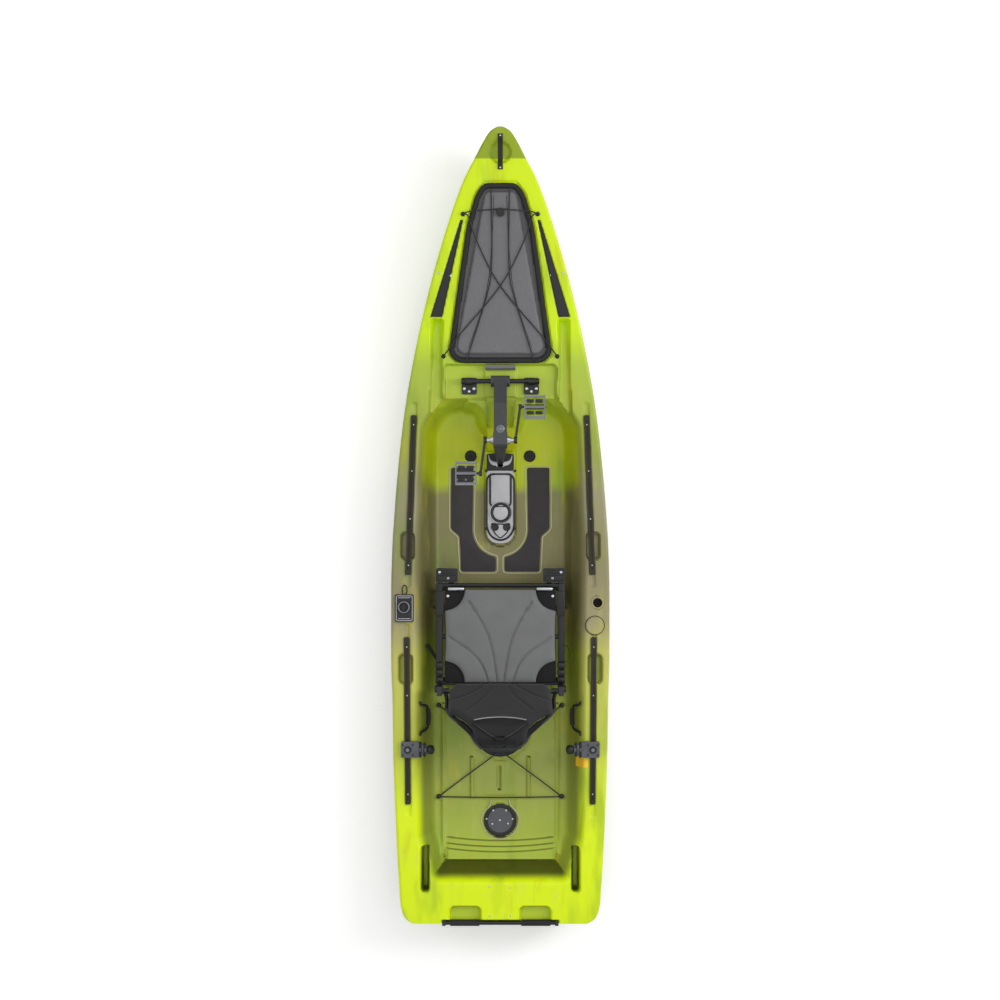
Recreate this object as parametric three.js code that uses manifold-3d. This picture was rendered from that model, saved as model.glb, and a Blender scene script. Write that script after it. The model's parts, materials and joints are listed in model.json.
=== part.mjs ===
// Pedal kayak: a sit-on-top hull with its hatches, rails, pedal drive, seat and rudder.
// Millimetres. +X is starboard, +Y is the bow, +Z is up. The origin is the bottom centre of the hull's box.
import * as THREE from 'three';
import { mergeVertices } from 'three/addons/utils/BufferGeometryUtils.js';
import Module from 'manifold-3d';

const wasm = await Module();
wasm.setup();

// Driving sizes of the whole boat
const LENGTH = 3810;
const HALF_BEAM = 523;
const GUNWALE_Z = 330;
const WALL = 6;
const GAP = 0.4;
const RUN_GAP = 0.8;
const OVERRUN = 60;
const MERGE_STEP = 0.0001;
const BOW_Y = LENGTH / 2;
const STERN_Y = -LENGTH / 2;
const BOW_RUN = 1119;
const STERN_RUN = 1145;

// Stations measured from the two ends at this length. In another length they close up or draw out between
// the end and the fore hatch or the seat, which keep their places.
const HATCH_AFT_Y = 786;
const SEAT_AFT_Y = -760;
const BOW_SHARE = (BOW_Y - HATCH_AFT_Y) / BOW_RUN;
const STERN_SHARE = (SEAT_AFT_Y - STERN_Y) / STERN_RUN;
const FROM_BOW = {
  stem: 485, fineStart: 1105, fineEnd: 185, hollow: 105, hatchNose: 258, hatchShoulder: 315, hatchKnee: 469,
  lidKnob: 402, insertNose: 437, insertAft: 895, trough: 905, recess: 120, handleFront: 31, handleAft: 199,
  padEye: 409,
};
const FROM_STERN = {
  rocker: 465, hollow: 35, cockpit: 425, well: 215, slotFront: 385, slotAft: 163, finger: 99, notch: 260,
  drain: 485, drainNeck: 612, roundHatch: 923, step: 33, padEyeFront: 1045, padEyeAft: 602, bar: 16,
  rudder: 215, rudderFront: 237, rudderAft: 57,
};

function bowY(run) {
  return BOW_Y - run * BOW_SHARE;
}

function sternY(run) {
  return STERN_Y + run * STERN_SHARE;
}

// Hull form
const HULL = {
  tipHalf: 14, tunnelDepth: 28, cornerRise: 34, bilgeRise: 115, shoulder: 24, lip: 7, stemRise: 345,
  stemStart: bowY(FROM_BOW.stem), sternRise: 88, sternStart: sternY(FROM_STERN.rocker), sheerStart: 690,
  sheerRise: 86, fineStart: bowY(FROM_BOW.fineStart), fineEnd: bowY(FROM_BOW.fineEnd),
  voidBow: BOW_Y - FROM_BOW.hollow, voidStern: STERN_Y + FROM_STERN.hollow,
};
// Half-beam along the hull: distance from the bow and half-beam, each as a share
const PLAN_SHARES = [
  [0, 0.03], [0.0015, 0.055], [0.005, 0.092], [0.02, 0.164], [0.035, 0.22], [0.0627, 0.325], [0.0942, 0.415],
  [0.157, 0.562], [0.22, 0.685], [0.282, 0.786], [0.345, 0.868], [0.408, 0.924], [0.47, 0.964],
    [0.533, 0.992],
  [0.58, 1], [0.66, 1], [0.72, 0.987], [0.785, 0.98], [0.847, 0.964], [0.91, 0.943], [0.95, 0.925],
  [0.972, 0.914], [0.982, 0.898], [0.989, 0.876], [0.9935, 0.842], [0.9961, 0.8],
];
// Half section: breadth as a share of the half-beam, amidships and at the bow, with its height rule
const SECTION_SHARES = [
  { mid: 0.1, bow: 0.1, height: 'keel' }, { mid: 0.19, bow: 0.24, height: 'tunnel' },
  { mid: 0.4, bow: 0.4, height: 'tunnel' }, { mid: 0.5, bow: 0.52, height: 'keel' },
  { mid: 0.76, bow: 0.62, height: 'keel' }, { mid: 0.93, bow: 0.78, height: 'corner' },
  { mid: 0.985, bow: 0.9, height: 'bilge' }, { mid: 1, bow: 1, height: 'shoulder' },
  { mid: 1, bow: 0.985, height: 'lip' }, { mid: 0.965, bow: 0.93, height: 'deck' },
];
const BOW_LIFT_SHARES = [0, 0.06, 0.16, 0.24, 0.36, 0.55, 0.78];

// Fore hatch
const HATCH = {
  noseY: bowY(FROM_BOW.hatchNose), noseX: 81, shoulderY: bowY(FROM_BOW.hatchShoulder), shoulderX: 122,
  kneeY: bowY(FROM_BOW.hatchKnee), kneeX: 165, aftX: 252, sideAftY: 832, aftY: HATCH_AFT_Y, corner: 48,
  arc: 30, shoulderArc: 40, rimDraft: 4, fit: 3, meet: 4, recess: 10, ledge: 30, rimZ: 13, rimWidth: 24,
  panelZ: 2, facetZ: 7, facetNoseX: 44, facetAftX: 178, facetAftY: 852, sealWidth: 12, sealZ: 3,
};
// Cockpit, footwells, tank well and decks
const COCKPIT = {
  frontY: 640, frontX: 292, shoulderY: 490, shoulderX: 384, midX: 410, midY: -60, aftX: 396,
  aftY: sternY(FROM_STERN.cockpit), wellAftY: sternY(FROM_STERN.well), wellAftX: 330, corner: 60, draft: 78,
  floorZ: 185, stepY: -437,
};
const FOOTWELL = {
  floorZ: 125, frontY: 606, lobeX: 262, sideX: 372, sideY: 470, draft: 46, corner: 90, spineX: 70,
  spineDeckZ: 312, spineKneeY: 430, spineKneeZ: 205, podX: 76, podZ: 150, podAftY: -88, podFrontY: 366,
  grooveX: 125, grooveZ: 96, grooveFrontY: 300, grooveAftY: -133, grooveDraft: 14,
};
const FORE_DECK = {
  x: 274, frontY: HATCH.aftY + HATCH.meet, aftY: 610, z: 300, corner: 26, draft: 8, blockX: 72,
  blockFrontY: 767, blockZ: 312,
};
const TROUGH = {
  innerX: 272, outerFrontX: 330, outerAftX: 350, frontY: bowY(FROM_BOW.trough), aftY: 540, depth: 34,
  draft: 12, corner: 14,
};
const STERN_DECK = {
  slotInX: 339, slotOutX: 380, slotFrontY: sternY(FROM_STERN.slotFront),
  slotAftY: sternY(FROM_STERN.slotAft), slotZ: 200, corner: 18,
};
const FINGER = { innerX: 90, outerX: 244, frontY: STERN_Y + FROM_STERN.finger, depth: 46, corner: 30 };
const TRACK = { x: 238, width: 31, depth: 12, frontY: -55, aftY: -850 };

// Drive well through the hull and the rudder notch
const WELL = { halfX: 40, frontY: 366, aftY: -46, dishR: 130, dishY: -8, dishZ: 46, corner: 20 };
const NOTCH = { halfX: 112, frontY: sternY(FROM_STERN.notch), z: 138, corner: 30 };
const SCUPPER = { x: 144, y: 350, r: 14, sides: 12 };

// Latch, knob and side inserts of the fore deck
const LATCH = {
  halfX: 72, lip: 5.4, depth: 23.6, topZ: 346, footZ: 318, chin: 9, lugOut: 44, lugIn: 32, pinR: 4,
};
const LID_KNOB = { y: bowY(FROM_BOW.lidKnob), r: 21, neckR: 9, z: 25, sides: 18 };
const INSERT = {
  noseY: bowY(FROM_BOW.insertNose), noseInX: 177, noseOutX: 190, aftY: bowY(FROM_BOW.insertAft),
  aftInX: 277, aftOutX: 333, recess: 7, ridge: 6, fit: 1.5,
};

const SIDES = [{ name: 'left', sign: -1 }, { name: 'right', sign: 1 }];

// Finishes
function finish(color, roughness, metalness) {
  return new THREE.MeshStandardMaterial({ color, roughness, metalness });
}
const LIME = finish(0xc3dc1e, 0.5, 0);
const BLACK = finish(0x242527, 0.6, 0);
const CHARCOAL = finish(0x55575a, 0.65, 0);
const MAT = finish(0x343031, 0.95, 0);
const GREY = finish(0xababae, 0.5, 0);
const RAIL = finish(0x4e4640, 0.45, 0.5);
const SILVER = finish(0xc9ccd0, 0.3, 0.9);
const CLOTH = finish(0x6f6c6d, 0.95, 0);
const DARK_CLOTH = finish(0x383637, 0.95, 0);

// Closed geometry to a solid, and back
function solid(geometry) {
  const bare = geometry.clone();
  bare.deleteAttribute('normal');
  bare.deleteAttribute('uv');
  const merged = mergeVertices(bare, MERGE_STEP);
  const vertProperties = new Float32Array(merged.attributes.position.array);
  const triVerts = new Uint32Array(merged.index.array);
  return new wasm.Manifold(new wasm.Mesh({ numProp: 3, vertProperties, triVerts }));
}

function geometryOf(body) {
  const mesh = body.getMesh();
  const points = [];
  for (let i = 0; i < mesh.numVert; i += 1) {
    points.push(...mesh.vertProperties.slice(i * mesh.numProp, i * mesh.numProp + 3));
  }
  const geometry = new THREE.BufferGeometry();
  geometry.setAttribute('position', new THREE.Float32BufferAttribute(points, 3));
  geometry.setIndex(Array.from(mesh.triVerts));
  return geometry;
}

function union(...bodies) {
  return bodies.reduce((sum, body) => sum.add(body));
}

function cut(body, ...tools) {
  return tools.reduce((rest, tool) => rest.subtract(tool), body);
}

function moved(geometry, x, y, z) {
  geometry.translate(x, y, z);
  return geometry;
}

// Box between two corners
function block(x0, x1, y0, y1, z0, z1) {
  const box = new THREE.BoxGeometry(Math.abs(x1 - x0), Math.abs(y1 - y0), Math.abs(z1 - z0));
  return solid(moved(box, (x0 + x1) / 2, (y0 + y1) / 2, (z0 + z1) / 2));
}

// Straight round or tapered bar between two points
function rod(from, to, r, sides = 12, endR = r) {
  const a = new THREE.Vector3(...from);
  const b = new THREE.Vector3(...to);
  const bar = new THREE.CylinderGeometry(endR, r, a.distanceTo(b), sides);
  const along = b.clone().sub(a).normalize();
  bar.applyQuaternion(new THREE.Quaternion().setFromUnitVectors(new THREE.Vector3(0, 1, 0), along));
  const middle = a.clone().add(b).divideScalar(2);
  return solid(moved(bar, middle.x, middle.y, middle.z));
}

// Turned body about a line along Z through x, y
function turned(profile, x, y, sides) {
  const lathe = new THREE.LatheGeometry(profile.map(([r, z]) => new THREE.Vector2(r, z)), sides);
  lathe.rotateX(Math.PI / 2);
  return solid(moved(lathe, x, y, 0));
}

// Round tube along a smooth route
function tube(route, r, steps, sides = 8) {
  const section = new THREE.Shape();
  for (let i = 0; i < sides; i += 1) {
    const turn = (i / sides) * 2 * Math.PI;
    const point = [r * Math.cos(turn), r * Math.sin(turn)];
    if (i === 0) section.moveTo(...point);
    else section.lineTo(...point);
  }
  section.closePath();
  const path = new THREE.CatmullRomCurve3(route.map((p) => new THREE.Vector3(...p)));
  return solid(new THREE.ExtrudeGeometry(section, { steps, extrudePath: path, curveSegments: 1 }));
}

// Skin through rings of equal point counts, closed by flat ends
function loft(rings) {
  const count = rings[0].length;
  const points = rings.flat().flat();
  const index = [];
  for (let r = 0; r + 1 < rings.length; r += 1) {
    for (let i = 0; i < count; i += 1) {
      const a = r * count + i;
      const b = r * count + ((i + 1) % count);
      index.push(a, b, a + count, b, b + count, a + count);
    }
  }
  const capOf = (ring) => {
    const origin = new THREE.Vector3(...ring[0]);
    const normal = new THREE.Vector3();
    for (let i = 0; i < count; i += 1) {
      const here = new THREE.Vector3(...ring[i]).sub(origin);
      const next = new THREE.Vector3(...ring[(i + 1) % count]).sub(origin);
      normal.add(here.cross(next));
    }
    normal.normalize();
    const turn = new THREE.Quaternion().setFromUnitVectors(normal, new THREE.Vector3(0, 0, 1));
    const flat = ring.map((p) => new THREE.Vector3(...p).applyQuaternion(turn));
    return THREE.ShapeUtils.triangulateShape(flat.map((p) => new THREE.Vector2(p.x, p.y)), []);
  };
  capOf(rings[0]).forEach(([a, b, c]) => index.push(a, c, b));
  const last = (rings.length - 1) * count;
  capOf(rings[rings.length - 1]).forEach(([a, b, c]) => index.push(last + a, last + b, last + c));
  const geometry = new THREE.BufferGeometry();
  geometry.setAttribute('position', new THREE.Float32BufferAttribute(points, 3));
  geometry.setIndex(volume(points, index) < 0 ? index.reverse() : index);
  return solid(geometry);
}

function volume(points, index) {
  let sum = 0;
  const corner = (i) => new THREE.Vector3(points[3 * i], points[3 * i + 1], points[3 * i + 2]);
  for (let i = 0; i < index.length; i += 3) {
    sum += corner(index[i]).dot(corner(index[i + 1]).cross(corner(index[i + 2])));
  }
  return sum;
}

// Moves every side of an outline outwards by the same distance
function offset(outline, distance) {
  const points = outline.map(([x, y]) => new THREE.Vector2(x, y));
  const way = THREE.ShapeUtils.area(points) > 0 ? 1 : -1;
  return points.map((point, i) => {
    const before = points[(i + points.length - 1) % points.length];
    const after = points[(i + 1) % points.length];
    const a = point.clone().sub(before).normalize();
    const b = after.clone().sub(point).normalize();
    const na = new THREE.Vector2(a.y, -a.x).multiplyScalar(way);
    const nb = new THREE.Vector2(b.y, -b.x).multiplyScalar(way);
    const mitre = na.clone().add(nb).divideScalar(1 + na.dot(nb));
    return [point.x + mitre.x * distance, point.y + mitre.y * distance];
  });
}

// Rounds each corner of an outline with an arc of a few steps
function rounded(outline, radius, steps = 2) {
  const points = outline.map(([x, y]) => new THREE.Vector2(x, y));
  const path = [];
  points.forEach((point, i) => {
    const before = points[(i + points.length - 1) % points.length].clone().sub(point);
    const after = points[(i + 1) % points.length].clone().sub(point);
    const r = Array.isArray(radius) ? radius[i] : radius;
    const reach = Math.min(r, before.length() * CORNER_REACH_SHARE, after.length() * CORNER_REACH_SHARE);
    if (reach <= 0) {
      path.push([point.x, point.y]);
      return;
    }
    const from = point.clone().add(before.setLength(reach));
    const to = point.clone().add(after.setLength(reach));
    const curve = new THREE.QuadraticBezierCurve(from, point, to);
    curve.getPoints(steps).forEach((p) => path.push([p.x, p.y]));
  });
  return path;
}

// Upright prism over an outline; its foot is narrower than its top by the draft on each side
function prism(outline, z0, z1, radius = 0, draft = 0, steps = 2) {
  const at = (line, z) => rounded(line, radius, steps).map(([x, y]) => [x, y, z]);
  return loft([at(offset(outline, -draft), z0), at(outline, z1)]);
}

// An outline given for the right half, mirrored to a whole one
function bothSides(half) {
  return [...half, ...half.map(([x, y]) => [-x, y]).reverse()];
}

function rectangle(x0, x1, y0, y1) {
  return [[x0, y0], [x1, y0], [x1, y1], [x0, y1]];
}

function mirrored(outline, sign) {
  return sign > 0 ? outline : outline.map(([x, y]) => [-x, y]).reverse();
}

function blend(value, from, to) {
  const t = Math.min(1, Math.max(0, (value - from) / (to - from)));
  return t * t * (3 - 2 * t);
}

const CORNER_REACH_SHARE = 0.49;

// Heights of the hull along its length
function sheerZ(y) {
  return GUNWALE_Z + HULL.sheerRise * Math.max(0, y - HULL.sheerStart) / (BOW_Y - HULL.sheerStart);
}

function keelZ(y) {
  const bow = Math.max(0, y - HULL.stemStart) / (BOW_Y - HULL.stemStart);
  const stern = Math.max(0, HULL.sternStart - y) / (HULL.sternStart - STERN_Y);
  return HULL.stemRise * bow ** 4 + HULL.sternRise * stern ** 2;
}

function halfBeam(share) {
  const last = PLAN_SHARES.length - 1;
  let i = 0;
  while (i < last - 1 && PLAN_SHARES[i + 1][0] < share) i += 1;
  const [s0, w0] = PLAN_SHARES[i];
  const [s1, w1] = PLAN_SHARES[i + 1];
  return HALF_BEAM * (w0 + (w1 - w0) * (share - s0) / (s1 - s0));
}

// One closed section of the hull, moved inwards by the inset
function section(share, inset) {
  const y = BOW_Y - share * LENGTH;
  const half = Math.max(halfBeam(share) - inset, HULL.tipHalf);
  const fine = blend(y, HULL.fineStart, HULL.fineEnd);
  const keel = keelZ(y) + inset;
  const deck = sheerZ(y) - inset;
  const depth = deck - keel;
  const heights = {
    keel, tunnel: keel + HULL.tunnelDepth * (1 - fine), corner: keel + HULL.cornerRise,
      bilge: keel + HULL.bilgeRise,
    shoulder: deck - HULL.shoulder, lip: deck - HULL.lip, deck,
  };
  const side = SECTION_SHARES.map((point, i) => {
    const x = half * (point.mid + (point.bow - point.mid) * fine);
    const lift = BOW_LIFT_SHARES[i] ?? 1;
    const bowZ = i < BOW_LIFT_SHARES.length ? keel + depth * lift : heights[point.height];
    return [x, y, heights[point.height] * (1 - fine) + bowZ * fine];
  });
  return [...side, ...side.map(([x, py, z]) => [-x, py, z]).reverse()];
}

function hullBody(inset) {
  const used = PLAN_SHARES.filter(([share], i) => {
    const y = BOW_Y - share * LENGTH;
    return inset === 0 || (i % 2 === 0 && y < HULL.voidBow && y > HULL.voidStern);
  });
  return loft(used.map(([share]) => section(share, inset)));
}

// The deck rises towards the bow as one plane; pieces on it are made flat and then tilted onto it
const DECK_TILT = Math.atan2(HULL.sheerRise, BOW_Y - HULL.sheerStart);

function onDeck(body) {
  const geometry = geometryOf(body);
  geometry.translate(0, -HULL.sheerStart, 0);
  geometry.rotateX(DECK_TILT);
  geometry.translate(0, HULL.sheerStart, GUNWALE_Z);
  return solid(geometry);
}

// Top view outlines that pieces share
const HATCH_OUTLINE = bothSides([
  [HATCH.aftX - HATCH.corner, HATCH.aftY], [HATCH.aftX, HATCH.sideAftY], [HATCH.kneeX, HATCH.kneeY],
  [HATCH.shoulderX, HATCH.shoulderY], [HATCH.noseX, HATCH.noseY],
]);
const HATCH_SIDE_RADII = [HATCH.arc, HATCH.arc, 0, HATCH.shoulderArc, HATCH.arc];
const HATCH_RADII = [...HATCH_SIDE_RADII, ...HATCH_SIDE_RADII.slice().reverse()];
const INSERT_OUTLINE = [
  [INSERT.aftInX, INSERT.aftY], [INSERT.aftOutX, INSERT.aftY], [INSERT.noseOutX, INSERT.noseY],
  [INSERT.noseInX, INSERT.noseY],
];
const DRAIN = {
  y: sternY(FROM_STERN.drain), r: 88, plateR: 79, plateZ: 8, recess: 12, holeR: 58, neckX: 76,
  neckY: sternY(FROM_STERN.drainNeck), sides: 24,
};
const ROUND_HATCH = { y: sternY(FROM_STERN.roundHatch), r: 128, boreR: 104, z: 12, sides: 24 };
const ROD_HOLE = { x: 465, y: -355, r: 24, depth: 200, lean: 46, sides: 14 };
const CAP = { x: 452, y: -464, r: 43.6, holeR: 34, depth: 90, z: 9, tabX: 411, tabWidth: 24, sides: 20 };
const RAIL_BAR = { width: 26, z: 16, sink: 8, slotWidth: 9, slotDepth: 8, end: 62, fit: 2 };
const RAILS = [
  { name: 'front', frontX: 412.5, frontY: 542, aftX: 441, aftY: -222 },
  { name: 'rear', frontX: 447.5, frontY: -519, aftX: 441, aftY: -1319 },
];
const POCKETS = [
  { inX: 408, outX: 479, frontY: -17, aftY: -151 }, { inX: 417, outX: 489, frontY: -600, aftY: -745 },
];
const POCKET = { depth: 15, corner: 26, draft: 8 };
const BOW_RECESS = { y: bowY(FROM_BOW.recess), r: 53, depth: 16, sides: 16 };
const HANDLE_BOSS = { drop: 3, frontY: -818, aftY: -1003, width: 20, height: 21, depth: 50 };
const SIDE_HANDLE = { drop: 12, reachDrop: 74, r: 6, clear: 5, bend: 34, steps: 16, sides: 6 };
const STERN_STEP = { halfX: 282, barIn: 9, blockIn: 20, frontY: STERN_Y + FROM_STERN.step, z: 296 };
const PAD_EYE = {
  r: 8, z: 4, sides: 6, frontX: 178, frontY: bowY(FROM_BOW.padEye), aftX: 272, aftY: 822, tankX: 299,
  tankFrontY: sternY(FROM_STERN.padEyeFront), tankAftY: sternY(FROM_STERN.padEyeAft),
};

const TOP_Z = GUNWALE_Z + HULL.sheerRise + OVERRUN;

// Everything open to the sky, each grown by the wall where the hollow inside is cut clear of it
function cockpitCut(grow) {
  const upper = offset(bothSides([
    [COCKPIT.frontX, COCKPIT.frontY], [COCKPIT.shoulderX, COCKPIT.shoulderY], [COCKPIT.midX, COCKPIT.midY],
    [COCKPIT.aftX, COCKPIT.aftY], [COCKPIT.wellAftX, COCKPIT.wellAftY],
  ]), grow);
  const top = prism(upper, COCKPIT.floorZ - grow, GUNWALE_Z, COCKPIT.corner, COCKPIT.draft);
  const above = prism(upper, GUNWALE_Z, TOP_Z, COCKPIT.corner);
  const foot = offset(bothSides([
    [FOOTWELL.lobeX, FOOTWELL.frontY], [FOOTWELL.sideX, FOOTWELL.sideY], [FOOTWELL.sideX, COCKPIT.stepY],
  ]), grow);
  const lower = prism(foot, FOOTWELL.floorZ - grow, FOOTWELL.spineDeckZ, FOOTWELL.corner, FOOTWELL.draft);
  const spine = spineBody(grow);
  return cut(union(top, above, lower, grooveCut(grow)), spine);
}

// The raised spine between the footwells and the pod that carries the well cover
function spineBody(grow) {
  const podX = FOOTWELL.podX - grow;
  const pod = prism(rectangle(-podX, podX, FOOTWELL.podAftY + grow, FOOTWELL.podFrontY + OVERRUN),
    -OVERRUN, FOOTWELL.podZ - grow, [podX, podX, 0, 0], 0, 6);
  const x = FOOTWELL.spineX - grow;
  const side = [
    [COCKPIT.frontY + OVERRUN, FOOTWELL.podZ - OVERRUN], [FOOTWELL.podFrontY + grow, FOOTWELL.podZ - OVERRUN],
    [FOOTWELL.podFrontY + grow, FOOTWELL.podZ - grow],
      [FOOTWELL.spineKneeY + grow, FOOTWELL.spineKneeZ - grow],
    [FORE_DECK.aftY + grow, FORE_DECK.z - grow], [COCKPIT.frontY + OVERRUN, FORE_DECK.z - grow],
  ];
  const spine = loft([side.map(([y, z]) => [-x, y, z]), side.map(([y, z]) => [x, y, z])]);
  return union(pod, spine);
}

function grooveCut(grow) {
  const x = FOOTWELL.grooveX + grow;
  const line = rectangle(-x, x, FOOTWELL.grooveAftY - grow, FOOTWELL.grooveFrontY + grow);
  return prism(line, FOOTWELL.grooveZ - grow, FOOTWELL.podZ + OVERRUN, [x, x, 0, 0], FOOTWELL.grooveDraft, 8);
}

function foreDeckCut(grow) {
  const x = FORE_DECK.x + grow;
  const line = rectangle(-x, x, FORE_DECK.aftY - OVERRUN, FORE_DECK.frontY + grow);
  const deck = prism(line, FORE_DECK.z - grow, TOP_Z, FORE_DECK.corner, FORE_DECK.draft);
  const blockX = FORE_DECK.blockX - grow;
  return cut(deck, block(-blockX, blockX, FORE_DECK.aftY - 2 * OVERRUN, FORE_DECK.blockFrontY - grow,
    FORE_DECK.z - OVERRUN, FORE_DECK.blockZ - grow));
}

function troughCut(grow, sign) {
  const line = mirrored([
    [TROUGH.innerX - grow, TROUGH.aftY - grow], [TROUGH.outerAftX + grow, TROUGH.aftY - grow],
    [TROUGH.outerFrontX + grow, TROUGH.frontY + grow], [TROUGH.innerX - grow, TROUGH.frontY + grow],
  ], sign);
  return prism(line, GUNWALE_Z - TROUGH.depth - grow, TOP_Z, TROUGH.corner, TROUGH.draft);
}

function railPoint(rail, y) {
  const share = (y - rail.aftY) / (rail.frontY - rail.aftY);
  return rail.aftX + (rail.frontX - rail.aftX) * share;
}

// Long bar outline along one rail, from y0 to y1
function railOutline(rail, y0, y1, width, sign) {
  return mirrored([
    [railPoint(rail, y0) - width / 2, y0], [railPoint(rail, y0) + width / 2, y0],
    [railPoint(rail, y1) + width / 2, y1], [railPoint(rail, y1) - width / 2, y1],
  ], sign);
}

// Channels for the four rails and the finger pockets beneath them
function railCuts(sign) {
  const channels = RAILS.map((rail) => {
    const line = railOutline(rail, rail.aftY - RAIL_BAR.end, rail.frontY + RAIL_BAR.end,
      RAIL_BAR.width + 2 * RAIL_BAR.fit, sign);
    return prism(line, GUNWALE_Z - RAIL_BAR.sink, TOP_Z, RAIL_BAR.width / 2);
  });
  const pockets = POCKETS.map((pocket) => {
    const line = mirrored(rectangle(pocket.inX, pocket.outX, pocket.aftY, pocket.frontY), sign);
    return prism(line, GUNWALE_Z - POCKET.depth, TOP_Z, POCKET.corner, POCKET.draft);
  });
  return [...channels, ...pockets];
}

// The hollow stays below all of them in one step
function gunwaleRoom(grow, sign) {
  const [fore, aft] = RAILS;
  const line = mirrored([
    [POCKETS[0].inX - grow, aft.aftY - RAIL_BAR.end - grow],
      [POCKETS[1].outX + grow, aft.aftY - RAIL_BAR.end - grow],
    [POCKETS[1].outX + grow, fore.aftY], [fore.frontX + RAIL_BAR.width + grow,
      fore.frontY + RAIL_BAR.end + grow],
    [fore.frontX - RAIL_BAR.width - grow, fore.frontY + RAIL_BAR.end + grow],
  ], sign);
  return prism(line, GUNWALE_Z - POCKET.depth - grow, TOP_Z);
}

function gunwaleCuts(grow, side) {
  const { sign } = side;
  const parts = [troughCut(grow, sign), ...(grow > 0 ? [gunwaleRoom(grow, sign)] : railCuts(sign))];
  const slot = offset(mirrored(rectangle(STERN_DECK.slotInX, STERN_DECK.slotOutX, STERN_DECK.slotAftY,
    STERN_DECK.slotFrontY), sign), grow);
  parts.push(prism(slot, STERN_DECK.slotZ - grow, TOP_Z, STERN_DECK.corner));
  const reach = rectangle(FINGER.innerX, FINGER.outerX, STERN_Y - OVERRUN, FINGER.frontY);
  const finger = offset(mirrored(reach, sign), grow);
  parts.push(prism(finger, GUNWALE_Z - FINGER.depth - grow, TOP_Z, FINGER.corner));
  const insert = offset(mirrored(INSERT_OUTLINE, sign), INSERT.fit + grow);
  parts.push(onDeck(prism(insert, -INSERT.recess - grow, OVERRUN)));
  return parts;
}

function roundCuts(grow) {
  const drainZ = COCKPIT.floorZ - DRAIN.recess - grow;
  const drain = rod([0, DRAIN.y, drainZ], [0, DRAIN.y, TOP_Z], DRAIN.r + grow, DRAIN.sides);
  const neckX = DRAIN.neckX + grow;
  const neck = block(-neckX, neckX, DRAIN.y, DRAIN.neckY + grow, COCKPIT.floorZ - DRAIN.recess / 2 - grow,
    TOP_Z);
  const bow = rod([0, BOW_RECESS.y, sheerZ(BOW_RECESS.y) - BOW_RECESS.depth - grow], [0, BOW_RECESS.y, TOP_Z],
    BOW_RECESS.r + grow, BOW_RECESS.sides);
  const holder = rod([ROD_HOLE.x, ROD_HOLE.y + ROD_HOLE.lean, GUNWALE_Z - ROD_HOLE.depth - grow],
    [ROD_HOLE.x, ROD_HOLE.y - ROD_HOLE.lean * OVERRUN / ROD_HOLE.depth, GUNWALE_Z + OVERRUN],
    ROD_HOLE.r + grow, ROD_HOLE.sides);
  const step = block(-STERN_STEP.halfX - grow, STERN_STEP.halfX + grow, STERN_Y - OVERRUN,
    STERN_STEP.frontY + grow,
    STERN_STEP.z - grow, TOP_Z);
  const cup = rod([CAP.x, CAP.y, GUNWALE_Z - CAP.depth - grow], [CAP.x, CAP.y, TOP_Z], CAP.holeR + grow,
    CAP.sides);
  return [drain, neck, bow, holder, step, cup];
}

// Openings from below: the drive well with its propeller dish, the rudder notch and the scuppers
function undersideCuts(grow) {
  const x = WELL.halfX + grow;
  const slot = prism(rectangle(-x, x, WELL.aftY - grow, WELL.frontY + grow), -OVERRUN,
    FOOTWELL.podZ + OVERRUN,
    WELL.corner);
  const dish = rod([0, WELL.dishY, -OVERRUN], [0, WELL.dishY, WELL.dishZ + grow], WELL.dishR + grow,
    2 * SCUPPER.sides);
  const notchX = NOTCH.halfX + grow;
  const notch = prism(rectangle(-notchX, notchX, STERN_Y - OVERRUN, NOTCH.frontY + grow), -OVERRUN,
    NOTCH.z + grow,
    NOTCH.corner);
  const drains = SIDES.map(({ sign }) => rod([sign * SCUPPER.x, SCUPPER.y, -OVERRUN],
    [sign * SCUPPER.x, SCUPPER.y, GUNWALE_Z], SCUPPER.r + grow, SCUPPER.sides));
  return [slot, dish, notch, ...drains];
}

function trackCuts(grow) {
  return SIDES.map(({ sign }) => {
    const inX = sign * (TRACK.x - TRACK.width / 2 - grow);
    const outX = sign * (TRACK.x + TRACK.width / 2 + grow);
    const lowZ = FOOTWELL.floorZ - TRACK.depth - grow;
    const highZ = COCKPIT.floorZ - TRACK.depth - grow;
    const fore = block(inX, outX, COCKPIT.stepY - COCKPIT.draft, TRACK.frontY + grow, lowZ,
      FOOTWELL.floorZ + OVERRUN);
    return union(fore, block(inX, outX, TRACK.aftY - grow, TRACK.frontY + grow, highZ,
      COCKPIT.floorZ + OVERRUN));
  });
}

function hatchRecess(grow) {
  return onDeck(prism(offset(HATCH_OUTLINE, HATCH.fit + grow), -HATCH.recess - grow, OVERRUN, HATCH_RADII));
}

// Inner side wall of the tank well, and the carry handle that hangs along it
function wallX(y, drop) {
  const share = (y - COCKPIT.aftY) / (COCKPIT.midY - COCKPIT.aftY);
  const topX = COCKPIT.aftX + (COCKPIT.midX - COCKPIT.aftX) * share;
  return topX - COCKPIT.draft * drop / (GUNWALE_Z - COCKPIT.floorZ);
}

function handleX(drop) {
  return wallX(HANDLE_BOSS.aftY, drop) - SIDE_HANDLE.r - SIDE_HANDLE.clear;
}

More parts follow.
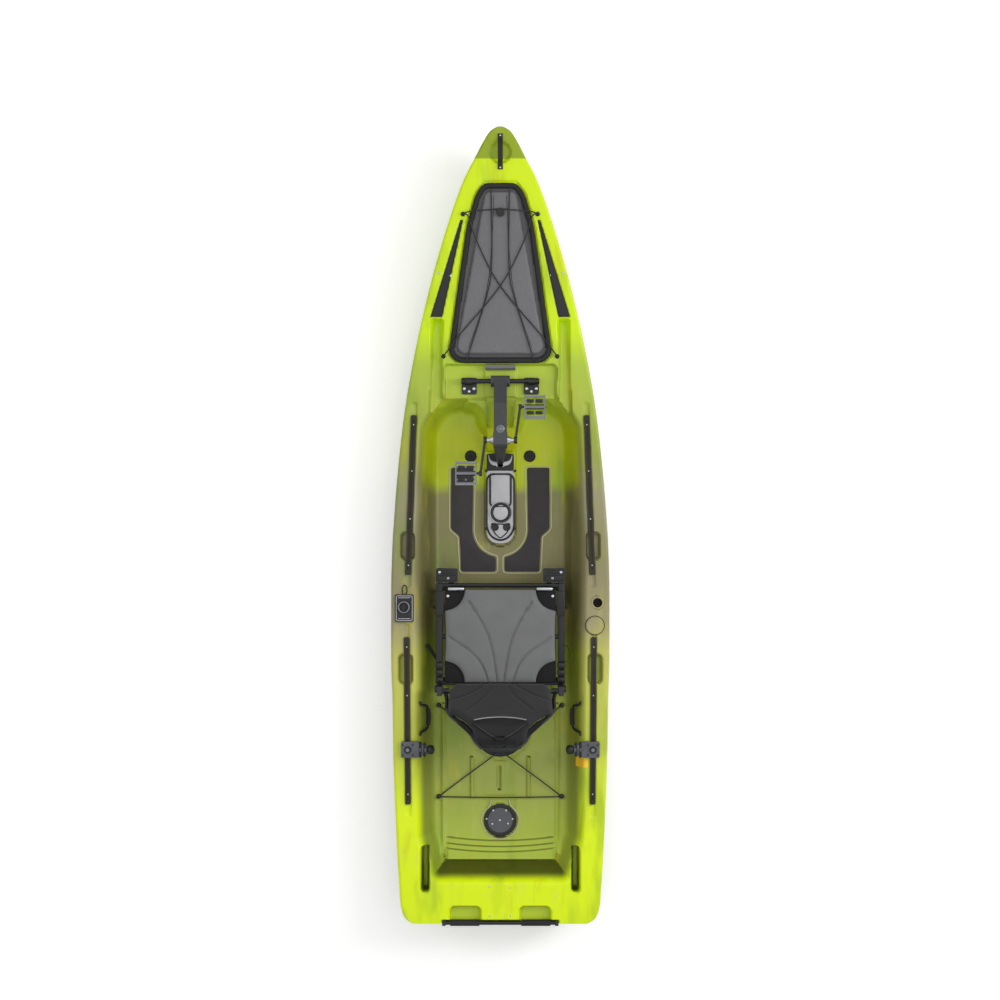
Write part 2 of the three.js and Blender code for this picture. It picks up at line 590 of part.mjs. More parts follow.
function hullShell() {
  const openings = (grow) => [
    cockpitCut(grow), foreDeckCut(grow), ...SIDES.flatMap((side) => gunwaleCuts(grow, side)),
      ...roundCuts(grow),
    hatchRecess(grow), ...undersideCuts(grow), ...trackCuts(grow),
  ];
  const hollow = cut(hullBody(WALL), ...openings(WALL));
  const skin = cut(hullBody(0), ...openings(0));
  const bossX = handleX(SIDE_HANDLE.drop) - HANDLE_BOSS.width / 2;
  const bossZ = GUNWALE_Z - HANDLE_BOSS.drop;
  const bosses = SIDES.flatMap(({ sign }) => [HANDLE_BOSS.frontY, HANDLE_BOSS.aftY].map((y) => block(
    sign * bossX, sign * (bossX + HANDLE_BOSS.depth), y - HANDLE_BOSS.width / 2, y + HANDLE_BOSS.width / 2,
    bossZ - HANDLE_BOSS.height, bossZ)));
  SIDES.forEach(({ sign }) => {
    const deckEyes = [[PAD_EYE.frontX, PAD_EYE.frontY], [PAD_EYE.aftX, PAD_EYE.aftY]];
    deckEyes.forEach(([x, y]) => {
      const eye = rod([sign * x, y, -WALL / 2], [sign * x, y, PAD_EYE.z], PAD_EYE.r, PAD_EYE.sides);
      bosses.push(onDeck(eye));
    });
    [PAD_EYE.tankFrontY, PAD_EYE.tankAftY].forEach((y) => bosses.push(rod(
      [sign * PAD_EYE.tankX, y, COCKPIT.floorZ - WALL / 2],
        [sign * PAD_EYE.tankX, y, COCKPIT.floorZ + PAD_EYE.z],
      PAD_EYE.r, PAD_EYE.sides)));
  });
  const hatchWay = prism(offset(HATCH_OUTLINE, -HATCH.ledge), -HATCH.recess - 3 * WALL, OVERRUN, HATCH_RADII);
  const hatchHole = onDeck(hatchWay);
  const roundHole = rod([0, ROUND_HATCH.y, COCKPIT.floorZ - 3 * WALL], [0, ROUND_HATCH.y, GUNWALE_Z],
    ROUND_HATCH.boreR, ROUND_HATCH.sides);
  const drainHole = rod([0, DRAIN.y, COCKPIT.floorZ - DRAIN.recess - 3 * WALL], [0, DRAIN.y, GUNWALE_Z],
    DRAIN.holeR, DRAIN.sides);
  return cut(union(skin, ...bosses), hollow, hatchHole, roundHole, drainHole);
}

// Body cut out along X from an outline in the upright fore-and-aft plane
function slab(outline, x0, x1) {
  return loft([outline.map(([y, z]) => [x0, y, z]), outline.map(([y, z]) => [x1, y, z])]);
}

// Deck fittings
const BOW_HANDLE = {
  frontY: bowY(FROM_BOW.handleFront), aftY: bowY(FROM_BOW.handleAft), halfX: 12, foot: 22, thick: 6,
  arch: 26, slope: 26,
};
const MAT_PAD = {
  z: 4, inX: 130.5, outX: 240, frontY: 294, stepY: -5, lowerX: 198, lowerY: -41, aftX: 190, aftY: -213,
  toeX: 22, arcR: 137, arcY: -8, corner: 10, arcSteps: 8,
};
const PLUG = { headR: 29, headZ: 11, stemDrop: 26, stemFit: 1, dimpleR: 9, dimpleDepth: 5 };
const STERN_BAR = {
  y: STERN_Y + FROM_STERN.bar, z: 309, r: 11, endX: STERN_STEP.halfX - STERN_STEP.barIn,
  blockX: STERN_STEP.halfX - STERN_STEP.blockIn, blockHalf: 13, gripR: 16, gripInX: 100, gripOutX: 240,
  sides: 16,
};

function bowHandle() {
  const b = BOW_HANDLE;
  const y0 = b.aftY;
  const y1 = b.frontY;
  const line = [
    [y0, GAP], [y0 + b.foot, GAP], [y0 + b.foot + b.slope, b.arch - b.thick],
      [y1 - b.foot - b.slope, b.arch - b.thick],
    [y1 - b.foot, GAP], [y1, GAP], [y1, b.thick], [y1 - b.foot + b.thick / 2, b.thick],
      [y1 - b.foot - b.slope, b.arch],
    [y0 + b.foot + b.slope, b.arch], [y0 + b.foot - b.thick / 2, b.thick], [y0, b.thick],
  ];
  return onDeck(slab(line, -b.halfX, b.halfX));
}

function deckInsert(sign) {
  const line = mirrored(INSERT_OUTLINE, sign);
  const plate = prism(line, GAP - INSERT.recess, -GAP);
  const ridge = prism(offset(line, -INSERT.ridge), -INSERT.recess / 2, INSERT.ridge / 2);
  return onDeck(union(plate, ridge));
}

function gearRail(rail, sign) {
  const z0 = GUNWALE_Z - RAIL_BAR.sink + GAP;
  const bar = prism(railOutline(rail, rail.aftY, rail.frontY, RAIL_BAR.width, sign), z0, z0 + RAIL_BAR.z,
    RAIL_BAR.width / 3);
  const slotLine = railOutline(rail, rail.aftY + RAIL_BAR.width, rail.frontY - RAIL_BAR.width,
    RAIL_BAR.slotWidth, sign);
  return cut(bar, prism(slotLine, z0 + RAIL_BAR.z - RAIL_BAR.slotDepth, z0 + RAIL_BAR.z + OVERRUN));
}

function footMat(sign) {
  const m = MAT_PAD;
  const arc = [];
  for (let i = 0; i <= m.arcSteps; i += 1) {
    const turn = -Math.acos(m.toeX / m.arcR) * (i / m.arcSteps);
    arc.push([Math.max(m.toeX, m.arcR * Math.cos(turn)), m.arcY + m.arcR * Math.sin(turn)]);
  }
  const outer = [[m.toeX, m.aftY], [m.aftX, m.aftY], [m.lowerX, m.lowerY], [m.outX, m.stepY],
    [m.outX, m.frontY], [m.inX, m.frontY]];
  const radii = [m.corner, m.corner, m.corner, m.corner, m.corner, m.corner, ...arc.map(() => 0)];
  const line = mirrored([...outer, ...arc], sign);
  const z0 = FOOTWELL.floorZ + GAP;
  return prism(line, z0, z0 + m.z, sign > 0 ? radii : radii.slice().reverse(), 0, 2);
}

function scupperPlug(sign) {
  const z0 = FOOTWELL.floorZ + GAP;
  const stemR = SCUPPER.r - PLUG.stemFit;
  const profile = [
    [0, z0 - PLUG.stemDrop], [stemR, z0 - PLUG.stemDrop], [stemR, z0], [PLUG.headR, z0],
      [PLUG.headR, z0 + PLUG.headZ / 2],
    [PLUG.headR - PLUG.headZ / 2, z0 + PLUG.headZ], [PLUG.dimpleR, z0 + PLUG.headZ],
    [PLUG.dimpleR, z0 + PLUG.headZ - PLUG.dimpleDepth], [0, z0 + PLUG.headZ - PLUG.dimpleDepth],
  ];
  return turned(profile, sign * SCUPPER.x, SCUPPER.y, SCUPPER.sides);
}

function sternBar() {
  const s = STERN_BAR;
  const bar = rod([-s.endX, s.y, s.z], [s.endX, s.y, s.z], s.r, s.sides);
  const ends = SIDES.map(({ sign }) => block(sign * s.blockX, sign * (s.endX + s.r / 2), s.y - s.blockHalf,
    s.y + s.blockHalf, STERN_STEP.z + GAP, s.z + s.blockHalf));
  return union(bar, ...ends);
}

function sternGrip(sign) {
  const s = STERN_BAR;
  const sleeve = rod([sign * s.gripInX, s.y, s.z], [sign * s.gripOutX, s.y, s.z], s.gripR, s.sides);
  const bore = rod([sign * (s.gripInX - OVERRUN), s.y, s.z], [sign * (s.gripOutX + OVERRUN), s.y, s.z],
    s.r + GAP, s.sides);
  return cut(sleeve, bore);
}

// Hatch lid on the fore deck, made flat on the deck plane
function hatchLid() {
  const h = HATCH;
  const z0 = -h.recess + h.sealZ + 2 * GAP;
  const shell = prism(HATCH_OUTLINE, z0, h.rimZ, HATCH_RADII);
  const inner = offset(HATCH_OUTLINE, -h.rimWidth);
  const dish = prism(inner, h.panelZ, h.rimZ + OVERRUN, HATCH_RADII, h.rimDraft);
  const facetLine = bothSides([[h.facetAftX, h.facetAftY], [h.facetNoseX, h.noseY - 2 * h.rimWidth]]);
  const facet = prism(offset(facetLine, -h.rimWidth / 2), h.panelZ - WALL / 2, h.facetZ, h.rimWidth / 2,
    -h.rimWidth / 3);
  const lugs = SIDES.map(({ sign }) => block(sign * LATCH.lugIn, sign * LATCH.lugOut,
    h.aftY - LATCH.pinR - GAP,
    h.aftY + LATCH.pinR, h.panelZ, h.rimZ - GAP));
  return onDeck(union(cut(shell, dish), facet, ...lugs));
}

function hatchSeal() {
  const outer = offset(HATCH_OUTLINE, -HATCH.sealWidth / 2);
  const inner = offset(outer, -HATCH.sealWidth);
  const z0 = -HATCH.recess + GAP;
  const window = prism(inner, z0 - OVERRUN, z0 + OVERRUN, HATCH_RADII);
  return onDeck(cut(prism(outer, z0, z0 + HATCH.sealZ, HATCH_RADII), window));
}

function lidKnob() {
  const k = LID_KNOB;
  const z0 = HATCH.facetZ + GAP;
  const profile = [
    [0, z0], [k.neckR, z0], [k.neckR, z0 + k.z / 2], [k.r, z0 + k.z / 2 + 2 * GAP], [k.r, z0 + k.z - 2 * GAP],
    [k.r - k.neckR / 2, z0 + k.z], [0, z0 + k.z],
  ];
  return onDeck(turned(profile, 0, k.y, k.sides));
}

function hatchLatch() {
  const l = LATCH;
  const front = HATCH.aftY - l.lip;
  const aft = front - l.depth;
  const line = [
    [front, l.topZ], [aft + l.chin, l.topZ], [aft, l.topZ - l.chin], [aft, l.footZ + l.chin / 2],
    [aft + l.chin / 2, l.footZ], [front - l.chin, l.footZ], [front, l.footZ + l.chin],
  ];
  return slab(line, -l.halfX, l.halfX);
}

// Shock cords over the fore hatch and the tank well
const CORD = {
  r: 3, endR: 5, sides: 5, endSides: 6, steps: 6, rimLift: 9, midZ: 17, tankMidZ: 214, tankQuarterZ: 207,
  tankEndR: 8,
};
// Turning points of the cords: across the boat, and along it from the hooks that they start and end at
const CORD_WAY = {
  rimX: 150, kneeX: 111, lastX: 204, aftRimX: 246, longX: 44, longKneeX: 42, longWaistX: 41, longTurnX: 64,
  longAftX: 153, longEndX: 156, frontRimX: 144, knobClear: 16, tankTurnX: 180, tankSag: 4,
};
const BOW_CORD_RUN = {
  rimIn: 15, kneeIn: 131, crossIn: 340, lastOut: 91, aftRimOut: 34, bowOut: 20, waistIn: 236, turnIn: 385,
  longAftOut: 6, frontRimOut: 11,
};
const TANK_CORD_RUN = { turnIn: 87, crossIn: 218, lastOut: 91 };

function stretched(runs, share) {
  return Object.fromEntries(Object.entries(runs).map(([name, run]) => [name, run * share]));
}

// Hooked end of a cord, standing on its pad eye
function cordHook(x, y, z, r) {
  return rod([x, y, z - r], [x, y, z + r], r, CORD.endSides);
}

function bowCords() {
  const end = PAD_EYE.z + GAP + CORD.endR;
  const rim = HATCH.rimZ + CORD.rimLift;
  const mid = CORD.midZ;
  const low = mid - CORD.r;
  const front = PAD_EYE.frontY;
  const way = CORD_WAY;
  const run = stretched(BOW_CORD_RUN, BOW_SHARE);
  const thin = (path, steps) => tube(path, CORD.r, steps, CORD.sides);
  const cords = [];
  SIDES.forEach(({ sign }) => {
    cords.push(thin([
      [sign * PAD_EYE.frontX, front, end], [sign * way.rimX, front - run.rimIn, rim],
      [sign * way.kneeX, front - run.kneeIn, mid], [0, front - run.crossIn, mid],
      [-sign * way.lastX, PAD_EYE.aftY + run.lastOut, mid],
      [-sign * way.aftRimX, PAD_EYE.aftY + run.aftRimOut, rim], [-sign * PAD_EYE.aftX, PAD_EYE.aftY, end],
    ], 2 * CORD.steps));
    cords.push(thin([
      [sign * way.longX, HATCH.noseY - HATCH.rimWidth - CORD.endR, low],
      [sign * way.longKneeX, front + run.bowOut, mid], [sign * way.longWaistX, front - run.waistIn, mid],
      [sign * way.longTurnX, front - run.turnIn, mid],
      [sign * way.longAftX, PAD_EYE.aftY + run.longAftOut, mid],
      [sign * way.longEndX, HATCH.aftY + HATCH.rimWidth + CORD.endR, low],
    ], CORD.steps));
    cords.push(cordHook(sign * PAD_EYE.frontX, PAD_EYE.frontY, end, CORD.endR));
    cords.push(cordHook(-sign * PAD_EYE.aftX, PAD_EYE.aftY, end, CORD.endR));
  });
  const half = (sign) => [
    [sign * PAD_EYE.frontX, front, end], [sign * way.frontRimX, front + run.frontRimOut, rim],
    [sign * way.longX, front + run.bowOut, mid],
  ];
  const middle = [0, LID_KNOB.y + way.knobClear, mid];
  cords.push(thin([...half(-1), middle, ...half(1).reverse()], CORD.steps));
  return onDeck(union(...cords));
}

function tankCords() {
  const z = COCKPIT.floorZ + PAD_EYE.z + GAP + CORD.tankEndR;
  const { tankX, tankFrontY, tankAftY } = PAD_EYE;
  const way = CORD_WAY;
  const run = stretched(TANK_CORD_RUN, STERN_SHARE);
  const cords = [];
  SIDES.forEach(({ sign }) => {
    cords.push(tube([
      [sign * tankX, tankFrontY, z], [sign * way.tankTurnX, tankFrontY - run.turnIn, CORD.tankQuarterZ],
      [0, tankFrontY - run.crossIn, CORD.tankMidZ],
      [-sign * way.tankTurnX, tankAftY + run.lastOut, CORD.tankQuarterZ], [-sign * tankX, tankAftY, z],
    ], CORD.r, CORD.steps, CORD.sides));
    cords.push(cordHook(sign * tankX, tankFrontY, z, CORD.tankEndR));
    cords.push(cordHook(-sign * tankX, tankAftY, z, CORD.tankEndR));
  });
  cords.push(tube([[-tankX, tankAftY, z], [0, tankAftY - way.tankSag, z], [tankX, tankAftY, z]], CORD.r,
    CORD.steps, CORD.sides));
  return union(...cords);
}

// Hatches and plates in the tank well and on the gunwales
function roundHatchRing() {
  const r = ROUND_HATCH;
  const floor = COCKPIT.floorZ + GAP;
  const boreR = r.boreR - WALL;
  const profile = [[boreR, floor - 3 * WALL], [r.boreR - 2 * GAP, floor - 3 * WALL],
    [r.boreR - 2 * GAP, floor], [r.r, floor],
    [r.r, floor + r.z / 2], [r.r - WALL, floor + r.z], [boreR, floor + r.z], [boreR, floor - 3 * WALL]];
  return turned(profile, 0, r.y, r.sides);
}

function roundHatchCover() {
  const r = ROUND_HATCH;
  const z0 = COCKPIT.floorZ + r.z + 2 * GAP;
  const plugR = r.boreR - WALL - RUN_GAP;
  const discR = r.r - 2 * WALL;
  const disc = turned([[0, z0 - 2 * WALL], [plugR, z0 - 2 * WALL], [plugR, z0], [discR, z0],
    [discR, z0 + WALL / 2],
    [discR - WALL, z0 + WALL], [0, z0 + WALL]], 0, r.y, r.sides);
  const bar = block(-WALL, WALL, r.y - plugR / 2, r.y + plugR / 2, z0, z0 + WALL + GAP);
  return union(disc, bar);
}

function drainPlate() {
  const { plateR: r, plateZ: h } = DRAIN;
  const z0 = COCKPIT.floorZ - DRAIN.recess + GAP;
  const profile = [[0, z0], [r, z0], [r, z0 + h * 0.75], [r - h / 4, z0 + h], [0, z0 + h]];
  return turned(profile, 0, DRAIN.y, DRAIN.sides);
}

const CAP_PLUG = { r: 29, drop: 13 };

function gunwaleCap() {
  const z0 = GUNWALE_Z + GAP;
  const disc = turned([[0, z0 - CAP_PLUG.drop], [CAP_PLUG.r, z0 - CAP_PLUG.drop], [CAP_PLUG.r, z0],
    [CAP.r, z0],
    [CAP.r, z0 + CAP.z / 2], [CAP.r - CAP.z / 2, z0 + CAP.z], [0, z0 + CAP.z]], CAP.x, CAP.y, CAP.sides);
  const tab = block(CAP.tabX, CAP.x, CAP.y - CAP.tabWidth / 2, CAP.y + CAP.tabWidth / 2, z0, z0 + CAP.z / 2);
  return union(disc, tab);
}

const STEER = {
  inX: 414, outX: 503, frontY: -315, aftY: -446, z: 16, corner: 8, knobX: 460, knobY: -375, knobR: 30,
  knobZ: 26, sides: 24,
};

function steeringBase() {
  const z0 = GUNWALE_Z + GAP;
  const line = mirrored(rectangle(STEER.inX, STEER.outX, STEER.aftY, STEER.frontY), -1);
  return prism(line, z0, z0 + STEER.z, STEER.corner, -GAP);
}

function steeringKnob() {
  const z0 = GUNWALE_Z + STEER.z + 2 * GAP + GAP;
  const { knobR: r, knobZ: h } = STEER;
  const dial = turned([[0, z0], [r, z0], [r, z0 + h / 3], [r * 0.82, z0 + h / 2], [r * 0.7, z0 + h / 2],
    [r * 0.6, z0 + h / 3],
    [0, z0 + h / 3]], -STEER.knobX, STEER.knobY, STEER.sides);
  const bar = block(-STEER.knobX - r / 5, -STEER.knobX + r / 5, STEER.knobY - r * 0.6,
    STEER.knobY + r * 0.6, z0, z0 + h);
  return union(dial, bar);
}

const CLAMP = {
  inX: 387, outX: 473, y: -1054, half: 38, z: 27, corner: 6, barR: 14, barX: 352, bandR: 19, bandWidth: 9,
  knobX: 313, knobR: 17, tipR: 8, axisZ: 354,
};

function railClamp(sign) {
  const c = CLAMP;
  const z0 = GUNWALE_Z - RAIL_BAR.sink + RAIL_BAR.z + 2 * GAP;
  const body = prism(mirrored(rectangle(c.inX, c.outX, c.y - c.half, c.y + c.half), sign), z0, z0 + c.z,
    c.corner);
  const bar = rod([sign * (c.inX + c.corner), c.y, c.axisZ], [sign * c.barX, c.y, c.axisZ], c.barR, 12);
  const band = (x) => rod([sign * x, c.y, c.axisZ], [sign * (x - c.bandWidth), c.y, c.axisZ], c.bandR, 12);
  return union(body, bar, band(c.inX - 2 * GAP), band(c.barX + c.bandWidth));
}

function clampKnob(sign) {
  const c = CLAMP;
  const x1 = c.barX - GAP;
  return rod([sign * x1, c.y, c.axisZ], [sign * c.knobX, c.y, c.axisZ], c.knobR, 6, c.tipR);
}

function carryHandle(sign) {
  const s = SIDE_HANDLE;
  const y0 = HANDLE_BOSS.aftY + HANDLE_BOSS.width / 2 + GAP;
  const y1 = HANDLE_BOSS.frontY - HANDLE_BOSS.width / 2 - GAP;
  const x = handleX(s.drop);
  const reachX = handleX(s.reachDrop);
  const z = GUNWALE_Z - s.drop;
  const reachZ = GUNWALE_Z - s.reachDrop;
  const route = [
    [x, y0, z], [x - GAP, y0 + s.r * 2, z - GAP], [reachX, y0 + s.bend, reachZ],
      [reachX, y1 - s.bend, reachZ],
    [x - GAP, y1 - s.r * 2, z - GAP], [x, y1, z],
  ].map((point) => [sign * point[0], point[1], point[2]]);
  const loop = tube(route, s.r, s.steps, s.sides);
  const keep = block(sign * (reachX - OVERRUN), sign * (x + OVERRUN), y0, y1, reachZ - OVERRUN, z + OVERRUN);
  return loop.intersect(keep);
}

// Pedal drive
const DRIVE = {
  barY: 703, barZ: 345, barR: 11, barHalf: 186, barEndR: 13, bracketX: 149, bracketHalf: 36,
  bracketAftY: 642, bracketFrontY: 722, plateZ: 8, saddleHalf: 15, saddleZ: 17, bossR: 27, bossHalf: 45,
  armHalf: 31, crankY: 419, crankZ: 430, barrelR: 40, barrelHalf: 33, boreR: 9.8, footY: 322, footZ: 122,
  footHalf: 15,
};
const CRANK = {
  axleR: 9, axleEnd: 63.6, coneR: 22, coneTipR: 12, coneEnd: 52, hubR: 17, hubIn: 64, hubOut: 80,
  length: 157, tipIn: 86, tipOut: 101, tipR: 13, webHalf: 10, webThick: 6, spindleR: 6, spindleEnd: 216,
};
const PEDAL = {
  inX: 112, outX: 213, barrelR: 12, halfY: 56, halfZ: 12, barDepth: 13, plate: 6, slatHalf: 4, slatY: 30,
};
const SOCKET = {
  flangeX: 66, aftY: 280, frontY: 362, flangeZ: 10, cheekZ: 58, slotHalf: 18, slotAftY: 298,
  slotFrontY: 354, webZ: 112, frontGap: 1.2,
};
const LEG = {
  pinY: 322, pinZ: 80, pinR: 6, eyeR: 20, eyeHalf: 15, endY: 8, half: 12, chordHalf: 27, gearR: 26,
  gearZ0: 41, gearZ1: 118, tailZ: 136, tailR: 12, ring: 12,
};
const PROP = {
  hubR: 17, z0: 13, z1: 40.2, noseZ: 4, noseR: 5, tipR: 118, rootHalf: 15, midHalf: 27, tipHalf: 13,
  thick: 3,
};
const COVER = {
  halfX: 66, frontY: 278, aftY: -75, z: 12, lip: 4, panelHalf: 44, panelFrontY: 262, panelAftY: 124,
  ringY: 75, ringR: 53, ringIn: 44, ringZ: 9, ringSides: 22, tailHalf: 46, tailFrontY: 18, tailAftY: -54,
};

function crossbar() {
  const d = DRIVE;
  const bar = rod([-d.barHalf, d.barY, d.barZ], [d.barHalf, d.barY, d.barZ], d.barR, 16);
  const caps = SIDES.map(({ sign }) => rod([sign * (d.barHalf - d.barR), d.barY, d.barZ],
    [sign * (d.barHalf + GAP), d.barY, d.barZ], d.barEndR, 16));
  return union(bar, ...caps);
}

function barBracket(sign) {
  const d = DRIVE;
  const x = sign * d.bracketX;
  const z0 = FORE_DECK.z + GAP;
  const plate = prism(rectangle(x - d.bracketHalf, x + d.bracketHalf, d.bracketAftY, d.bracketFrontY), z0,
    z0 + d.plateZ,
    d.plateZ, 0, 2);
  const saddle = block(x - d.saddleHalf, x + d.saddleHalf, d.barY - d.saddleZ, d.barY + d.saddleZ, z0,
    d.barZ);
  const crown = rod([x - d.saddleHalf, d.barY, d.barZ], [x + d.saddleHalf, d.barY, d.barZ], d.saddleZ, 16);
  const bolts = SIDES.map((side) => rod([x + side.sign * (d.bracketHalf - d.barR),
    d.bracketAftY + 2.5 * d.barR, z0],
    [x + side.sign * (d.bracketHalf - d.barR), d.bracketAftY + 2.5 * d.barR, z0 + 2 * d.plateZ], d.plateZ,
      8));
  const bore = rod([x - OVERRUN, d.barY, d.barZ], [x + OVERRUN, d.barY, d.barZ], d.barR + GAP, 16);
  return cut(union(plate, saddle, crown, ...bolts), bore);
}

function driveArm() {
  const d = DRIVE;
  const boss = rod([-d.bossHalf, d.barY, d.barZ], [d.bossHalf, d.barY, d.barZ], d.bossR, 16);
  const top = d.crankZ + d.barrelR;
  const beam = slab([
    [d.barY + d.bossR / 2, d.barZ + d.bossR * 0.85], [d.barY - d.bossR * 4, top - d.bossR * 1.2],
    [d.crankY + d.barrelR, top], [d.crankY - d.barrelR / 2, top - GAP], [d.crankY - d.barrelR / 2, d.crankZ],
    [d.crankY + d.barrelR, d.crankZ - d.barrelR * 0.6], [d.barY - d.bossR * 4, d.crankZ - d.barrelR * 1.5],
    [d.barY, d.barZ - d.bossR * 0.9],
  ], -d.armHalf, d.armHalf);
  const barrel = rod([-d.barrelHalf, d.crankY, d.crankZ], [d.barrelHalf, d.crankY, d.crankZ], d.barrelR, 20);
  const ring = (half, y0, y1, z) => [[-half, y0 + half / 3, z], [-half + half / 3, y0, z],
    [half - half / 3, y0, z],
    [half, y0 + half / 3, z], [half, y1 - half / 3, z], [half - half / 3, y1, z], [-half + half / 3, y1, z],
    [-half, y1 - half / 3, z]];
  const leg = loft([
    ring(d.footHalf, d.footY - d.footHalf, d.footY + d.footHalf, d.footZ),
    ring(d.footHalf, d.footY - d.footHalf, d.footY + d.footHalf * 1.5, d.footZ + 2 * d.footHalf),
    ring(d.footHalf * 1.5, d.footY + d.footHalf, d.footY + d.footHalf * 4.2, (d.footZ + d.crankZ) / 2),
    ring(d.armHalf - GAP, d.crankY - d.barrelR, d.crankY + d.barrelR, d.crankZ - d.barrelR / 2),
  ]);
  const body = union(boss, beam, barrel, leg);
  const barBore = rod([-OVERRUN, d.barY, d.barZ], [OVERRUN, d.barY, d.barZ], d.barR + GAP, 16);
  const axleBore = rod([-OVERRUN, d.crankY, d.crankZ], [OVERRUN, d.crankY, d.crankZ], d.boreR, 16);
  return cut(body, barBore, axleBore);
}

function crankAxle() {
  const c = CRANK;
  const { crankY: y, crankZ: z } = DRIVE;
  const axle = rod([-c.axleEnd, y, z], [c.axleEnd, y, z], c.axleR, 12);
  const cones = SIDES.map(({ sign }) => rod([sign * (DRIVE.barrelHalf + RUN_GAP), y, z],
    [sign * c.coneEnd, y, z],
    c.coneR, 14, c.coneTipR));
  return union(axle, ...cones);
}

function crankArm(sign) {
  const c = CRANK;
  const { crankY: y, crankZ: z } = DRIVE;
  const tipY = y + sign * c.length;
  const hub = rod([sign * c.hubIn, y, z], [sign * c.hubOut, y, z], c.hubR, 16);
  const tip = rod([sign * c.tipIn, tipY, z], [sign * c.tipOut, tipY, z], c.tipR, 16);
  const ringAt = (x, ringY) => [[x - c.webThick, ringY, z - c.webHalf],
    [x + c.webThick, ringY, z - c.webHalf],
    [x + c.webThick, ringY, z + c.webHalf], [x - c.webThick, ringY, z + c.webHalf]];
  const web = loft([ringAt(sign * (c.hubIn + c.hubOut) / 2, y),
    ringAt(sign * (c.tipIn + c.tipOut) / 2, tipY)]);
  const spindle = rod([sign * c.tipIn, tipY, z], [sign * c.spindleEnd, tipY, z], c.spindleR, 12);
  return union(hub, tip, web, spindle);
}

function pedal(sign) {
  const p = PEDAL;
  const y = DRIVE.crankY + sign * CRANK.length;
  const z = DRIVE.crankZ;
  const span = [sign * p.inX, sign * p.outX];
  const barrel = rod([span[0], y, z], [span[1], y, z], p.barrelR, 16);
  const parts = [barrel];
  SIDES.forEach(({ sign: way }) => {
    parts.push(block(...span, y + way * (p.halfY - p.barDepth), y + way * p.halfY, z - p.halfZ, z + p.halfZ));
    parts.push(block(...span, y + way * p.slatY - p.slatHalf, y + way * p.slatY + p.slatHalf,
      z - p.slatHalf, z + p.slatHalf));
  });
  span.forEach((x, i) => {
    const inner = i === 0 ? x + sign * p.plate : x - sign * p.plate;
    parts.push(block(x, inner, y - p.halfY + GAP, y + p.halfY - GAP, z - p.halfZ + GAP, z + p.halfZ - GAP));
  });
  return cut(union(...parts), rod([sign * (p.inX - OVERRUN), y, z], [sign * (p.outX + OVERRUN), y, z],
    CRANK.spindleR + GAP, 12));
}

function wellSocket() {
  const s = SOCKET;
  const z0 = FOOTWELL.podZ + GAP;
  const flange = prism(rectangle(-s.flangeX, s.flangeX, s.aftY, s.frontY), z0, z0 + s.flangeZ, s.flangeZ, 0,
    2);
  const x = WELL.halfX - 2 * GAP;
  const cheeks = prism(rectangle(-x, x, s.aftY, WELL.frontY - s.frontGap), s.cheekZ, z0 + s.flangeZ / 2,
    [0, 0, WELL.corner, WELL.corner]);
  const throat = block(-s.slotHalf, s.slotHalf, s.slotAftY, s.slotFrontY, s.cheekZ - OVERRUN, z0 + OVERRUN);
  const aftWay = block(-s.slotHalf, s.slotHalf, s.aftY - OVERRUN, s.slotFrontY, s.cheekZ - OVERRUN, s.webZ);
  const bore = rod([-OVERRUN, LEG.pinY, LEG.pinZ], [OVERRUN, LEG.pinY, LEG.pinZ], LEG.pinR + GAP, 12);
  return cut(union(flange, cheeks), throat, aftWay, bore);
}

function legPin() {
  const x = WELL.halfX - 3 * GAP;
  return rod([-x, LEG.pinY, LEG.pinZ], [x, LEG.pinY, LEG.pinZ], LEG.pinR, 12);
}

// Lower leg folded aft under the cover, with its gearcase and propeller
function driveLeg() {
  const l = LEG;
  const eye = rod([-l.eyeHalf, l.pinY, l.pinZ], [l.eyeHalf, l.pinY, l.pinZ], l.eyeR, 16);
  const ringAt = (y, scale) => {
    const ring = [];
    for (let i = 0; i < l.ring; i += 1) {
      const turn = (i / l.ring) * 2 * Math.PI;
      ring.push([l.half * scale * Math.cos(turn), y, l.pinZ + l.chordHalf * scale * Math.sin(turn)]);
    }
    return ring;
  };
  const gearY = WELL.dishY;
  const strut = loft([ringAt(l.pinY - l.eyeR * 0.3, 0.7), ringAt(l.pinY - l.eyeR * 1.6, 1),
    ringAt(gearY + l.gearR * 0.9, 1)]);
  const bore = rod([-OVERRUN, l.pinY, l.pinZ], [OVERRUN, l.pinY, l.pinZ], l.pinR + GAP, 12);
  const seat = rod([0, gearY, l.gearZ0 - OVERRUN], [0, gearY, l.tailZ + OVERRUN], l.gearR + GAP, 20);
  return cut(union(eye, strut), bore, seat);
}

function gearcase() {
  const l = LEG;
  return turned([[0, l.gearZ0], [l.gearR * 0.8, l.gearZ0], [l.gearR, l.gearZ0 + l.tailR],
    [l.gearR, l.gearZ1 - l.tailR],
    [l.tailR, l.tailZ], [0, l.tailZ]], 0, WELL.dishY, 20);
}

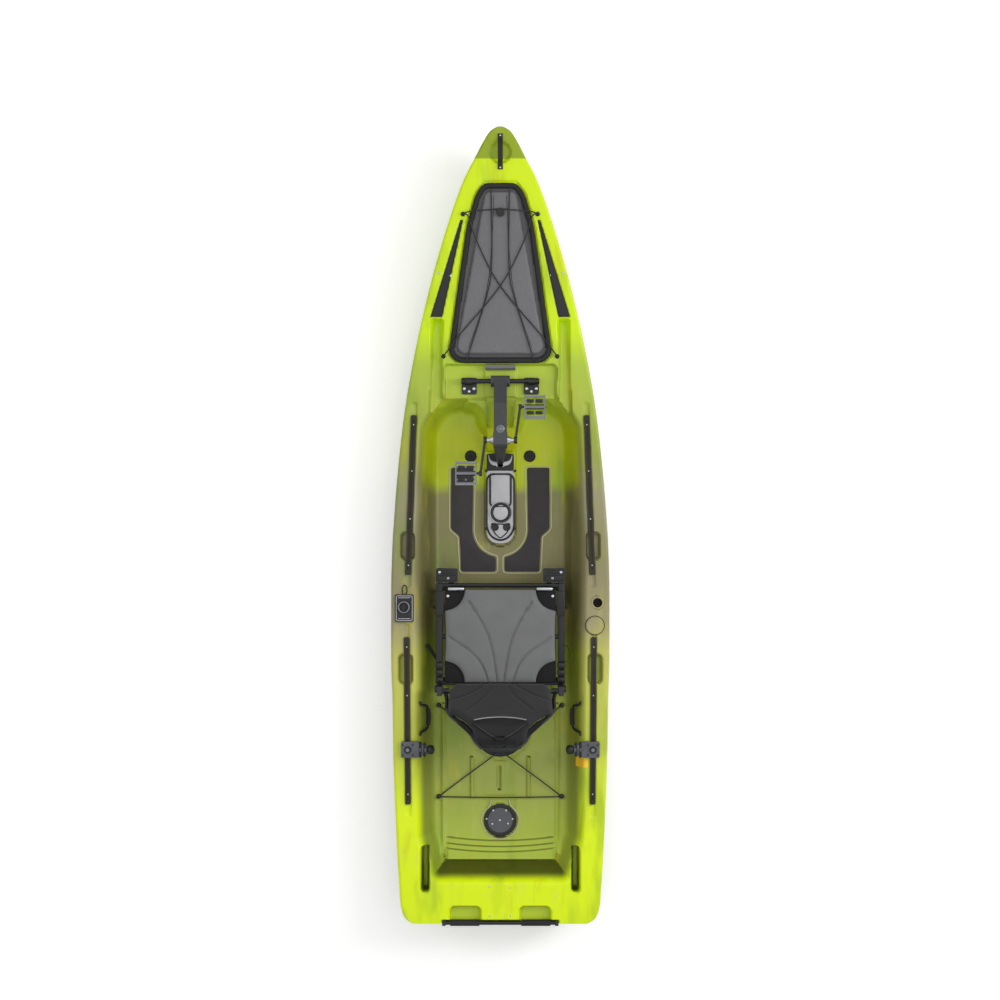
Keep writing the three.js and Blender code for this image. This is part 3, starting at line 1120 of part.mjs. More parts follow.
function propeller() {
  const p = PROP;
  const y0 = WELL.dishY;
  const hub = turned([[0, p.noseZ], [p.noseR, p.noseZ + GAP], [p.hubR * 0.8, p.z0 - GAP],
    [p.hubR, p.z0 + GAP], [p.hubR, p.z1],
    [0, p.z1]], 0, y0, 16);
  const mid = (p.z0 + p.z1) / 2 - GAP;
  const blade = (way) => {
    const ringAt = (reach, half, pitch, thick) => {
      const c = Math.cos(pitch);
      const s = Math.sin(pitch);
      return [[-half, 0], [0, -thick], [half, 0], [0, thick]].map(([a, b]) => [
        way * (a * c - b * s), y0 + way * reach, mid + a * s + b * c]);
    };
    return loft([
      ringAt(p.hubR * 0.6, p.rootHalf, Math.PI / 4, p.thick),
        ringAt(p.tipR * 0.4, p.midHalf * 0.85, Math.PI / 5.5, p.thick),
      ringAt(p.tipR * 0.68, p.midHalf, Math.PI / 8, p.thick * 0.8),
        ringAt(p.tipR * 0.9, p.midHalf * 0.8, Math.PI / 10, p.thick * 0.6),
      ringAt(p.tipR, p.tipHalf * 0.6, Math.PI / 11, p.thick * 0.3),
    ]);
  };
  return union(hub, blade(1), blade(-1));
}

function wellCover() {
  const c = COVER;
  const z0 = FOOTWELL.podZ + GAP;
  const radii = [c.halfX, c.halfX, c.z, c.z];
  const plate = prism(rectangle(-c.halfX, c.halfX, c.aftY, c.frontY), z0, z0 + c.z, radii, -c.lip / 2, 6);
  const panel = prism(rectangle(-c.panelHalf, c.panelHalf, c.panelAftY, c.panelFrontY), z0,
    z0 + c.z + c.lip, c.lip, 0, 2);
  const ring = turned([[c.ringIn, z0 + c.z / 2], [c.ringR, z0 + c.z / 2], [c.ringR, z0 + c.z + c.ringZ],
    [c.ringIn, z0 + c.z + c.ringZ], [c.ringIn, z0 + c.z / 2]], 0, c.ringY, c.ringSides);
  const tailLine = [[-c.tailHalf * 0.35, c.tailAftY], [c.tailHalf * 0.35, c.tailAftY],
    [c.tailHalf, c.tailFrontY],
    [-c.tailHalf, c.tailFrontY]];
  const tail = prism(tailLine, z0, z0 + c.z + c.lip, c.lip * 3);
  return union(plate, panel, ring, tail);
}

function coverCap() {
  const c = COVER;
  const z0 = FOOTWELL.podZ + c.z + 2 * GAP;
  const r = c.ringIn - RUN_GAP;
  const z1 = z0 + c.ringZ / 2;
  return turned([[0, z0], [r, z0], [r, z1], [r * 0.9, z1 + GAP], [0, z1 + GAP]], 0, c.ringY, c.ringSides);
}

// Rudder in its notch under the stern
const RUDDER = {
  y: sternY(FROM_STERN.rudder), frontY: sternY(FROM_STERN.rudderFront), aftY: sternY(FROM_STERN.rudderAft),
  z0: 14, z1: 104, halfThick: 6, stockR: 8, stockZ: 133, carrierX: 26, carrierY: 27, carrierZ: 108,
  rake: 22,
};

function rudderCarrier() {
  const r = RUDDER;
  const body = prism(rectangle(-r.carrierX, r.carrierX, r.y - r.carrierY, r.y + r.carrierY), r.carrierZ,
    NOTCH.z - GAP, r.stockR);
  return cut(body, rod([0, r.y, 0], [0, r.y, GUNWALE_Z], r.stockR + GAP, 16));
}

function rudderBlade() {
  const r = RUDDER;
  const at = (z, aft) => [[0, r.frontY, z], [r.halfThick, r.y, z], [r.halfThick * 0.7, (r.y + aft) / 2, z],
    [0, aft, z],
    [-r.halfThick * 0.7, (r.y + aft) / 2, z], [-r.halfThick, r.y, z]];
  const blade = loft([at(r.z0, r.aftY + r.rake), at(r.z1, r.aftY)]);
  return union(blade, rod([0, r.y, r.z0 + r.stockR], [0, r.y, r.stockZ], r.stockR, 16));
}

// Seat
const SEAT = {
  railX: 288, railZ: 290, r: 11, frontY: -190, aftY: -798, barFrontY: -274, midY: -520, barAftY: -742,
  legFrontY: -292, legAftY: -728, footHalfX: 12, footHalfY: 30, footZ: 16, stackIn: 277, stackOut: 301,
  stackFrontY: -748, stackAftY: -792, stackZ: 426, pivotY: -770, pivotZ: 405, padHalfX: 270,
  padFrontY: -288, padAftY: -738, padCorner: 70, padZ: 301.6, padThick: 34, crown: 14, seam: 8,
  seamWidth: 24, drawIn: 7,
};
const SEAT_CLAMP = { inX: 205, outX: 309, aftY: -259, frontY: -192, z0: 275, z1: 305, corner: 6 };
const BACK = {
  run: 230, rise: 364, tubeR: 10, sides: 6, steps: 24, footX: 262, waistX: 250, waist: 148, shoulder: 305,
  shoulderX: 140, topX: 84, top: 414, padHalfX: 240, padFrom: -15, padTo: 425, padBack: 9.6, padThick: 34,
  crown: 12, seam: 6,
};
const BACK_TILT = Math.atan2(BACK.run, BACK.rise);
const BACK_WIDTH_SHARES = [[0, 0.9], [0.12, 0.97], [0.34, 1], [0.47, 0.9], [0.71, 0.5], [0.9, 0.43],
  [1, 0.3]];

function seatFrame() {
  const s = SEAT;
  const bar = (y) => rod([-s.railX, y, s.railZ], [s.railX, y, s.railZ], s.r, 10);
  const parts = [bar(s.barFrontY), bar(s.midY), bar(s.barAftY)];
  SIDES.forEach(({ sign }) => {
    parts.push(rod([sign * s.railX, s.aftY, s.railZ], [sign * s.railX, s.frontY, s.railZ], s.r, 10));
    [[s.legFrontY, FOOTWELL.floorZ], [s.legAftY, COCKPIT.floorZ]].forEach(([y, floor]) => {
      const z = floor - TRACK.depth + GAP;
      parts.push(rod([sign * s.railX, y, s.railZ], [sign * TRACK.x, y, z + s.footZ / 2], s.r * 0.9, 10));
      parts.push(block(sign * TRACK.x - s.footHalfX, sign * TRACK.x + s.footHalfX, y - s.footHalfY,
        y + s.footHalfY, z, z + s.footZ));
    });
    parts.push(block(sign * s.stackIn, sign * s.stackOut, s.stackAftY, s.stackFrontY, s.railZ - s.r / 2,
      s.stackZ));
  });
  return union(...parts);
}

function seatClamp(sign) {
  const c = SEAT_CLAMP;
  const body = prism(mirrored(rectangle(c.inX, c.outX, c.aftY, c.frontY), sign), c.z0, c.z1, c.corner);
  return cut(body, rod([sign * SEAT.railX, c.aftY - OVERRUN, SEAT.railZ],
    [sign * SEAT.railX, c.frontY + OVERRUN, SEAT.railZ],
    SEAT.r + GAP, 12));
}

// Distance to a line of points, for the sewn channels
function channelDepth(x, y, lines, width, depth) {
  const here = new THREE.Vector3(x, y, 0);
  const spot = new THREE.Vector3();
  let nearest = width;
  lines.forEach((line) => {
    for (let i = 0; i + 1 < line.length; i += 1) {
      const part = new THREE.Line3(new THREE.Vector3(...line[i], 0), new THREE.Vector3(...line[i + 1], 0));
      part.closestPointToPoint(here, true, spot);
      nearest = Math.min(nearest, spot.distanceTo(here));
    }
  });
  return depth * (1 - blend(nearest, 0, width));
}

// Closed pad: a grid with a crowned face, drawn-in sides and a flat back
function padBody(columns, rows, place, face, back, drawIn) {
  const points = [];
  const index = [];
  const put = (u, v, z, inset) => {
    const [x, y] = place(u, v, inset);
    points.push(x, y, z);
  };
  const levels = [
    (u, v) => put(u, v, back, drawIn), (u, v) => put(u, v, face(u, v), drawIn * 0.6),
  ];
  levels.forEach((level) => {
    for (let j = 0; j <= rows; j += 1) {
      for (let i = 0; i <= columns; i += 1) level(i / columns, j / rows);
    }
  });
  const count = (columns + 1) * (rows + 1);
  const at = (i, j) => j * (columns + 1) + i;
  for (let j = 0; j < rows; j += 1) {
    for (let i = 0; i < columns; i += 1) {
      const [a, b, c, d] = [at(i, j), at(i + 1, j), at(i + 1, j + 1), at(i, j + 1)];
      index.push(a, c, b, a, d, c, count + a, count + b, count + c, count + a, count + c, count + d);
    }
  }
  const rim = [];
  for (let i = 0; i < columns; i += 1) rim.push(at(i, 0));
  for (let j = 0; j < rows; j += 1) rim.push(at(columns, j));
  for (let i = columns; i > 0; i -= 1) rim.push(at(i, rows));
  for (let j = rows; j > 0; j -= 1) rim.push(at(0, j));
  const belly = points.length / 3;
  rim.forEach((p) => {
    const u = (p % (columns + 1)) / columns;
    const v = Math.floor(p / (columns + 1)) / rows;
    put(u, v, back + (face(u, v) - back) * 0.45, 0);
  });
  rim.forEach((p, k) => {
    const q = rim[(k + 1) % rim.length];
    const next = (k + 1) % rim.length;
    index.push(p, q, belly + k, q, belly + next, belly + k);
    index.push(belly + k, belly + next, count + p, belly + next, count + q, count + p);
  });
  const geometry = new THREE.BufferGeometry();
  geometry.setAttribute('position', new THREE.Float32BufferAttribute(points, 3));
  geometry.setIndex(volume(points, index) < 0 ? index.reverse() : index);
  return solid(geometry);
}

const CUSHION_SEAM_SHARES = [
  [[-0.59, 0.85], [-0.28, 0.55], [-0.13, 0.3], [-0.07, 0]],
    [[-0.9, 0.5], [-0.55, 0.3], [-0.32, 0.14], [-0.2, 0]],
];

function seatCushion() {
  const s = SEAT;
  const depth = s.padFrontY - s.padAftY;
  const place = (u, v, inset) => {
    const a = 2 * u - 1;
    const b = 2 * v - 1;
    const corner = s.padCorner * Math.max(0, Math.abs(a) + Math.abs(b) - 1) ** 2 * 0.45;
    const x = a * (s.padHalfX - inset - corner * Math.abs(b));
    const y = (s.padFrontY + s.padAftY) / 2 + b * (depth / 2 - inset - corner * Math.abs(a));
    return [x, y];
  };
  const seams = SIDES.flatMap(({ sign }) => CUSHION_SEAM_SHARES.map((line) => line.map(([x, y]) => [
    sign * x * s.padHalfX, s.padAftY + y * depth])));
  const face = (u, v) => {
    const [x, y] = place(u, v, 0);
    const edge = (1 - (2 * u - 1) ** 4) * (1 - (2 * v - 1) ** 4);
    return s.padZ + s.padThick - s.crown * 0.4 + s.crown * edge - channelDepth(x, y, seams, s.seamWidth,
      s.seam) * Math.min(1, 2 * edge);
  };
  return padBody(18, 16, place, face, s.padZ, s.drawIn);
}

// Turns a body made flat in front of the back frame up to its reclined place
function onBack(body) {
  const geometry = geometryOf(body);
  geometry.rotateX(Math.PI / 2 + BACK_TILT);
  geometry.translate(0, SEAT.pivotY, SEAT.pivotZ);
  return solid(geometry);
}

function backFrame() {
  const b = BACK;
  const side = [[b.footX, 0, 0], [b.waistX, b.waist / 2, 0], [b.waistX, b.waist, 0],
    [b.shoulderX, b.shoulder, 0], [b.topX, b.top, 0]];
  const route = [...side, ...side.map(([x, y, z]) => [-x, y, z]).reverse()];
  const loop = tube(route, b.tubeR, b.steps, b.sides);
  const stubs = SIDES.map(({ sign }) => rod([sign * (b.waistX - b.tubeR), 0, 0],
    [sign * (SEAT.stackIn - GAP), 0, 0],
    b.tubeR * 1.4, 12));
  return onBack(union(loop, ...stubs));
}

function backPad() {
  const b = BACK;
  const depth = b.padTo - b.padFrom;
  const widthAt = (t) => {
    let i = 0;
    while (i < BACK_WIDTH_SHARES.length - 2 && BACK_WIDTH_SHARES[i + 1][0] < t) i += 1;
    const [t0, w0] = BACK_WIDTH_SHARES[i];
    const [t1, w1] = BACK_WIDTH_SHARES[i + 1];
    return b.padHalfX * (w0 + (w1 - w0) * (t - t0) / (t1 - t0));
  };
  const place = (u, v, inset) => [(2 * u - 1) * (widthAt(v) - inset),
    b.padFrom + v * depth + inset * (1 - 2 * v)];
  const seams = SIDES.map(({ sign }) => [[sign * b.topX * 0.1, b.padFrom],
    [sign * b.shoulderX, b.padFrom + depth * 0.42]]);
  const face = (u, v) => {
    const [x, y] = place(u, v, 0);
    const edge = (1 - (2 * u - 1) ** 4) * (1 - (2 * v - 1) ** 6);
    return b.padBack + b.padThick - b.crown * 0.5 + b.crown * edge
      - channelDepth(x, y, seams, SEAT.seamWidth, b.seam) * Math.min(1, 2 * edge);
  };
  const pad = geometryOf(padBody(14, 16, place, face, b.padBack, SEAT.drawIn));
  pad.rotateY(Math.PI);
  return onBack(solid(pad));
}

// The boat, one named mesh for each piece
const boat = new THREE.Group();

function put(name, body, material) {
  const mesh = new THREE.Mesh(geometryOf(body), material);
  mesh.name = name;
  boat.add(mesh);
}

put('hull_shell', hullShell(), LIME);
put('bow_handle', bowHandle(), BLACK);
put('hatch_lid', hatchLid(), CHARCOAL);
put('hatch_seal', hatchSeal(), BLACK);
put('hatch_latch', hatchLatch(), CHARCOAL);
put('lid_knob', lidKnob(), BLACK);
put('bow_cords', bowCords(), BLACK);
put('tank_cords', tankCords(), BLACK);
put('stern_bar', sternBar(), BLACK);
put('round_hatch_ring', roundHatchRing(), BLACK);
put('round_hatch_cover', roundHatchCover(), BLACK);
put('drain_plate', drainPlate(), CHARCOAL);
put('gunwale_cap', gunwaleCap(), LIME);
put('steering_base', steeringBase(), BLACK);
put('steering_knob', steeringKnob(), BLACK);
put('drive_crossbar', crossbar(), BLACK);
put('drive_arm', driveArm(), BLACK);
put('crank_axle', crankAxle(), SILVER);
put('well_socket', wellSocket(), BLACK);
put('leg_pin', legPin(), SILVER);
put('drive_leg', driveLeg(), BLACK);
put('gearcase', gearcase(), BLACK);
put('propeller', propeller(), BLACK);
put('well_cover', wellCover(), GREY);
put('cover_cap', coverCap(), GREY);
put('rudder_carrier', rudderCarrier(), BLACK);
put('rudder_blade', rudderBlade(), BLACK);
put('seat_frame', seatFrame(), BLACK);
put('seat_cushion', seatCushion(), CLOTH);
put('seat_back_frame', backFrame(), BLACK);
put('seat_back_pad', backPad(), DARK_CLOTH);

SIDES.forEach(({ name, sign }) => {
  put(`deck_insert_${name}`, deckInsert(sign), BLACK);
  RAILS.forEach((rail) => put(`gear_rail_${rail.name}_${name}`, gearRail(rail, sign), RAIL));
  put(`foot_mat_${name}`, footMat(sign), MAT);
  put(`scupper_plug_${name}`, scupperPlug(sign), BLACK);
  put(`stern_grip_${name}`, sternGrip(sign), CHARCOAL);
  put(`crossbar_bracket_${name}`, barBracket(sign), SILVER);
  put(`crank_arm_${name}`, crankArm(sign), BLACK);
  put(`pedal_${name}`, pedal(sign), SILVER);
  put(`rail_clamp_${name}`, railClamp(sign), CHARCOAL);
  put(`clamp_knob_${name}`, clampKnob(sign), BLACK);
  put(`carry_handle_${name}`, carryHandle(sign), BLACK);
  put(`seat_clamp_${name}`, seatClamp(sign), BLACK);
});

export default boat;
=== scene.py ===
"""Pedal kayak: the looks of every piece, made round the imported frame.

The hull is one rotomoulded polyethylene shell in lime that fades to olive amidships.
Everything else is fitted to it: hatches, rails, the pedal drive, the seat and the rudder.
Sizes are in millimetres unless a name says otherwise, and meshes are made in metres.
+X is starboard, +Y is the bow and +Z is up.
"""

from __future__ import annotations

import json
import logging
import math
from dataclasses import dataclass, field
from enum import Enum
from typing import Callable, Sequence

import bpy
import bmesh
import numpy as np
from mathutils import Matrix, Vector

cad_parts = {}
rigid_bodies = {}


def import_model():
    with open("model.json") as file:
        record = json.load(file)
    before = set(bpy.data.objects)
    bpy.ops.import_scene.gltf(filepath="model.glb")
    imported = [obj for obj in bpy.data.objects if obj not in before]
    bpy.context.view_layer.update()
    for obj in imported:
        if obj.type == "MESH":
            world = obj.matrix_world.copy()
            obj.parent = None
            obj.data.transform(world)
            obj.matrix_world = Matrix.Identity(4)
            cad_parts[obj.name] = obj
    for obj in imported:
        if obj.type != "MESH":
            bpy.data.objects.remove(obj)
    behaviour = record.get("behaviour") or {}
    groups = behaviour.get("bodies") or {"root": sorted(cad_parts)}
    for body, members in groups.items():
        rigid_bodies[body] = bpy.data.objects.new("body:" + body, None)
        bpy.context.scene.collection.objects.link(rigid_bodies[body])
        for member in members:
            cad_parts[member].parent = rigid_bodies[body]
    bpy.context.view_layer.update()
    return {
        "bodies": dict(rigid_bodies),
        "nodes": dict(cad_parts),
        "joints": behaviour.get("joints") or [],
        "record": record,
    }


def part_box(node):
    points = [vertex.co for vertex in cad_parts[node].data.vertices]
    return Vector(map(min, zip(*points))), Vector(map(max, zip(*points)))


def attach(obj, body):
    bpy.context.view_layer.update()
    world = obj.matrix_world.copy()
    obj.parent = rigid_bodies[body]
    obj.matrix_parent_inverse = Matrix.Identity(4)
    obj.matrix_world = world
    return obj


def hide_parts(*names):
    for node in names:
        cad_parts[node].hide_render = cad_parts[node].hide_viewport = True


LOG = logging.getLogger("kayak")

MM = 0.001
EDGE = 38.0
BACK_TILT = math.atan2(230.0, 364.0)
# Millimetres to one pixel of the photograph at the gunwale, and the pixel of the origin
PIXEL = 4.78
MIDDLE_PIXEL = (500.3, 528.5)

Tree = bpy.types.NodeTree
Socket = bpy.types.NodeSocket
Node = bpy.types.Node
Piece = bpy.types.Object
Point = tuple[float, float]
Place = tuple[float, float, float]


class Side(Enum):
    """Port or starboard, with the sign of its X."""

    LEFT = -1
    RIGHT = 1

    @property
    def label(self) -> str:
        """The word that node names end in."""
        return self.name.lower()


class Axis(Enum):
    """A direction that a bar or a texture runs along."""

    X = 0
    Y = 1
    Z = 2


def linear(code: str) -> tuple[float, float, float, float]:
    """Turn an sRGB hex colour, with its leading hash, to linear red, green, blue and alpha."""
    shares = [int(code[i : i + 2], 16) / 255 for i in (1, 3, 5)]
    light = [s / 12.92 if s <= 0.04045 else ((s + 0.055) / 1.055) ** 2.4 for s in shares]
    return (light[0], light[1], light[2], 1.0)


def add_node(
    tree: Tree, kind: str, inputs: dict[str | int, object] | None = None, **settings: object,
) -> Node:
    """Add one shader node with its settings and its links.

    Args:
        tree: Node tree that it goes into.
        kind: Blender's name for the node type, less its leading ShaderNode.
        inputs: Values or sockets for its inputs, by name or number.
        **settings: Properties of the node itself.

    Returns:
        The new node.
    """
    node = tree.nodes.new("ShaderNode" + kind)
    for key, value in settings.items():
        setattr(node, key, value)
    for key, value in (inputs or {}).items():
        if isinstance(value, Socket):
            tree.links.new(value, node.inputs[key])
        else:
            node.inputs[key].default_value = value
    return node


@dataclass(frozen=True)
class Finish:
    """A surface as its maker would name it, with what every finish shares."""

    name: str
    colour: str
    roughness: float
    metallic: float = 0.0
    ior: float = 1.5
    specular: float = 0.5

    def build(self) -> bpy.types.Material:
        """Make the material once and hand the same one out after that.

        Returns:
            The material, named for the finish.
        """
        known = bpy.data.materials.get(self.name)
        if known:
            return known
        material = bpy.data.materials.new(self.name)
        material.use_nodes = True
        tree = material.node_tree
        tree.nodes.clear()
        place = add_node(tree, "TexCoord").outputs["Object"]
        shader = add_node(
            tree,
            "BsdfPrincipled",
            {"Base Color": linear(self.colour), "Roughness": self.roughness, "Metallic": self.metallic},
        )
        if not self.metallic:
            shader.inputs["IOR"].default_value = self.ior
            shader.inputs["Specular IOR Level"].default_value = self.specular
        add_node(tree, "OutputMaterial", {"Surface": shader.outputs[0]})
        self.dress(tree, place, shader)
        return material

    def dress(self, tree: Tree, place: Socket, shader: Node) -> None:
        """Link this finish's pattern into the shader.

        Args:
            tree: The material's node tree.
            place: Object coordinates, in metres.
            shader: The Principled shader.
        """

    def relieve(
        self, tree: Tree, shader: Node, height: Socket, strength: float, depth: float,
        spread: Point = (0.0, 0.0),
    ) -> None:
        """Let one pattern stand out in the surface and, where asked, in its gloss.

        Args:
            tree: The material's node tree.
            shader: The Principled shader.
            height: The pattern.
            strength: How much of the relief shows.
            depth: Its depth in mm.
            spread: How far the roughness falls and rises with the pattern.
        """
        bump = add_node(tree, "Bump", {"Height": height, "Strength": strength, "Distance": depth * MM})
        tree.links.new(bump.outputs["Normal"], shader.inputs["Normal"])
        if any(spread):
            low, high = self.roughness - spread[0], min(1.0, self.roughness + spread[1])
            rough = add_node(tree, "MapRange", {"Value": height, "To Min": low, "To Max": high})
            tree.links.new(rough.outputs["Result"], shader.inputs["Roughness"])

    def mottle(self, tree: Tree, place: Socket, patch: float, high: str) -> Socket:
        """Vary the colour softly towards a second shade, in patches of a given size in mm.

        Args:
            tree: The material's node tree.
            place: Coordinates that the patches follow.
            patch: Typical width of a patch in mm.
            high: The second shade.

        Returns:
            The varied colour.
        """
        noise = add_node(tree, "TexNoise", {"Vector": place, "Scale": 1 / (patch * MM), "Detail": 4.0})
        mix = add_node(
            tree,
            "Mix",
            {"Factor": noise.outputs["Fac"], "A": linear(self.colour), "B": linear(high)},
            data_type="RGBA",
        )
        return mix.outputs["Result"]


@dataclass(frozen=True)
class Moulded(Finish):
    """Injection-moulded plastic: a fine spark-eroded grain that breaks up the gloss."""

    grain: float = 2.5
    relief: float = 0.12
    # Colour of the mottling and of the paler sharp edges, which are partly wear and partly a painted
    # highlight
    worn: str = "#3a3b3d"

    def dress(self, tree: Tree, place: Socket, shader: Node) -> None:
        """Grain in the bump, soft mottling, and sharp edges a shade paler: partly rubbed wear, partly a
        painted highlight.
        """
        grain = add_node(tree, "TexNoise", {"Vector": place, "Scale": 1 / (self.grain * MM), "Detail": 2.0})
        self.relieve(tree, shader, grain.outputs["Fac"], self.relief, self.grain, (0.08, 0.1))
        base = self.mottle(tree, place, 60.0, self.worn)
        soft = add_node(tree, "Mix", {"Factor": 0.3, "A": linear(self.colour), "B": base}, data_type="RGBA")
        # Sharp edges, by their pointiness, are mixed towards the paler colour: partly rubbed wear, partly a
        # painted highlight
        edge = add_node(tree, "NewGeometry")
        edge_wear_and_highlight = add_node(
            tree,
            "MapRange",
            {"Value": edge.outputs["Pointiness"], "From Min": 0.53, "From Max": 0.62, "To Max": 0.5},
        )
        worn = add_node(
            tree,
            "Mix",
            {"Factor": edge_wear_and_highlight.outputs["Result"], "A": soft.outputs["Result"], "B": linear(self.worn)},
            data_type="RGBA",
        )
        tree.links.new(worn.outputs["Result"], shader.inputs["Base Color"])


@dataclass(frozen=True)
class Metal(Finish):
    """Drawn, brushed or anodised metal: fine lines along one axis stretch its highlights."""

    metallic: float = 1.0
    line: float = 1.6
    along: Axis = Axis.Y
    relief: float = 0.08
    worn: str = "#9a9ca0"

    def dress(self, tree: Tree, place: Socket, shader: Node) -> None:
        """Stretch a noise along the drawing direction for its lines."""
        across = 1 / (self.line * MM)
        scale = [across] * 3
        scale[self.along.value] = across / 30
        lay = add_node(tree, "Mapping", {"Vector": place, "Scale": tuple(scale)})
        lines = add_node(tree, "TexNoise", {"Vector": lay.outputs[0], "Scale": 1.0, "Detail": 3.0})
        self.relieve(tree, shader, lines.outputs["Fac"], self.relief, self.line, (0.08, 0.12))
        base = self.mottle(tree, place, 40.0, self.worn)
        soft = add_node(tree, "Mix", {"Factor": 0.25, "A": linear(self.colour), "B": base}, data_type="RGBA")
        tree.links.new(soft.outputs["Result"], shader.inputs["Base Color"])


@dataclass(frozen=True)
class Woven(Finish):
    """Woven polyester: crossed yarns with a flecked, heathered colour and a dull sheen."""

    thread: float = 5.0
    fleck: str = "#8a8789"
    tilt: float = 0.0
    relief: float = 0.35

    def dress(self, tree: Tree, place: Socket, shader: Node) -> None:
        """Cross two sets of yarns. They are drawn coarser than the real 1 mm, so that they show. Where the
        yarns dip, the colour is painted darker as shade between them.
        """
        turn = (self.tilt, 0.0, 0.0)
        lay = add_node(tree, "Mapping", {"Vector": place, "Rotation": turn})
        scale = 1 / (self.thread * MM)
        yarns = [
            add_node(
                tree,
                "TexWave",
                {"Vector": lay.outputs[0], "Scale": scale / 2, "Distortion": 0.6, "Detail Scale": 2.0},
                wave_type="BANDS",
                bands_direction=way,
            )
            for way in ("X", "Y")
        ]
        cross = add_node(
            tree, "Math", {0: yarns[0].outputs["Fac"], 1: yarns[1].outputs["Fac"]}, operation="ADD"
        )
        self.relieve(tree, shader, cross.outputs[0], self.relief, self.thread / 4)
        heather = self.mottle(tree, place, 3.0, self.fleck)
        cloudy = self.mottle(tree, place, 90.0, self.fleck)
        mixed = add_node(tree, "Mix", {"Factor": 0.4, "A": heather, "B": cloudy}, data_type="RGBA")
        # Painted shade between the yarns: the colour darkens by nearly a fifth where the weave dips
        shade = add_node(
            tree, "MapRange", {"Value": cross.outputs[0], "From Max": 2.0, "To Min": 0.82, "To Max": 1.0},
        )
        shaded = add_node(
            tree,
            "Mix",
            {"Factor": 1.0, "A": mixed.outputs["Result"], "B": shade.outputs["Result"]},
            data_type="RGBA",
            blend_type="MULTIPLY",
        )
        tree.links.new(shaded.outputs["Result"], shader.inputs["Base Color"])
        shader.inputs["Sheen Weight"].default_value = 0.12
        shader.inputs["Sheen Roughness"].default_value = 0.5


@dataclass(frozen=True)
class Foam(Finish):
    """Closed-cell EVA deck foam: brushed, so it is dead matt with a tight pebble."""

    cell: float = 4.0
    worn: str = "#464244"

    def dress(self, tree: Tree, place: Socket, shader: Node) -> None:
        """Small round cells in the bump and scuffed paler patches."""
        cells = add_node(tree, "TexVoronoi", {"Vector": place, "Scale": 1 / (self.cell * MM)})
        self.relieve(tree, shader, cells.outputs["Distance"], 0.5, self.cell / 3)
        scuffed = self.mottle(tree, place, 120.0, self.worn)
        fine = self.mottle(tree, place, 5.0, self.worn)
        base = add_node(tree, "Mix", {"Factor": 0.35, "A": scuffed, "B": fine}, data_type="RGBA")
        tree.links.new(base.outputs["Result"], shader.inputs["Base Color"])


@dataclass(frozen=True)
class Braided(Finish):
    """Braided polyester over rubber: a painted glint along the cord's diagonal strands."""

    pitch: float = 7.0
    glint: str = "#3a3b3c"

    def dress(self, tree: Tree, place: Socket, shader: Node) -> None:
        """Diagonal strands at about the braid's pitch, with the colour mixed towards a painted glint along
        them.
        """
        strands = add_node(
            tree,
            "TexWave",
            {"Vector": place, "Scale": 1 / (2 * self.pitch * MM), "Distortion": 0.4},
            wave_type="BANDS",
            bands_direction="DIAGONAL",
        )
        self.relieve(tree, shader, strands.outputs["Fac"], 0.4, 1.0)
        mix = add_node(
            tree,
            "Mix",
            {"Factor": strands.outputs["Fac"], "A": linear(self.colour), "B": linear(self.glint)},
            data_type="RGBA",
        )
        tree.links.new(mix.outputs["Result"], shader.inputs["Base Color"])


@dataclass(frozen=True)
class Shade:
    """One colour of the hull and the station where it is purest; in the hollows it holds painted light and
    shade as well.
    """

    station: float
    colour: str


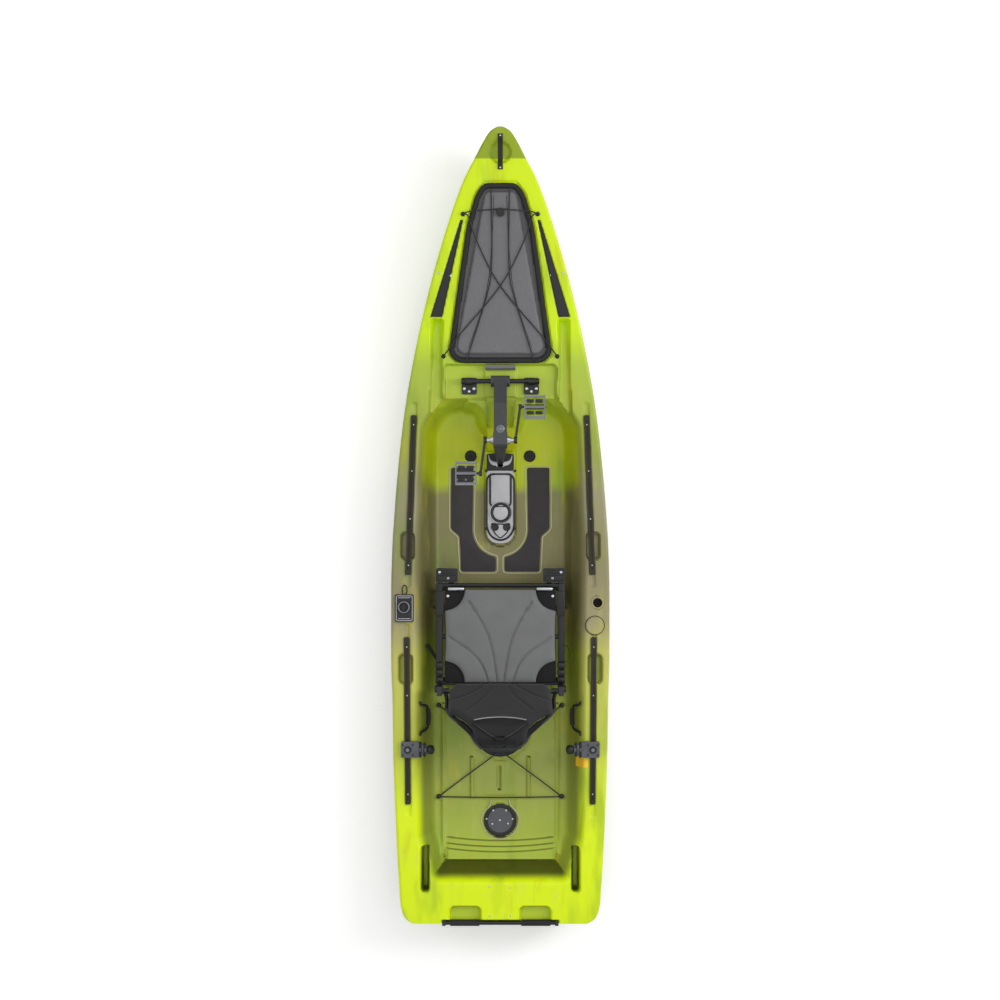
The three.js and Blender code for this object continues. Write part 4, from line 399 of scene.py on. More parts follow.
@dataclass(frozen=True)
class Rotomoulded(Finish):
    """Rotomoulded polyethylene: pigments that melt together, with a soft waxy gloss.

    The lime fades through moss to khaki amidships and back. The hollows are greener than the rims, and
    painted with light and shade: lighter at the front of the footwell, darker amidships and aft.
    """

    rims: tuple[Shade, ...] = (
        Shade(1.60, "#cae402"), Shade(0.95, "#c4e008"), Shade(0.78, "#a4ba38"),
        Shade(0.34, "#949a42"), Shade(0.15, "#8f8c68"), Shade(-0.20, "#857e5c"), Shade(-0.44, "#928c68"),
        Shade(-0.58, "#b4b25c"), Shade(-1.05, "#c4d048"), Shade(-1.40, "#daf00c"), Shade(-1.80, "#d8f000"),
    )
    # Colours of the hollows: greener than the rims, painted lighter at the front of the footwell and darker
    # amidships and aft, as painted light and shade
    hollows: tuple[Shade, ...] = (
        Shade(0.62, "#b6ca3a"), Shade(0.45, "#b2bc0a"), Shade(0.22, "#a4b410"), Shade(0.16, "#7f7c4e"),
        Shade(-0.18, "#77724c"), Shade(-0.46, "#6f6c3a"), Shade(-0.60, "#86942e"), Shade(-1.20, "#949e48"),
        Shade(-1.55, "#a6b83c"),
    )
    moss: str = "#6f8f20"
    straw: str = "#b8ae18"
    ashen: str = "#b9bf80"
    tip: str = "#8ca018"
    bow_end: float = 1.752
    # Colour of the painted shade on steep walls and at the bottom of the moat round the drive well
    gloom: str = "#2c2a02"
    hollow_levels: tuple[float, float] = (0.322, 0.26)
    wet_levels: tuple[float, float] = (0.121, 0.100)
    shaded_stations: tuple[float, float] = (0.30, 0.12)
    side_share: float = 0.55
    gloom_share: float = 0.85
    moat_share: float = 0.75
    swirl: float = 380.0
    wander: float = 0.16
    peel: float = 9.0
    ends: tuple[float, float] = (-1.9, 1.9)

    def zones(self, tree: Tree, station: Socket, shades: Sequence[Shade]) -> Socket:
        """Blend shades one into the next along the hull.

        Args:
            tree: The material's node tree.
            station: Y of the surface in metres, with its wander.
            shades: The shades and their stations.

        Returns:
            The blended colour.
        """
        low, high = self.ends
        share = add_node(tree, "MapRange", {"Value": station, "From Min": low, "From Max": high})
        node = add_node(tree, "ValToRGB", {"Fac": share.outputs["Result"]})
        stops = node.color_ramp.elements
        ordered = sorted(shades, key=lambda shade: shade.station)
        while len(stops) < len(ordered):
            stops.new(0.5)
        for stop, shade in zip(stops, ordered):
            stop.position = (shade.station - low) / (high - low)
            stop.color = linear(shade.colour)
        return node.outputs["Color"]

    def patches(self, tree: Tree, place: Socket, size: float, low: float, high: float, most: float) -> Socket:
        """Make soft-edged patches of a second pigment.

        Args:
            tree: The material's node tree.
            place: Coordinates that the patches follow.
            size: Their typical width in mm.
            low: Noise value where a patch starts.
            high: Noise value where it is full.
            most: How much of the pigment a full patch holds.

        Returns:
            The amount of the pigment.
        """
        noise = add_node(
            tree, "TexNoise", {"Vector": place, "Scale": 1 / (size * MM), "Detail": 3.0, "Roughness": 0.55}
        )
        amount = add_node(
            tree,
            "MapRange",
            {"Value": noise.outputs["Fac"], "From Min": low, "From Max": high, "To Max": most},
            interpolation_type="SMOOTHSTEP",
        )
        return amount.outputs["Result"]

    def dress(self, tree: Tree, place: Socket, shader: Node) -> None:
        """Zones along the length, each wandering with a slow noise, over a fine orange peel. Steep walls
        amidships and aft, and the bottom of the moat, are mixed towards a dark olive as painted shade.
        """
        swirl = add_node(tree, "TexNoise", {"Vector": place, "Scale": 1 / (self.swirl * MM), "Detail": 4.0})
        axes = add_node(tree, "SeparateXYZ", {"Vector": place})
        wander = add_node(
            tree,
            "Math",
            {0: swirl.outputs["Fac"], 1: self.wander, 2: axes.outputs["Y"]},
            operation="MULTIPLY_ADD",
        )
        station = add_node(
            tree, "Math", {0: wander.outputs[0], 1: self.wander / 2}, operation="SUBTRACT"
        ).outputs[0]
        deep = add_node(
            tree,
            "MapRange",
            {
                "Value": axes.outputs["Z"],
                "From Min": self.hollow_levels[0],
                "From Max": self.hollow_levels[1],
            },
            interpolation_type="SMOOTHSTEP",
        ).outputs["Result"]
        # Painted shade on the walls: the more a wall faces sideways or towards the bow, the darker it is
        # painted, in the hollows aft of the fore footwell
        slope = add_node(tree, "SeparateXYZ", {"Vector": add_node(tree, "NewGeometry").outputs["Normal"]})
        across = add_node(tree, "Math", {0: slope.outputs["X"]}, operation="ABSOLUTE")
        sides = add_node(tree, "Math", {0: across.outputs[0], 1: self.side_share}, operation="MULTIPLY")
        steep = add_node(tree, "Math", {0: sides.outputs[0], 1: slope.outputs["Y"]}, operation="MAXIMUM")
        walls = add_node(
            tree,
            "MapRange",
            {"Value": steep.outputs[0], "From Min": 0.25, "From Max": 0.8, "To Max": self.gloom_share},
            interpolation_type="SMOOTHSTEP",
        )
        aft = add_node(
            tree,
            "MapRange",
            {"Value": station, "From Min": self.shaded_stations[0], "From Max": self.shaded_stations[1]},
            interpolation_type="SMOOTHSTEP",
        )
        # Painted shade at the bottom of the moat round the drive well
        moat_shade = add_node(
            tree,
            "MapRange",
            {
                "Value": axes.outputs["Z"],
                "From Min": self.wet_levels[0],
                "From Max": self.wet_levels[1],
                "To Max": self.moat_share,
            },
        )
        side = add_node(tree, "Math", {0: walls.outputs["Result"], 1: deep}, operation="MULTIPLY")
        shaded = add_node(tree, "Math", {0: side.outputs[0], 1: aft.outputs["Result"]}, operation="MULTIPLY")
        gloom = add_node(tree, "Math", {0: shaded.outputs[0], 1: moat_shade.outputs["Result"]}, operation="MAXIMUM")
        streak = add_node(tree, "Mapping", {"Vector": place, "Scale": (2.2, 0.6, 2.2)}).outputs[0]
        nose = add_node(
            tree,
            "MapRange",
            {"Value": axes.outputs["Y"], "From Min": self.bow_end, "From Max": self.bow_end + 0.006},
        )
        base = self.zones(tree, station, self.rims)
        layers = (
            (deep, self.zones(tree, station, self.hollows)),
            (nose.outputs["Result"], linear(self.tip)),
            (self.patches(tree, streak, 300.0, 0.5, 0.72, 0.45), linear(self.moss)),
            (self.patches(tree, streak, 210.0, 0.56, 0.74, 0.4), linear(self.straw)),
            (self.patches(tree, streak, 90.0, 0.55, 0.8, 0.22), linear(self.ashen)),
            (gloom.outputs[0], linear(self.gloom)),
        )
        for amount, colour in layers:
            mix = add_node(tree, "Mix", {"Factor": amount, "A": base, "B": colour}, data_type="RGBA")
            base = mix.outputs["Result"]
        tree.links.new(base, shader.inputs["Base Color"])
        peel = add_node(tree, "TexNoise", {"Vector": place, "Scale": 1 / (self.peel * MM), "Detail": 2.0})
        warp = add_node(tree, "TexNoise", {"Vector": place, "Scale": 9.0, "Detail": 1.0})
        fine = add_node(tree, "Bump", {"Height": peel.outputs["Fac"], "Strength": 0.12, "Distance": 0.6 * MM})
        slow = add_node(
            tree,
            "Bump",
            {
                "Height": warp.outputs["Fac"], "Strength": 0.5, "Distance": 6 * MM,
                "Normal": fine.outputs["Normal"],
            },
        )
        tree.links.new(slow.outputs["Normal"], shader.inputs["Normal"])
        low, high = self.roughness - 0.07, self.roughness + 0.1
        rough = add_node(tree, "MapRange", {"Value": peel.outputs["Fac"], "To Min": low, "To Max": high})
        tree.links.new(rough.outputs["Result"], shader.inputs["Roughness"])


# Polyethylene, rotomoulded: waxy and semi-gloss, with painted light and shade in its hollows and painted
# shade on its steep walls and in the moat
HULL_PLASTIC = Rotomoulded("rotomoulded_polyethylene", "#c3dc10", 0.38, specular=0.28)
# The same polyethylene on a moulded bead, painted pale: a thin khaki line that is a painted highlight along
# the bead
HIGHLIT_BEAD = Moulded("rubbed_hull_bead", "#a9a583", 0.45, relief=0.05, worn="#c6c2a0")
# Glass-filled nylon, injection moulded: nearly black and satin
NYLON = Moulded("moulded_black_nylon", "#0b0c0d", 0.42, specular=0.28, worn="#1d1e20")
# Thermoformed polyethylene lid: leather-grained charcoal
LID_PLASTIC = Moulded("thermoformed_charcoal_lid", "#59585a", 0.5, grain=6.0, relief=0.5, worn="#727174")
# The lid's polyethylene painted nearly black: painted shade on the rolled rim, also used for the dark lines
# along the panel
LID_PAINTED_SHADE = Moulded("dark_lid_seam", "#161617", 0.6, grain=6.0, relief=0.4, specular=0.25, worn="#262627")
# Filled nylon in charcoal, injection moulded: the dull grey satin of clamps and drain plate
CHARCOAL = Moulded("moulded_charcoal_polymer", "#414347", 0.45, specular=0.4, worn="#606268")
# ABS, injection moulded: light grey with a fine grain
GREY_ABS = Moulded("moulded_grey_abs", "#a2a2a5", 0.42, relief=0.06, worn="#bcbcbe", ior=1.54)
# Nitrile rubber, moulded: soft and dull
RUBBER = Moulded("moulded_rubber", "#151516", 0.7, grain=1.8, specular=0.3, worn="#2a2a2c")
# Steel under black polyester powder coat: a slight orange peel
POWDER_COAT = Moulded(
    "black_powder_coat", "#0b0c0d", 0.33, grain=3.0, relief=0.08, specular=0.32, worn="#1f2123"
)
# Cast aluminium under a grey-black powder coat: a housing darker than bare metal, lightly mottled
DRIVE_COAT = Moulded("dark_drive_coat", "#28292a", 0.42, grain=2.0, relief=0.1, specular=0.4, worn="#48494b")
# 6063 aluminium, extruded and dark anodised: fine lines stretch the light along each rail
ANODISED = Metal("dark_anodised_aluminium", "#2c2a26", 0.42, along=Axis.Y, worn="#45413a")
# Stainless steel, tumbled bright: small heads that catch the lamps
STAINLESS = Metal("tumbled_stainless_steel", "#a4a6a9", 0.25, along=Axis.X, worn="#7c7e82")
# Aluminium, cast and polished: mid grey cages with broken highlights
PEDAL_METAL = Metal("cast_pedal_aluminium", "#55585b", 0.3, along=Axis.X, worn="#85888b")
# EVA foam, closed-cell and brushed: dead matt with a tight pebble
EVA = Foam("brushed_eva_foam", "#2f2b2d", 0.9, specular=0.3)
# Solution-dyed polyester seat cloth, woven: heathered grey without shine
SEAT_CLOTH = Woven("woven_seat_cloth", "#616263", 0.85, specular=0.3, fleck="#818282")
# The same cloth in charcoal on the reclined back: a darker fleck
BACK_CLOTH = Woven("woven_back_cloth", "#181719", 0.8, specular=0.25, fleck="#2c2b2d", tilt=BACK_TILT)
# Polyester tape, woven flat: black with a fine, even rib
WEBBING = Woven("woven_webbing", "#0c0c0d", 0.8, specular=0.2, thread=2.5, fleck="#1a1a1c")
# The lid's polyethylene in its pressed border, painted a shade darker as painted shade, and duller than the
# panel
LID_TROUGH_SHADE = Moulded("grey_lid_trough", "#4d4c4d", 0.6, grain=6.0, relief=0.4, specular=0.3, worn="#5b5a5b")
# Polyester mesh, knitted open, at the sides of the seat back: it swallows the light
BACK_MESH = Woven("black_back_mesh", "#070708", 0.85, specular=0.08, fleck="#101011", tilt=BACK_TILT)
# Vinyl-coated piping, painted pale grey: a painted highlight along the back's fold
HIGHLIT_PIPING = Moulded("pale_coated_piping", "#8b8c8e", 0.3, relief=0.04, worn="#b4b5b7")
# Rubber cord in a polyester braid: black with a faint painted glint along its diagonal strands
SHOCK_CORD = Braided("braided_shock_cord", "#0d0e0f", 0.7, specular=0.3)
# Nylon webbing coated in safety yellow: even and lightly satin
YELLOW_TAG = Moulded("yellow_coated_tag", "#eeb000", 0.5, relief=0.04, worn="#ffcf3a")


def mesh_object(name: str, points: Sequence[Place], faces: Sequence[Sequence[int]], finish: Finish) -> Piece:
    """Make a mesh object from points in millimetres.

    Args:
        name: Name of the object.
        points: Its vertices in millimetres.
        faces: Vertex numbers of each face.
        finish: What it is made of.

    Returns:
        The object, linked to the scene.
    """
    data = bpy.data.meshes.new(name)
    data.from_pydata([(x * MM, y * MM, z * MM) for x, y, z in points], [], [tuple(f) for f in faces])
    data.update()
    obj = bpy.data.objects.new(name, data)
    bpy.context.scene.collection.objects.link(obj)
    data.materials.append(finish.build())
    return obj


def smooth(obj: Piece, angle: float = 35.0) -> Piece:
    """Shade smooth, with hard edges kept above an angle in degrees.

    Args:
        obj: Mesh object.
        angle: Faces that meet at more than this stay sharp.

    Returns:
        The same object.
    """
    work = bmesh.new()
    work.from_mesh(obj.data)
    bmesh.ops.recalc_face_normals(work, faces=work.faces)
    for face in work.faces:
        face.smooth = True
    for edge in work.edges:
        edge.smooth = edge.is_boundary or edge.calc_face_angle(0.0) < math.radians(angle)
    work.to_mesh(obj.data)
    work.free()
    return obj


def finished(obj: Piece, body: str, replaces: Sequence[str] = ()) -> Piece:
    """Hand one piece over: the body that it rides on and what it stands for.

    Args:
        obj: The piece.
        body: Body of the record that it moves with.
        replaces: CAD nodes that it takes the place of.

    Returns:
        The same object.
    """
    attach(obj, body)
    if replaces:
        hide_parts(*replaces)
    LOG.info("%s on %s", obj.name, body)
    return obj


def both(half: Sequence[Sequence[float]]) -> list[tuple[float, ...]]:
    """Mirror the right half of a plan outline, whose points may carry a radius, to a whole one."""
    return [*[tuple(p) for p in half], *[(-p[0], *p[1:]) for p in reversed(half)]]


def filleted(corners: Sequence[tuple[float, float, float]], steps: int = 10) -> list[Point]:
    """Round each corner of a plan outline by its own radius.

    Args:
        corners: X, Y and radius of each corner.
        steps: Straight parts in each round.

    Returns:
        The rounded outline.
    """
    result: list[Point] = []
    for i, (x, y, radius) in enumerate(corners):
        here = Vector((x, y))
        before = (Vector(corners[i - 1][:2]) - here).normalized()
        after = (Vector(corners[(i + 1) % len(corners)][:2]) - here).normalized()
        half = before.angle(after) / 2
        centre = here + (before + after).normalized() * (radius / math.sin(half))
        start = here + before * (radius / math.tan(half)) - centre
        end = here + after * (radius / math.tan(half)) - centre
        for k in range(steps + 1):
            arm = (start * (steps - k) + end * k).normalized() * radius
            result.append((centre.x + arm.x, centre.y + arm.y))
    return result


def on_side(outline: Sequence[Point], side: Side) -> list[Point]:
    """Put an outline of the right side on the given side."""
    return [(side.value * x, y) for x, y in outline]


def box_outline(x0: float, x1: float, y0: float, y1: float) -> list[Point]:
    """Corners of a plan rectangle, from its least and greatest X and Y."""
    return [(x0, y0), (x1, y0), (x1, y1), (x0, y1)]


def shifted(outline: Sequence[Point], distance: float) -> list[Point]:
    """Move every side of an outline outwards.

    Args:
        outline: Plan outline.
        distance: How far in mm; negative moves inwards.

    Returns:
        The new outline.
    """
    area = sum(a[0] * b[1] - b[0] * a[1] for a, b in zip(outline, [*outline[1:], outline[0]]))
    way = 1.0 if area > 0 else -1.0
    result = []
    for i, (x, y) in enumerate(outline):
        before = Vector(outline[i - 1])
        after = Vector(outline[(i + 1) % len(outline)])
        a = (Vector((x, y)) - before).normalized()
        b = (after - Vector((x, y))).normalized()
        na = Vector((a.y, -a.x)) * way
        nb = Vector((b.y, -b.x)) * way
        mitre = (na + nb) / (1 + na.dot(nb))
        result.append((x + mitre.x * distance, y + mitre.y * distance))
    return result


def inside_distance(x: np.ndarray, y: np.ndarray, outline: Sequence[Point], corner: float) -> np.ndarray:
    """Distance inwards from an outline with rounded corners, negative outside it.

    Args:
        x: X of each place in mm.
        y: Y of each place in mm.
        outline: Plan outline before rounding.
        corner: Radius of its corners in mm.

    Returns:
        The distance at each place.
    """
    line = shifted(outline, -corner) if corner else list(outline)
    near = np.full(x.shape, np.inf)
    inside = np.zeros(x.shape, dtype=bool)
    for (ax, ay), (bx, by) in zip(line, [*line[1:], line[0]]):
        ex, ey = bx - ax, by - ay
        along = np.clip(((x - ax) * ex + (y - ay) * ey) / (ex * ex + ey * ey), 0.0, 1.0)
        near = np.minimum(near, np.hypot(x - ax - along * ex, y - ay - along * ey))
        if ay != by:
            crossing = (ay > y) != (by > y)
            inside ^= crossing & (x < ax + (y - ay) * ex / ey)
    return np.where(inside, near, -near) + corner


def soft(value: np.ndarray, radius: float) -> np.ndarray:
    """Ramp that is nought below nought and rises one in one above it, with a foot of a radius."""
    foot = (value + radius) ** 2 / (4 * radius)
    return np.where(value < -radius, 0.0, np.where(value > radius, value, foot))


def ramp(inside: np.ndarray, draft: float, lip: float, heel: float) -> np.ndarray:
    """Share of a pocket's depth at a distance inwards, by its wall's draft, lip and heel."""
    return np.clip((soft(inside, lip) - soft(inside - draft, heel)) / draft, 0.0, 1.0)


@dataclass(frozen=True)
class Pocket:
    """A hollow moulded into the deck, from a level down to its floor."""

    outline: Sequence[Point]
    floor: float
    top: float = 330.0
    draft: float = 9.0
    corner: float = 0.0
    lip: float = 4.0
    heel: float = 4.0
    sunk: bool = False

    def level(self, x: np.ndarray, y: np.ndarray, z: np.ndarray) -> np.ndarray:
        """Lower the surface where this pocket is.

        Args:
            x: X of each place in mm.
            y: Y of each place in mm.
            z: Height of the surface so far.

        Returns:
            The height with this pocket in it.
        """
        depth = ramp(inside_distance(x, y, self.outline, self.corner), self.draft, self.lip, self.heel)
        if self.sunk:
            return z - self.floor * depth
        lowered = np.maximum(z, self.top) + (self.floor - np.maximum(z, self.top)) * depth
        return np.minimum(z, lowered)


@dataclass(frozen=True)
class Island:
    """A raised part that stands in a pocket."""

    outline: Sequence[Point]
    top: float
    base: float
    draft: float = 9.0
    corner: float = 0.0
    lip: float = 6.0
    heel: float = 5.0
    knees: tuple[Point, ...] = ()

    def level(self, x: np.ndarray, y: np.ndarray, z: np.ndarray) -> np.ndarray:
        """Raise the surface where this island is.

        Args:
            x: X of each place in mm.
            y: Y of each place in mm.
            z: Height of the surface so far.

        Returns:
            The height with this island on it.
        """
        inside = inside_distance(x, y, self.outline, self.corner) + self.draft
        rise = ramp(inside, self.draft, self.heel, self.lip)
        top = np.interp(y, [k[0] for k in self.knees], [k[1] for k in self.knees]) if self.knees else self.top
        return np.maximum(z, self.base + (top - self.base) * rise)


def disc(x: float, y: float, radius: float, sides: int = 28) -> list[Point]:
    """Plan outline of a circle round a centre, with straight sides."""
    turns = [2 * math.pi * i / sides for i in range(sides)]
    return [(x + radius * math.cos(t), y + radius * math.sin(t)) for t in turns]


@dataclass(frozen=True)
class Lines:
    """The hull's lines: its length, breadth, sheer and keel."""

    bow: float = 1905.0
    stern: float = -1890.0
    length: float = 3810.0
    half_beam: float = 523.0
    gunwale: float = 330.0
    sheer_start: float = 690.0
    sheer_rise: float = 86.0
    stem_start: float = 1420.0
    stem_rise: float = 345.0
    rocker_start: float = -1440.0
    rocker_rise: float = 88.0
    fine: Point = (800.0, 1720.0)
    plan: tuple[Point, ...] = (
        (0, 0.03), (0.0015, 0.055), (0.005, 0.092), (0.02, 0.164), (0.035, 0.22), (0.0627, 0.325),
        (0.0942, 0.415), (0.157, 0.562), (0.22, 0.685), (0.282, 0.786), (0.345, 0.868), (0.408, 0.924),
        (0.47, 0.964), (0.533, 0.992), (0.58, 1), (0.66, 1), (0.72, 0.987), (0.785, 0.98),
        (0.847, 0.964), (0.91, 0.943), (0.95, 0.925),
        (0.972, 0.914), (0.982, 0.898), (0.989, 0.876), (0.9935, 0.842), (0.9961, 0.8),
    )

    def half(self, y: float) -> float:
        """Half-beam at a station, along a curve through the plan's points."""
        share = np.array([p[0] for p in self.plan])
        wide = np.array([p[1] for p in self.plan])
        at = min(max((self.bow - y) / self.length, 0.0), share[-1])
        i = int(np.clip(np.searchsorted(share, at) - 1, 0, len(share) - 2))
        slope = np.diff(wide) / np.diff(share)

        def lean(k: int) -> float:
            if k in (0, len(share) - 1) or slope[k - 1] * slope[k] <= 0:
                return float(slope[0] if k == 0 else slope[-1] if k == len(share) - 1 else 0.0)
            return float(2 * slope[k - 1] * slope[k] / (slope[k - 1] + slope[k]))

        step = share[i + 1] - share[i]
        t = (at - share[i]) / step
        value = (
            (2 * t**3 - 3 * t**2 + 1) * wide[i]
            + (t**3 - 2 * t**2 + t) * step * lean(i)
            + (-2 * t**3 + 3 * t**2) * wide[i + 1]
            + (t**3 - t**2) * step * lean(i + 1)
        )
        return float(self.half_beam * value)

    def sheer(self, y: np.ndarray | float) -> np.ndarray | float:
        """Height of the deck at a station, rising from the fore deck to the bow."""
        ahead = self.sheer_rise * np.maximum(0, y - self.sheer_start)
        return self.gunwale + ahead / (self.bow - self.sheer_start)

    def keel(self, y: float) -> float:
        """Height of the keel at a station."""
        fore = max(0.0, y - self.stem_start) / (self.bow - self.stem_start)
        aft = max(0.0, self.rocker_start - y) / (self.rocker_start + self.bow)
        return self.stem_rise * fore**4 + self.rocker_rise * aft**2


LINES = Lines()
DECK_TILT = math.atan2(LINES.sheer_rise, LINES.bow - LINES.sheer_start)
HATCH_OUTLINE = tuple(both([(204, 786), (252, 832), (165, 1436), (122, 1590), (81, 1647)]))
INSERT_OUTLINE = ((277, 1010), (333, 1010), (190, 1468), (177, 1468))
BOW_EYES = ((178.0, 1496.0), (272.0, 822.0))
TANK_EYES = ((299.0, -860.0), (299.0, -1303.0))
RAILS = {"front": ((412.5, 542.0), (441.0, -222.0)), "rear": ((447.5, -519.0), (441.0, -1319.0))}


def rail_x(name: str, y: float) -> float:
    """X of a rail's middle line at a station."""
    (x0, y0), (x1, y1) = RAILS[name]
    return x0 + (x1 - x0) * (y - y0) / (y1 - y0)


def on_deck(x: float, y: float, z: float) -> Place:
    """Where a place, made flat at height nought, lies on the rising fore deck."""
    cos, sin = math.cos(DECK_TILT), math.sin(DECK_TILT)
    ahead = y - LINES.sheer_start
    return (x, LINES.sheer_start + ahead * cos - z * sin, LINES.gunwale + ahead * sin + z * cos)


@dataclass(frozen=True)
class Deck:
    """Everything moulded into the top of the hull, in the order that it is cut or raised."""

    well: tuple[float, float, float] = (40.0, -46.0, 366.0)
    stair_half: float = 288.0
    stairs: tuple[float, ...] = (1513.0, 1541.0, 1565.0)

    def forms(self) -> list[Pocket | Island]:
        """List the pockets and islands from the large ones down to the small.

        Returns:
            The forms in order.
        """
        cockpit = both([(292, 640), (384, 490), (410, -60), (396, -1480), (330, -1690)])
        footwell = filleted(both([(376, 632, 190), (376, -441, 80)]))
        moat = [(128, 300), *[p for p in disc(0, -4, 128, 48) if p[1] < -4][::-1], (-128, 300)]
        forms: list[Pocket | Island] = [
            Pocket(box_outline(-274, 274, 550, 790), 300.0, 345.0, 9.0, 26.0, 4.0, 5.0),
            Island(box_outline(-72, 72, 500, 767), 312.0, 299.0, 6.0, 6.0, 3.0, 3.0),
            Pocket(cockpit, 185.0, 330.0, 78.0, 60.0, 12.0, 22.0),
            Pocket(footwell, 125.0, 330.0, 54.0, 0.0, 12.0, 20.0),
            Pocket(moat, 97.0, 125.0, 12.0, 0.0, 8.0, 10.0),
            Island(box_outline(-76, 76, -10, 400), 150.0, 96.0, 8.0, 2.0, 5.0, 4.0),
            Island(disc(0, -12, 76), 150.0, 96.0, 8.0, 0.0, 5.0, 4.0),
            Island(
                box_outline(-70, 70, 366, 640), 312.0, 96.0, 9.0, 4.0, 6.0, 6.0,
                knees=((366, 150), (430, 205), (610, 300), (640, 306)),
            ),
            Pocket(disc(0, 1785, 53), 16.0, draft=9.0, lip=4.0, heel=5.0, sunk=True),
            Pocket(shifted(HATCH_OUTLINE, 4), 10.0, draft=8.0, corner=24.0, lip=3.0, heel=3.0, sunk=True),
            Pocket(disc(0, -982, 153), 6.0, draft=10.0, lip=4.0, heel=4.0, sunk=True),
            Pocket(disc(0, -1420, 88), 12.0, draft=8.0, lip=3.0, heel=3.0, sunk=True),
            Pocket(box_outline(-76, 76, -1420, -1293), 179.0, 185.0, 8.0, 6.0, 3.0, 3.0),
            Pocket(box_outline(-282, 282, -1990, -1872), 296.0, 330.0, 6.0, 4.0, 3.0, 3.0),
            Pocket(box_outline(-17, 6, -1273, -1152), 14.0, 330.0, 7.0, 8.0, 3.0, 2.0, True),
        ]
        for side in Side:
            forms += self.side_forms(side)
        return forms

    def side_forms(self, side: Side) -> list[Pocket | Island]:
        """List what is moulded into one side.

        Args:
            side: Port or starboard.

        Returns:
            The forms of that side.
        """
        forms: list[Pocket | Island] = [
            Pocket(
                on_side([(272, 540), (350, 540), (330, 1000), (272, 1000)], side),
                296.0, 352.0, 13.0, 14.0, 5.0, 6.0,
            ),
            Pocket(on_side(box_outline(223, 254, -850, -55), side), 12.0, draft=7.0, corner=4.0, sunk=True),
            Pocket(on_side(box_outline(339, 380, -1742, -1520), side), 200.0, draft=8.0, corner=16.0),
            Pocket(on_side(box_outline(90, 244, -1960, -1806), side), 284.0, draft=9.0, corner=28.0),
            Pocket(
                shifted(on_side(INSERT_OUTLINE, side), 3), 7.0,
                draft=6.0, lip=2.0, heel=2.0, sunk=True,
            ),
            Pocket(on_side(box_outline(264, 288, -1584, -848), side), -10.0, 330.0, 8.0, 4.0, sunk=True),
            Pocket(on_side(box_outline(126, 149, -1312, -1107), side), -13.0, 330.0, 8.0, 6.0, sunk=True),
        ]
        arc = [(152 - 82 * math.sin(t), 520 + 82 * math.cos(t)) for t in np.linspace(0, 1.57, 8)]
        web = on_side([(62, 618), (152, 618), *arc, (62, 500)], side)
        forms.append(Island(web, 300.0, 125.0, 42.0, 0.0, 8.0, 14.0))
        if side is Side.RIGHT:
            forms.append(Pocket(disc(465, -355, 27, 24), 110.0, draft=6.0, lip=2.0, heel=3.0, sunk=True))
        for corners in ((408, 479, -151, -17), (417, 489, -745, -600)):
            outline = on_side(box_outline(*corners), side)
            forms.append(Pocket(outline, 294.0, draft=8.0, corner=24.0))
        for name, ((_, y0), (_, y1)) in RAILS.items():
            aft, fore = y1 - 62, y0 + 62
            low, high = rail_x(name, aft), rail_x(name, fore)
            line = on_side([(low - 15, aft), (low + 15, aft), (high + 15, fore), (high - 15, fore)], side)
            forms.append(Pocket(line, 322.0, draft=6.0, corner=13.0, lip=3.0, heel=3.0))
        return forms

    def height(self, x: np.ndarray, y: np.ndarray) -> np.ndarray:
        """Height of the deck's surface.

        Args:
            x: X of each place in mm.
            y: Y of each place in mm.

        Returns:
            Z of each place in mm.
        """
        z = LINES.sheer(y) * np.ones_like(x)
        for form in self.forms():
            z = form.level(x, y, z)
        fade = np.clip((self.stair_half - np.abs(x)) / 40, 0.0, 1.0)
        bow = 22.0 * (x / self.stair_half) ** 2
        stairs = sum(8.0 * ramp(-y - at + bow, 8.0, 3.0, 3.0) for at in self.stairs)
        stairs = stairs * fade**2 * (3 - 2 * fade)
        z = np.where((y < -1480) & (y > -1640) & (z < 190), z + stairs, z)
        hold = ramp(inside_distance(x, y, shifted(HATCH_OUTLINE, -30), 20), 9.0, 3.0, 3.0)
        tub = np.array([LINES.keel(v) for v in np.unique(y)])
        floor = np.interp(y, np.unique(y), tub) + 60.0
        return z + (np.minimum(floor, z) - z) * hold


